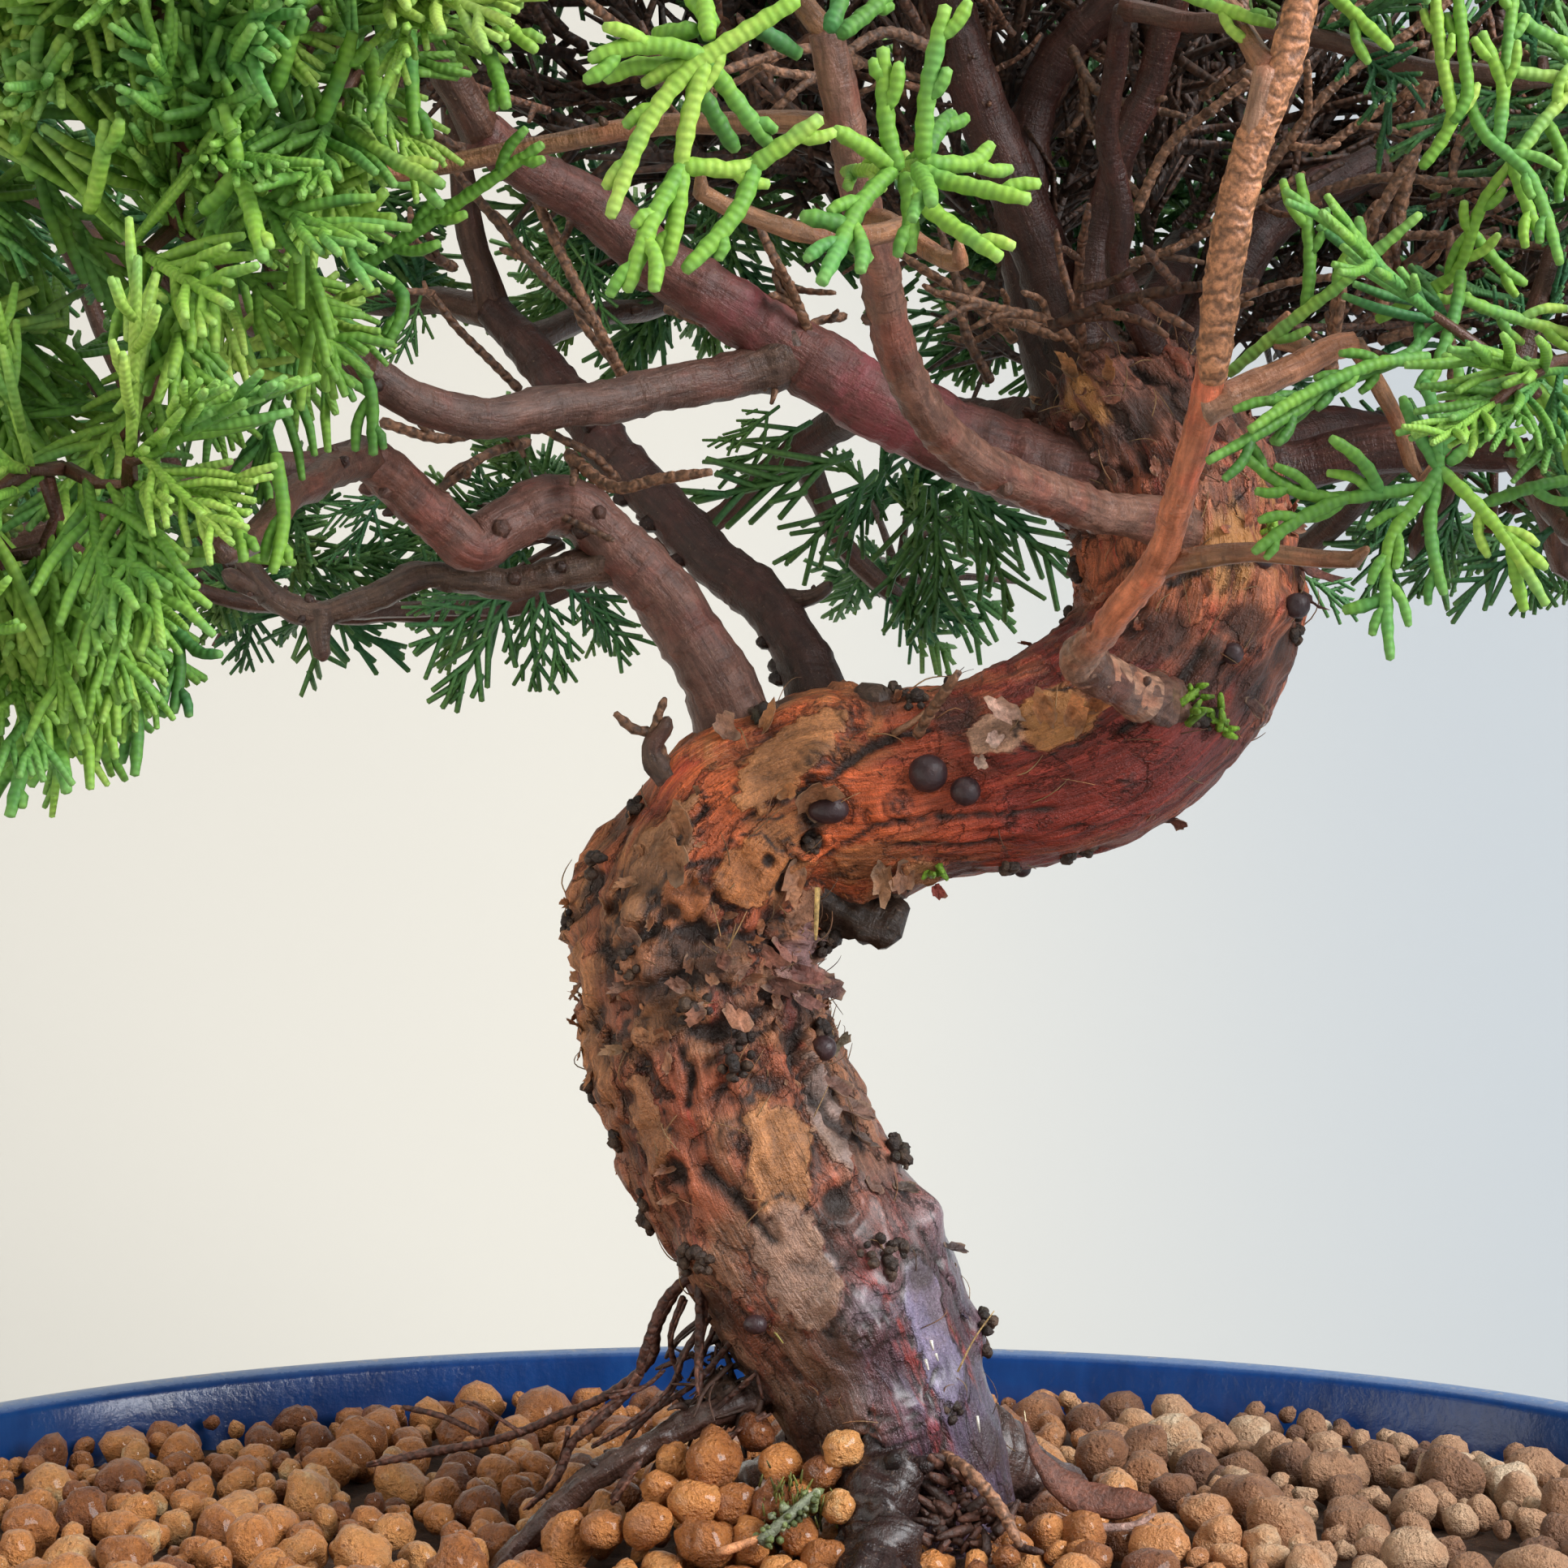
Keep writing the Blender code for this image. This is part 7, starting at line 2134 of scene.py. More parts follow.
def paint_flakes(graph):
    """Papery bark with fibres along it and a paler, worn edge."""
    place = graph.place()
    tint = graph.node("ShaderNodeCombineXYZ", {"X": graph.read("red"), "Y": graph.read("green"),
                                               "Z": graph.read("blue")})
    cloud = graph.ripple(place, 0.5, 4.0, 0.65)
    grit = graph.ripple(place, 2.4, 4.0, 0.65)
    colour = graph.brighten(tint, cloud.ramp(0.3, 0.7, 0.65, 1.5))
    colour = graph.brighten(colour, grit.ramp(0.3, 0.7, 0.75, 1.3))
    colour = graph.brighten(colour, graph.read("tip").ramp(0.0, 0.6, 0.6, 1.1))
    colour = graph.blend(graph.read("rim").ramp(0.75, 1.0, 0.0, 0.4), colour, (0.42, 0.27, 0.17))
    return {"Base Color": colour, "Roughness": 0.55 + (grit - 0.5) * 0.3, "Normal": graph.bump(grit + cloud, 0.2, 0.9)}


def hairs_mesh(skin):
    """Fine torn fibres that stand off the rough bark."""
    shape = Shape()
    draw = random.Random(41)
    rings = len(skin.along)
    weights = np.interp(skin.along, *zip(*HAIRS_ALONG))
    for ring in draw.choices(range(rings), weights=weights, k=HAIRS):
        k = ring * TRUNK_SIDES + draw.randrange(TRUNK_SIDES)
        outward, ahead = skin.spokes[k], skin.ahead[ring]
        beside = np.cross(ahead, outward)
        turn = draw.gauss(0, 0.9)
        flat = ahead * math.cos(turn) + beside * math.sin(turn)
        sway = stray_of(draw)
        long = draw.uniform(1.2, 4.2)
        lift = draw.uniform(0.0, 0.45)
        start = skin.surface[k]
        thick = draw.uniform(0.045, 0.085)
        line = [(*(start - outward * 0.1), thick), (*(start + flat * long * 0.4 + outward * long * lift * 0.6), thick),
                (*(start + flat * long * 0.75 + outward * long * lift * 0.7 + sway * 0.4), thick * 0.8),
                (*(start + flat * long + sway * 0.9 + outward * lift * long * 0.4), thick * 0.5)]
        rows, along = spaced(line, long / 5)
        pale = draw.random()
        tint = np.array((0.42, 0.26, 0.12)) * pale + np.array((0.12, 0.06, 0.035)) * (1 - pale)
        tube(shape, rows, along, 3, tint=tint, dark=0.0, wet=0.0, pink=0.0)
    return shape.mesh("bark_hairs")


# Dead scaly twigs: picture places along each with the depth y at each place, thickness and number of side shoots.
DEAD_TWIGS = (
    ((822, 945, -6.5), (805, 906, -6.5), (780, 898, -7), 0.75, 0),
    ((803, 908, -6.5), (808, 892, -6.8), (811, 882, -7), 0.65, 0),
    ((1130, 905, -9), (1145, 880, -11), (1160, 858, -13), 0.75, 0),
    ((1165, 1795, -9), (1195, 1815, -13), (1232, 1858, -15), 0.9, 0),
    ((700, 560, -8), (755, 600, -12), (812, 590, -14), 0.85, 1),
    ((640, 480, -2), (600, 440, -4), (560, 400, -6), 0.6, 2),
    ((650, 545, -6), (600, 560, -10), (560, 590, -12), 0.7, 3),
    ((480, 455, -6), (500, 490, -8), (520, 520, -8), 0.8, 1),
    ((760, 590, -6), (730, 560, -9), (690, 540, -10), 0.6, 2),
    ((770, 470, -6), (735, 400, -9), (690, 310, -10), 0.75, 2),
    ((735, 400, -9), (670, 340, -10), (610, 270, -10), 0.7, 3),
    ((1000, 420, -6), (985, 380, -9), (960, 330, -10), 0.7, 3),
    ((1180, 350, 6), (1215, 385, 3), (1260, 400, 2), 0.8, 3),
    ((1250, 420, 4), (1200, 370, 2), (1150, 340, 2), 0.7, 3),
    ((1220, 470, 2), (1190, 410, 0), (1180, 350, 0), 0.7, 2),
    ((1330, 430, 0), (1290, 395, -4), (1230, 380, -6), 0.7, 3),
    ((1560, 150, -8), (1540, 60, -10), (1525, -40, -12), 0.9, 2),
    ((1700, 390, -14), (1720, 280, -16), (1745, 170, -18), 0.95, 3),
    ((1640, 460, -12), (1650, 360, -16), (1700, 260, -18), 0.8, 3),
    ((1600, 250, -4), (1690, 220, -8), (1790, 225, -10), 0.75, 3),
    ((1540, 240, 0), (1640, 110, -4), (1750, 30, -6), 0.75, 3),
    ((1480, 120, 4), (1560, 70, 0), (1650, 20, -2), 0.75, 3), ((1620, 190, 4), (1710, 130, 2), (1800, 90, 0), 0.7, 3),
    ((1650, 300, 6), (1760, 290, 4), (1860, 300, 2), 0.7, 3),
    ((1700, 420, 4), (1800, 390, 2), (1900, 360, 0), 0.75, 3),
    ((1750, 480, 8), (1840, 470, 6), (1925, 480, 4), 0.7, 2), ((1320, 60, 6), (1350, 110, 4), (1400, 130, 2), 0.7, 3),
    ((1400, 260, 0), (1440, 180, -2), (1500, 130, -4), 0.75, 3),
    ((1380, 330, 4), (1460, 300, 2), (1530, 260, 0), 0.65, 2),
    ((1150, 60, -12), (1090, 40, -16), (1030, 75, -18), 0.8, 2),
    ((1060, 80, -12), (1000, 60, -16), (930, 75, -18), 0.7, 2), ((880, 120, 4), (830, 90, 2), (770, 40, 0), 0.7, 3),
    ((1230, 160, 8), (1170, 110, 6), (1110, 90, 4), 0.6, 3),
    ((1290, 300, 10), (1250, 250, 8), (1240, 180, 8), 0.6, 3),
    ((1500, 380, 8), (1580, 350, 6), (1660, 340, 4), 0.6, 3),
    ((1780, 560, -20), (1790, 470, -24), (1785, 380, -26), 0.7, 2),
    ((590, 640, -4), (650, 620, -8), (700, 640, -8), 0.6, 2),
    ((470, 520, -8), (540, 540, -8), (600, 530, -8), 0.7, 2), ((820, 380, 2), (880, 400, 0), (930, 380, -2), 0.6, 2),
    ((1040, 390, 0), (1000, 400, -3), (975, 440, -5), 0.6, 3),
    ((560, 330, 0), (500, 300, -4), (430, 280, -6), 0.7, 3), ((690, 300, 4), (640, 220, 0), (560, 180, -4), 0.7, 3),
)


# The brown inside of the crown: its outline in the picture.
INNER_OUTLINE = (
    (430, -90), (2010, -90), (2010, 500), (1700, 520), (1560, 500), (1430, 440), (1300, 460), (1180, 450), (1080, 370),
    (960, 310), (800, 220), (640, 160), (500, 140), (430, 90),
)
# Roots in the air at the left foot of the trunk: thickness, depth y at both ends, then picture places.
AIR_ROOTS = (
    (
        0.62, -3, 9, (866, 1552), (844, 1581), (812, 1631), (804, 1676), (754, 1716), (691, 1747), (617, 1771),
        (536, 1790), (455, 1803),
    ),
    (
        0.66, -5, -2, (852, 1565), (818, 1606), (796, 1668), (779, 1706), (729, 1755), (704, 1774), (685, 1818),
        (648, 1861),
    ),
    (0.62, -6, -7, (864, 1560), (860, 1625), (863, 1681), (864, 1720)),
    (0.5, -4, -5, (888, 1596), (866, 1637), (844, 1674), (829, 1712), (785, 1749), (729, 1782)),
    (0.4, -2, -2, (872, 1570), (882, 1620), (866, 1660), (850, 1692)),
    (0.42, -2, 0, (838, 1596), (829, 1640), (832, 1668), (836, 1700)),
    (0.34, -3, 2, (700, 1762), (692, 1800), (682, 1842)), (0.45, 4, 6, (592, 1764), (545, 1745), (498, 1737)),
    (0.34, -4, -4, (752, 1718), (790, 1712), (822, 1690)), (0.6, -8, -9, (754, 1850), (772, 1822), (792, 1797)),
    (0.4, -5, -2, (905, 1650), (860, 1700), (800, 1745), (760, 1790)),
    (0.4, -6, -4, (925, 1700), (880, 1735), (820, 1790), (790, 1850)),
    (0.36, -7, -6, (940, 1740), (900, 1770), (860, 1830)), (0.5, -7, -9, (1165, 1770), (1195, 1815), (1238, 1868)),
    (0.3, -6, -6, (900, 1610), (925, 1660), (940, 1720)), (0.3, 0, 4, (640, 1765), (600, 1740), (570, 1722)),
)


def dead_twigs_mesh(shoots):
    """Brown scaly shoots that have lost their green."""
    shape = Shape()
    draw = random.Random(53)
    for *places, thick, branches in shoots:
        points = [from_picture(*place) for place in places]
        points.append(2 * points[-1] - points[-2] + np.array((draw.uniform(-2, 2), 0, draw.uniform(-1, 2))) * 0.5)
        dead_shoot(shape, points, thick * 0.72, draw)
        for _ in range(branches):
            k = draw.randrange(len(points) - 1)
            start = points[k] + (points[k + 1] - points[k]) * draw.random()
            ahead = unit(points[k + 1] - points[k])
            stray = stray_of(draw)
            aim = unit(ahead + stray * 0.9)
            long = draw.uniform(2.5, 7.0)
            bend = stray_of(draw) * long * 0.15
            dead_shoot(shape, [start, start + aim * long * 0.5 + bend, start + aim * long], thick * 0.55, draw)
    for thick, start_y, end_y, *places in AIR_ROOTS:
        depths = np.linspace(start_y, end_y, len(places))
        points = [from_picture(*place, y) + stray_of(draw, 0.3)
                  for place, y in zip(places, depths)]
        dead_shoot(shape, points, thick * 0.78, draw, tint=(0.10, 0.040, 0.026))
        twin = [point + stray_of(draw, 0.55) for point in points]
        dead_shoot(shape, twin, thick * 0.42, draw, gap=0.9, sides=5, tint=(0.13, 0.055, 0.035))
    scaly_limb(shape)
    return shape.mesh("dead_shoots")


# The scaly part of the front right limb: picture place, y and radius.
SCALY_LIMB = ((1494, 470, -64.5, 0.9), (1497, 430, -65.8, 1.3), (1508, 330, -68, 1.42), (1527, 230, -70, 1.4),
              (1552, 150, -71.5, 1.35), (1582, 80, -73, 1.3), (1602, 10, -74, 1.2), (1612, -60, -74.5, 1.1))


def scaly_limb(shape):
    """Dead scale leaves that still cover the upper part of the front right limb."""
    rows, along = spaced([(*from_picture(*place), radius) for *place, radius in SCALY_LIMB], 0.4)
    rows = wander(rows, 77, 0.35)

    def swell(turn, along):
        turn = turn + 0.6 * np.sin(along * 0.35) + 0.15 * np.sin(along * 2.1)
        quarter = math.pi / 2
        across = np.abs((turn + quarter / 2) % quarter - quarter / 2) / quarter * 2
        side = np.floor((turn + quarter / 2) / quarter) % 2
        lap = (along / 2.5 + 0.5 * side + 0.5 * across + 0.12 * np.sin(along * 0.8)) % 1.0
        return 0.93 + (0.17 + 0.05 * np.sin(along * 1.3 + turn)) * lap ** 1.3 * (1 - 0.45 * across)
    tube(shape, rows, along, 24, swell, tint=np.array((0.36, 0.155, 0.075)))


def dead_shoot(shape, points, radius, draw, gap=0.6, sides=6, tint=(0.2, 0.098, 0.054)):
    route = [(*point, radius) for point in points]
    rows, along = spaced(route, gap)
    rows[:, 3] *= np.interp(along / along[-1], (0, 0.1, 0.85, 1), (1.1, 1.0, 0.9, 0.55))
    tint = np.array(tint) * draw.uniform(0.55, 1.25)

    def swell(turn, along):
        return 1.0 + 0.2 * np.cos(2 * turn + math.pi * np.round(along / gap))
    tube(shape, rows, along, sides, swell, tint=tint)


def dead_spray_mesh(name, seed, length, radius, sides, gap, shoots):
    """A bare twig along +Z with side shoots, which is scaly where its rows are close."""
    draw = random.Random(seed)
    shape = Shape()
    bend = np.array((draw.uniform(-0.25, 0.25), draw.uniform(-0.25, 0.25), 0.0)) * length
    line = [bend * t * t + np.array((0, 0, length * t)) for t in (0, 0.35, 0.7, 1.0)]
    dead_shoot(shape, line, radius, draw, gap, sides, (0.20, 0.085, 0.045))
    for k in range(shoots):
        share = 0.1 + 0.75 * k / shoots
        start = bend * share ** 2 + np.array((0, 0, length * share))
        turn = draw.uniform(0, math.tau)
        aim = unit((math.cos(turn), math.sin(turn), draw.uniform(0.5, 1.4)))
        reach = length * draw.uniform(0.28, 0.5)
        sway = stray_of(draw) * reach * 0.12
        line = [start, start + aim * reach * 0.5 + sway, start + aim * reach]
        dead_shoot(shape, line, radius * 0.8, draw, gap, sides, (0.22, 0.095, 0.05))
    return shape.mesh(name)


def inner_rows(count, depths, seed, variants, dark):
    """Bare twigs that fill the inside of the crown, away from the open places of the picture."""
    draw = random.Random(seed)
    rows = []
    heart = np.array(CROWN_HEART) + (18.0, 4.0, 8.0)
    while len(rows) < count:
        across, down = draw.uniform(430, 2010), draw.uniform(-90, 520)
        if not inside(INNER_OUTLINE, across, down):
            continue
        depth = draw.uniform(*depths)
        place = from_picture(across, down, depth)
        stray = stray_of(draw)
        aim = unit(unit(place - heart) * (1, 0.5, 1) + stray * 0.8)
        end = place + aim * 22.0
        tip = seen_at(place + aim * 16.0)
        if not inside(INNER_OUTLINE, *np.clip(tip, (435, -85), (2000, 600))):
            continue
        if max(np.linalg.norm((spot - CROWN_MIDDLE) / CROWN_HALF) for spot in (place, end)) > 0.86:
            continue
        # The last value is painted shade: at least dark, and more the deeper the twig lies.
        rows.append((place, aim, stray, draw.uniform(0.7, 1.25), dark + (1 - dark) * 0.5 * float(rise(depth, 0, 50))))
    place, aim, face, size, shade = (np.array(column) for column in zip(*rows))
    return {"place": place, "aim": aim, "face": face, "size": size, "shade": shade,
            "pick": np.array([draw.randrange(variants) for _ in rows])}


def paint_dead(graph):
    """Dry brown scales, darker between them, with painted shade that deepens inside the crown."""
    grain = graph.read("grain", "Vector")
    tint = graph.read("tint", "Vector")
    z, = graph.axes(grain, "Z")
    fine = graph.ripple(grain, 2.0, 4.0, 0.65)
    wave = graph.ripple(grain, 0.55, 2.0)
    band = ((z + (wave - 0.5) * 3.5) * (math.tau / 1.3)).sine()
    colour = graph.brighten(tint, fine.ramp(0.3, 0.7, 0.5, 1.55))
    colour = graph.brighten(colour, band.ramp(-1.0, 0.2, 0.6, 1.15))
    # Painted shade: twigs deep in the crown are darkened.
    colour = graph.brighten(colour, 1.0 - graph.read("shade") * 0.78)
    return {"Base Color": colour, "Roughness": 0.55 + (fine - 0.5) * 0.3,
            "Normal": graph.bump(fine + band * 0.4, 0.2, 0.8)}


# ---------------------------------------------------------------- what lies at the foot of the trunk


def litter_mesh(skin):
    """Dead bits, threads, a lichened stick, a bark chip and small green tufts, each with its own colour."""
    shape = Shape()
    draw = random.Random(83)

    def stick(points, radius, tint, sides=6, gap=0.8):
        rows, along = spaced([(*point, radius) for point in points], gap)
        rows[:, 3] *= np.interp(along / along[-1], (0, 0.9, 1), (1.0, 0.85, 0.5))
        tube(shape, rows, along, sides, limb_swell(draw.randrange(99), along[-1], 1.6, 0.25), tint=np.array(tint))

    for _ in range(85):
        down = draw.uniform(1795, 1930)
        across = draw.uniform(1128, 1140 + (down - 1700) * 0.55)
        start = from_picture(across, down, -9 - (down - 1795) * 0.045 + draw.uniform(-1, 1))
        aim = stray_of(draw) * (1, 0.6, 0.6)
        reach = draw.uniform(1.5, 4.5)
        stick([start, start + aim * reach * 0.5 + stray_of(draw) * 0.4, start + aim * reach], draw.uniform(0.22, 0.5),
              np.array((0.085, 0.035, 0.022)) * draw.uniform(0.4, 1.6))
    for _ in range(60):
        across, down = draw.gauss(905, 22), draw.uniform(1610, 1765)
        start = from_picture(across + (down - 1690) * 0.1, down, draw.uniform(-5, 3))
        aim = stray_of(draw) + (-0.3, 0, -0.4)
        reach = draw.uniform(2.0, 5.5)
        stick([start, start + aim * reach * 0.5 + stray_of(draw) * 0.8, start + aim * reach], draw.uniform(0.1, 0.35),
              np.array((0.09, 0.045, 0.03)) * draw.uniform(0.3, 1.4), 4)
    for _ in range(46):
        across, down = draw.uniform(868, 985), draw.uniform(1690, 1790)
        if down > 1640 + (985 - across) * 1.3:
            continue
        lump(shape, from_picture(across, down, draw.uniform(-4, 3)), [draw.uniform(0.7, 1.7)] * 3, 1, 0.3,
             draw.randrange(99), tint=np.array((0.06, 0.032, 0.02)) * draw.uniform(0.5, 1.8))
    # The stick with lichen and its orange end.
    stick([from_picture(885, 1914, -19), from_picture(942, 1893, -19)], 0.42, (0.62, 0.27, 0.12))
    stick([from_picture(936, 1900, -19), from_picture(972, 1868, -18), from_picture(1006, 1838, -16)], 0.5,
          (0.17, 0.19, 0.12))
    for _ in range(60):
        share = draw.random()
        place = from_picture(938 + 66 * share, 1900 - 60 * share, -19 + 3 * share) + stray_of(draw) * 0.9
        lump(shape, place, [draw.uniform(0.2, 0.5)] * 3, 1, 0.3, draw.randrange(99),
             tint=np.array(draw.choice(((0.30, 0.34, 0.20), (0.16, 0.20, 0.07), (0.10, 0.13, 0.04)))))
    # Moss by the stick, then threads of grass, the straw and the white flecks.
    for _ in range(70):
        across, down = draw.gauss(980, 22), draw.gauss(1862, 20)
        start = from_picture(across, down, -14 + draw.uniform(-1, 1))
        reach = np.array((draw.uniform(-0.5, 0.5), draw.uniform(-0.5, 0), 0.9)) * draw.uniform(0.8, 1.8)
        stick([start, start + reach], 0.13, np.array((0.20, 0.22, 0.05)) * draw.uniform(0.4, 1.4), 3)
    for tint, radius, y, *places in THREADS:
        stick([from_picture(*place, y) for place in places], radius, tint, 5, 1.0)
    for across, down, size in GREEN_BUDS:
        k = skin.spot(across, down)
        for _ in range(6):
            start = skin.surface[k] + stray_of(draw) * size * 0.8
            aim = unit(skin.spokes[k] + stray_of(draw) * 0.9 + (0, 0, 0.4))
            stick([start, start + aim * size * draw.uniform(0.9, 1.8)], 0.34,
                  np.array((0.20, 0.38, 0.035)) * draw.uniform(0.6, 1.3), 5)
    # The curled chips of bark.
    for places, wide, tint in CHIPS:
        rows, along = spaced([(*from_picture(across, down, y), wide) for across, down, y in places], 0.7)
        rows[:, 3] *= np.interp(along / along[-1], (0, 0.2, 0.5, 0.85, 1), (0.12, 0.4, 1.0, 0.9, 0.4))

        def flat(turn, along):
            oval = 1.0 / np.sqrt(np.cos(turn) ** 2 / 0.12 ** 2 + np.sin(turn) ** 2)
            return oval * (1 + 0.06 * np.sin(along * 2.1 + turn))
        tube(shape, rows, along, 14, flat, first=(0.2, -1.0, 0.35), tint=np.array(tint))
    return shape.mesh("litter")


# Threads: colour, radius, depth y, then picture places.
THREADS = (
    ((0.62, 0.40, 0.14), 0.24, -12.8, (1007, 1094), (1005, 1158)),
    ((0.50, 0.45, 0.14), 0.11, -10, (921, 1592), (940, 1622), (965, 1655)),
    ((0.80, 0.76, 0.68), 0.16, -10.2, (1147, 1652), (1150, 1664)),
    ((0.80, 0.76, 0.68), 0.15, -10.2, (1140, 1675), (1144, 1688)),
    ((0.80, 0.76, 0.68), 0.13, -10.0, (1204, 1745), (1207, 1765)),
    ((0.80, 0.76, 0.68), 0.13, -10.2, (1153, 1668), (1156, 1677)),
    ((0.62, 0.52, 0.32), 0.09, -4, (1290, 1800), (1268, 1770), (1262, 1738)),
    ((0.45, 0.30, 0.12), 0.09, -10, (1180, 1690), (1200, 1650), (1225, 1615)),
    ((0.30, 0.14, 0.07), 0.3, -8, (1100, 905), (1128, 888), (1158, 862)),
)
GREEN_BUDS = (
    (1148, 1068, 0.7), (1452, 882, 1.6), (1492, 888, 1.3), (1503, 893, 1.0), (1560, 652, 1.0), (1470, 855, 0.8),
)
# Flat curled chips: picture places with depth y along each, half width and colour.
CHIPS = (
    (
        ((1262, 1752, -5), (1282, 1800, -6), (1325, 1840, -7), (1375, 1852, -8), (1418, 1850, -9)), 3.4,
        (0.15, 0.055, 0.034),
    ),
    (((1300, 1862, -8.4), (1345, 1880, -9), (1395, 1880, -9.5), (1422, 1866, -9.6)), 0.8, (0.36, 0.22, 0.18)),
)


def paint_litter(graph):
    """Each bit's own colour, uneven and a little damp."""
    place = graph.place()
    cloud = graph.ripple(place, 0.6, 4.0, 0.62)
    grit = graph.ripple(place, 2.6, 4.0, 0.65)
    colour = graph.brighten(graph.read("tint", "Vector"), cloud.ramp(0.3, 0.7, 0.6, 1.4))
    colour = graph.brighten(colour, grit.ramp(0.3, 0.7, 0.7, 1.3))
    return {"Base Color": colour, "Roughness": 0.45 + (grit - 0.5) * 0.4,
            "Normal": graph.bump(grit + cloud * 0.5, 0.25, 0.9)}


# ---------------------------------------------------------------- the stage


def stage_mesh():
    """One pale sheet: a floor that curves up into the wall behind."""
    rows = []
    width, near, far, high, curve = 1.6, -1.2, 0.55, 1.4, 0.35
    line = [(near, 0.0), (far - curve, 0.0)]
    for k in range(1, 17):
        turn = math.pi / 2 * k / 16
        line.append((far - curve + curve * math.sin(turn), curve - curve * math.cos(turn)))
    line.append((far, high))
    for y, z in line:
        rows += [(-width, y, z), (width, y, z)]
    faces = [(2 * k, 2 * k + 1, 2 * k + 3, 2 * k + 2) for k in range(len(line) - 1)]
    mesh = bpy.data.meshes.new("floor_and_wall")
    mesh.from_pydata(rows, [], faces)
    mesh.shade_smooth()
    return mesh


def paint_stage(graph):
    """Plain matt paint with painted light: warm and lighter on the left, cooler and darker on the right, as the room's
    light falls.
    """
    settings = bpy.context.scene.bonsai_stage
    x, = graph.axes(graph.place(), "X")
    return {"Base Color": graph.blend(x.ramp(-60.0, 190.0), tuple(settings.left_colour), tuple(settings.right_colour))}


def add_light(name, place, target, power, colour, size):
    """A soft square light in metres and watts."""
    light = bpy.data.lights.new(name, "AREA")
    light.energy = power
    light.color = colour
    light.shape = "RECTANGLE"
    light.size = light.size_y = size
    obj = bpy.data.objects.new(name, light)
    obj.location = place
    obj.rotation_euler = (Vector(target) - Vector(place)).to_track_quat("-Z", "Y").to_euler()
    bpy.context.scene.collection.objects.link(obj)


def add_camera():
    """The photograph's view: level, close in front of the trunk."""
    camera = bpy.data.cameras.new("camera")
    camera.sensor_width = SENSOR_WIDTH
    camera.sensor_fit = "HORIZONTAL"
    camera.lens = FOCAL_PIXELS / PICTURE * SENSOR_WIDTH
    camera.clip_start = 0.01
    camera.clip_end = 10.0
    obj = bpy.data.objects.new("camera", camera)
    obj.location = (0.0, -CAMERA_BACK * MM, CAMERA_HEIGHT * MM)
    obj.rotation_euler = (math.radians(90), 0, 0)
    bpy.context.scene.collection.objects.link(obj)
    bpy.context.scene.camera = obj


# ---------------------------------------------------------------- settings, operators and panel


class BonsaiWoodSettings(bpy.types.PropertyGroup):
    flakes: FloatProperty(name="Flake size", description="Size of the torn flakes of bark", default=1.0,
                          min=0.2, max=3.0)


class BonsaiLeafSettings(bpy.types.PropertyGroup):
    near_arms: IntProperty(name="Near arms", description="Short twigs in the mass near the front", default=76, min=3)
    near_sprays: IntProperty(name="Near sprays", description="Leafy sprays on each of them", default=4, min=1)
    back_arms: IntProperty(name="Back arms", description="Short twigs in each pad seen through the crown",
                           default=13, min=3)
    far_arms: IntProperty(name="Far arms", description="Short twigs in each other pad", default=11, min=3)
    crown_arms: IntProperty(name="Crown arms", description="Short twigs in each pad of the crown", default=7, min=3)
    far_sprays: IntProperty(name="Far sprays", description="Leafy sprays on each of them", default=5, min=1)
    inner_twigs: IntProperty(name="Inner twigs", description="Scaly bare twigs inside the crown", default=75, min=1)
    deep_twigs: IntProperty(name="Deep twigs", description="Bare twigs deep inside the crown", default=170, min=1)
    spray_length: FloatProperty(name="Spray length", description="Length of a leafy spray", default=0.0145,
                                min=0.004, max=0.03, unit="LENGTH")


class BonsaiStageSettings(bpy.types.PropertyGroup):
    # The two wall colours carry painted light: the right one is cooler and darker.
    left_colour: FloatVectorProperty(name="Left colour", description="Paint on the left of the wall", subtype="COLOR",
                                     default=(0.515, 0.50, 0.455), min=0.0, max=1.0)
    right_colour: FloatVectorProperty(name="Right colour", description="Paint on the right of the wall",
                                      subtype="COLOR", default=(0.342, 0.369, 0.390), min=0.0, max=1.0)
    key_power: FloatProperty(name="Key light", description="Power of the large window light in watts",
                             default=13.0, min=0.0)
    fill_power: FloatProperty(name="Fill light", description="Power of the warm fill light in watts",
                              default=5.5, min=0.0)


class BuildStep:
    """What every building operator shares."""
    bl_options = {"REGISTER", "UNDO"}


class BONSAI_OT_stage(BuildStep, bpy.types.Operator):
    """Camera, plain pale floor and wall, and soft studio light"""
    bl_idname = "bonsai.stage"
    bl_label = "Stage"

    def execute(self, context):
        settings = context.scene.bonsai_stage
        floor = bpy.data.objects.new("floor_and_wall", stage_mesh())
        context.scene.collection.objects.link(floor)
        floor.data.materials.append(new_material("stage_paint", paint_stage, Roughness=0.95))
        add_camera()
        add_light("window", (0.62, -0.42, 0.5), (0, 0, 0.12), settings.key_power, (0.97, 0.98, 1.0), 0.5)
        add_light("fill", (-0.75, -0.5, 0.35), (0, 0, 0.12), settings.fill_power, (1.0, 0.95, 0.88), 0.9)
        add_light("top", (0.1, 0.05, 0.95), (0, 0.05, 0), 8.0, (1.0, 0.99, 0.97), 1.1)
        world = bpy.data.worlds.new("soft_room")
        context.scene.world = world
        world.use_nodes = True
        world.node_tree.nodes["Background"].inputs["Color"].default_value = (0.95, 0.97, 1.0, 1.0)
        world.node_tree.nodes["Background"].inputs["Strength"].default_value = 0.2
        context.scene.view_settings.view_transform = "Standard"
        return {"FINISHED"}


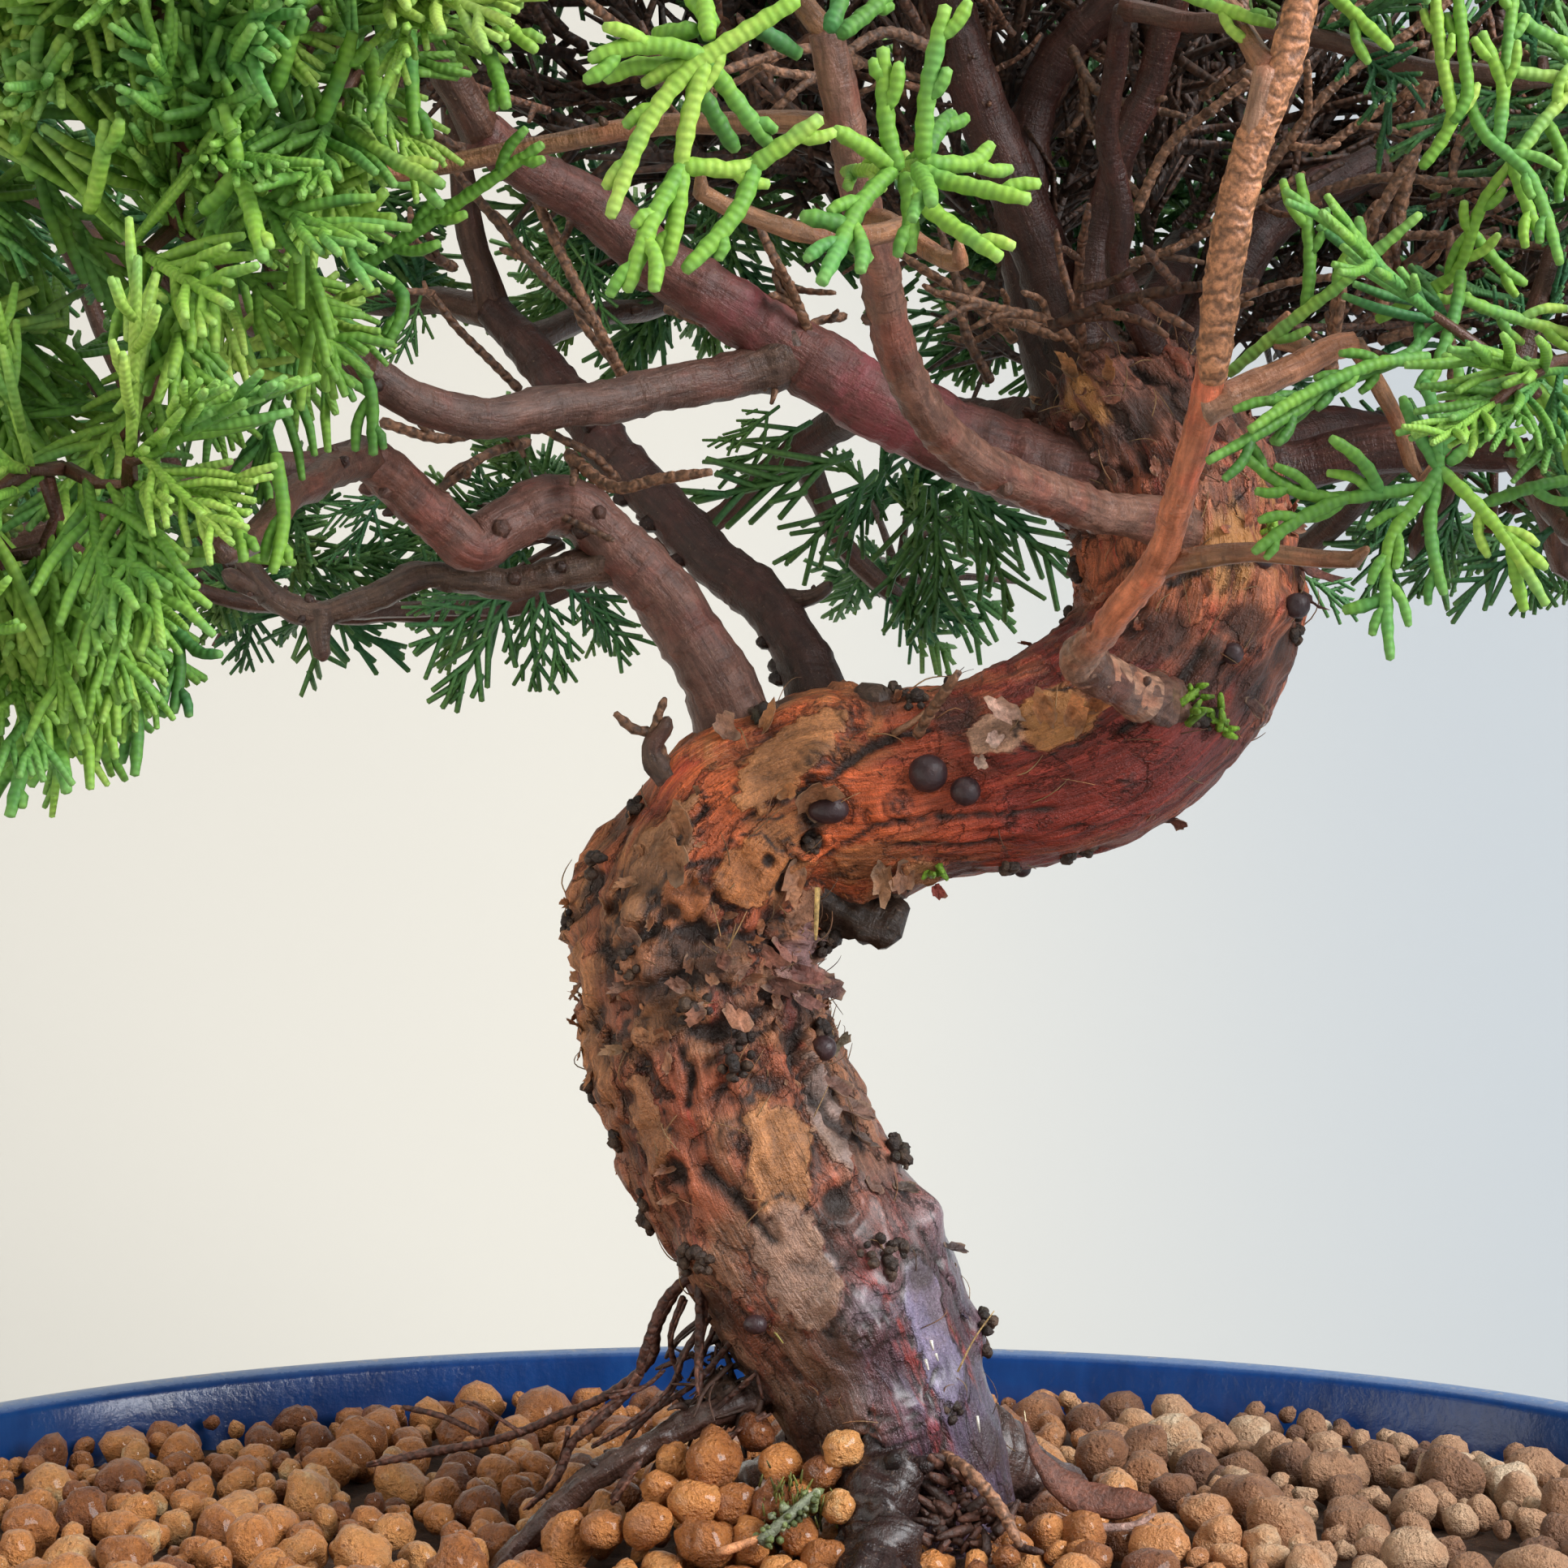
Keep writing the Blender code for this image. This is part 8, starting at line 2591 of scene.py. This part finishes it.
class BONSAI_OT_pot(BuildStep, bpy.types.Operator):
    """The oval glazed pot and its drainage screens"""
    bl_idname = "bonsai.pot"
    bl_label = "Pot"

    def execute(self, context):
        glaze = new_material("cobalt_glaze", paint_glaze, Coat_Weight=0.15, Coat_Roughness=0.15,
                             Specular_IOR_Level=0.4, IOR=1.5)
        add_piece("glazed_pot", pot_mesh(glaze), glaze, ("pot",))
        screen = new_material("dusty_screen", paint_screen)
        for name in ("drainage_screen_left", "drainage_screen_right"):
            node = frame["nodes"][name]
            node.data.materials.clear()
            node.data.materials.append(screen)
        return {"FINISHED"}


class BONSAI_OT_soil(BuildStep, bpy.types.Operator):
    """Fine dark soil under a layer of baked-clay granules"""
    bl_idname = "bonsai.soil"
    bl_label = "Soil"

    def execute(self, context):
        bed = new_material("fine_soil", paint_bed)
        add_piece("fine_soil_bed", soil_bed_mesh(), bed)
        clay = new_material("clay_granules_dry", paint_granules)
        draw = random.Random(71)
        trunk = spaced(TRUNK, 3.0)[0][:14]
        laid = lay_granules(draw, segments_of([trunk, *ROOTS]))
        in_front = laid[:, 1] <= -24
        behind = ~in_front & ((laid[:, 3] < 1.9) | (laid[:, 1] > 26))
        for name, chosen, divisions in (("granules_large", ~in_front & ~behind, 3), ("granules_behind", behind, 2),
                                        ("granules_in_front", in_front, 2)):
            self.lay(name, laid[chosen], divisions, clay, draw)
        return {"FINISHED"}

    def lay(self, name, rows, divisions, clay, draw):
        """Sets granules on rows of place and radius, each turned its own way."""
        aim, face = [np.array([[draw.gauss(0, 1) for _ in range(3)] for _ in rows]) for _ in range(2)]
        table = {"place": rows[:, :3], "aim": aim, "face": face, "size": rows[:, 3],
                 "tone": np.array([draw.random() for _ in rows]),
                 "pick": np.array([draw.randrange(GRANULE_SHAPES) for _ in rows])}
        mesh = scatter(name, granule_shapes(GRANULE_SHAPES, divisions), table, clay, math.pi, 3)
        add_piece(name, mesh, clay, ("soil",))


class BONSAI_OT_wood(BuildStep, bpy.types.Operator):
    """Trunk, limbs, twigs, roots and all that grows on the bark"""
    bl_idname = "bonsai.wood"
    bl_label = "Wood"

    def execute(self, context):
        skin = TrunkSkin()
        bark = new_material("trunk_bark", paint_bark, Coat_Roughness=0.36)
        add_piece("trunk_bark", trunk_mesh(skin), bark, ("wood",))
        pads = pad_list()
        limbs = new_material("limb_bark", paint_limbs, Specular_IOR_Level=0.4, Coat_Roughness=0.25)
        add_piece("limbs_and_roots", limbs_mesh(grow_twigs(pads)), limbs, ("wood",))
        crust = new_material("dead_knobs", paint_crust)
        add_piece("crusty_knobs", crust_mesh(skin), crust, ("wood",))
        buds = new_material("glossy_buds", paint_buds)
        add_piece("round_buds", buds_mesh(skin), buds, ("wood",))
        paper = new_material("torn_paper_bark", paint_flakes)
        shapes = [flake_mesh(f"flake_{k}", k + 2, 0.1 + 0.13 * k) for k in range(FLAKE_SHAPES)]
        rows = flake_rows(skin)
        rows["size"] = rows["size"] * context.scene.bonsai_wood.flakes
        add_piece("bark_flakes", scatter("bark_flakes", shapes, rows, paper, 0.25, 5), paper)
        add_piece("bark_hairs", hairs_mesh(skin), limbs)
        dead = new_material("dry_scales", paint_dead)
        add_piece("dead_shoots", dead_twigs_mesh(DEAD_TWIGS), dead)
        leaf = context.scene.bonsai_leaf
        shapes = [dead_spray_mesh(f"bare_twig_{k}", 40 + k, 19.0, 0.5, 5, 1.4, 4) for k in range(7)]
        inner = inner_rows(leaf.inner_twigs, (-12.0, 40.0), 61, len(shapes), 0.5)
        add_piece("inner_twigs", scatter("inner_twigs", shapes, inner, dead, 0.4, 7), dead)
        shapes = [dead_spray_mesh(f"deep_twig_{k}", 50 + k, 24.0, 0.62, 3, 8.0, 12) for k in range(8)]
        deep = inner_rows(leaf.deep_twigs, (14.0, 46.0), 67, len(shapes), 0.9)
        add_piece("deep_twigs", scatter("deep_twigs", shapes, deep, dead, 0.4, 8), dead)
        litter = new_material("litter", paint_litter)
        add_piece("litter", litter_mesh(skin), litter)
        return {"FINISHED"}


class BONSAI_OT_foliage(BuildStep, bpy.types.Operator):
    """Leafy sprays on every pad and along the twigs"""
    bl_idname = "bonsai.foliage"
    bl_label = "Foliage"

    def execute(self, context):
        settings = context.scene.bonsai_leaf
        length = settings.spray_length / MM
        leaves = new_material("juniper_scales", paint_leaves, Specular_IOR_Level=0.3)
        near_shapes, far_shapes = [
            [spray_mesh(f"{name}_{k}", seed + k, length, radius, sides, gap, 9, forks) for k in range(SPRAY_SHAPES)]
            for name, seed, radius, sides, gap, forks in (
                ("near_spray", 60, NEAR_RADIUS, 5, 2.5, 0.6), ("far_spray", 80, FAR_RADIUS, 3, 6.0, 0.45))]
        pads = pad_list()
        routes = dict(grow_twigs(pads))
        wood = Shape()
        for name, members in PAD_GROUPS.items():
            draw = random.Random(sum(members))
            near = name in ("foliage_left", "foliage_front", "foliage_right")
            rows = []
            if name == "foliage_left":
                rows, twigs = mass_sprays(draw, settings.near_arms, settings.near_sprays, length)
                self.add_twigs(wood, twigs, draw)
            for number in members:
                pad = pads[number - 1]
                if name not in ("foliage_left", "foliage_front"):
                    arms = settings.back_arms if seen_through(pad[1]) else settings.far_arms
                    arms = settings.crown_arms if name == "foliage_crown" or near else arms
                    found, twigs = pad_sprays(pad, draw, arms, settings.far_sprays, length)
                    rows += found + twig_sprays(routes[pad[0]], draw, 6)
                    self.add_twigs(wood, twigs, draw)
            nodes = tuple(pads[number - 1][0] for number in members)
            if name == "foliage_front":
                add_piece(name, near_shoots_mesh(), leaves, nodes)
                continue
            shapes = near_shapes if near else far_shapes
            if name == "foliage_low_ring":
                rows += fan_rows(draw, length)
            if name == "foliage_middle_ring":
                rows += backing_rows(draw, BACKING_SPRAYS, length)
            # Sprays far from the camera carry painted shade, near ones little.
            table = spray_rows(rows, len(shapes), draw, 0.1 if near else 0.65)
            mesh = scatter(name, shapes, table, leaves, 0.35, 9)
            add_piece(name, mesh, leaves, nodes)
        limbs = bpy.data.materials["limb_bark"]
        add_piece("pad_twigs", wood.mesh("pad_twigs"), limbs)
        return {"FINISHED"}

    def add_twigs(self, wood, twigs, draw):
        for twig in twigs:
            line, along = spaced(twig, 3.0)
            tube(wood, line, along, 4, tint=np.array(TWIG_COLOUR) * draw.uniform(0.7, 1.2), dark=0.0, wet=0.0, pink=0.0)


class BONSAI_PT_panel(bpy.types.Panel):
    bl_label = "Kishu juniper bonsai"
    bl_space_type = "VIEW_3D"
    bl_region_type = "UI"
    bl_category = "Bonsai"

    def draw(self, context):
        for step in STEPS:
            self.layout.operator(step.bl_idname)
        for group in ("bonsai_wood", "bonsai_leaf", "bonsai_stage"):
            settings = getattr(context.scene, group)
            for name in settings.__annotations__:
                self.layout.prop(settings, name)


STEPS = (BONSAI_OT_stage, BONSAI_OT_pot, BONSAI_OT_soil, BONSAI_OT_wood, BONSAI_OT_foliage)
GROUPS = {"bonsai_wood": BonsaiWoodSettings, "bonsai_leaf": BonsaiLeafSettings, "bonsai_stage": BonsaiStageSettings}


def register():
    for group in GROUPS.values():
        bpy.utils.register_class(group)
    for name, group in GROUPS.items():
        setattr(bpy.types.Scene, name, PointerProperty(type=group))
    for step in (*STEPS, BONSAI_PT_panel):
        bpy.utils.register_class(step)


def unregister():
    for step in (BONSAI_PT_panel, *reversed(STEPS)):
        bpy.utils.unregister_class(step)
    for name, group in GROUPS.items():
        delattr(bpy.types.Scene, name)
        bpy.utils.unregister_class(group)


def main():
    register()
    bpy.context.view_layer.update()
    for step in STEPS:
        getattr(bpy.ops.bonsai, step.bl_idname.split(".")[1])()


if __name__ == "__main__":
    main()
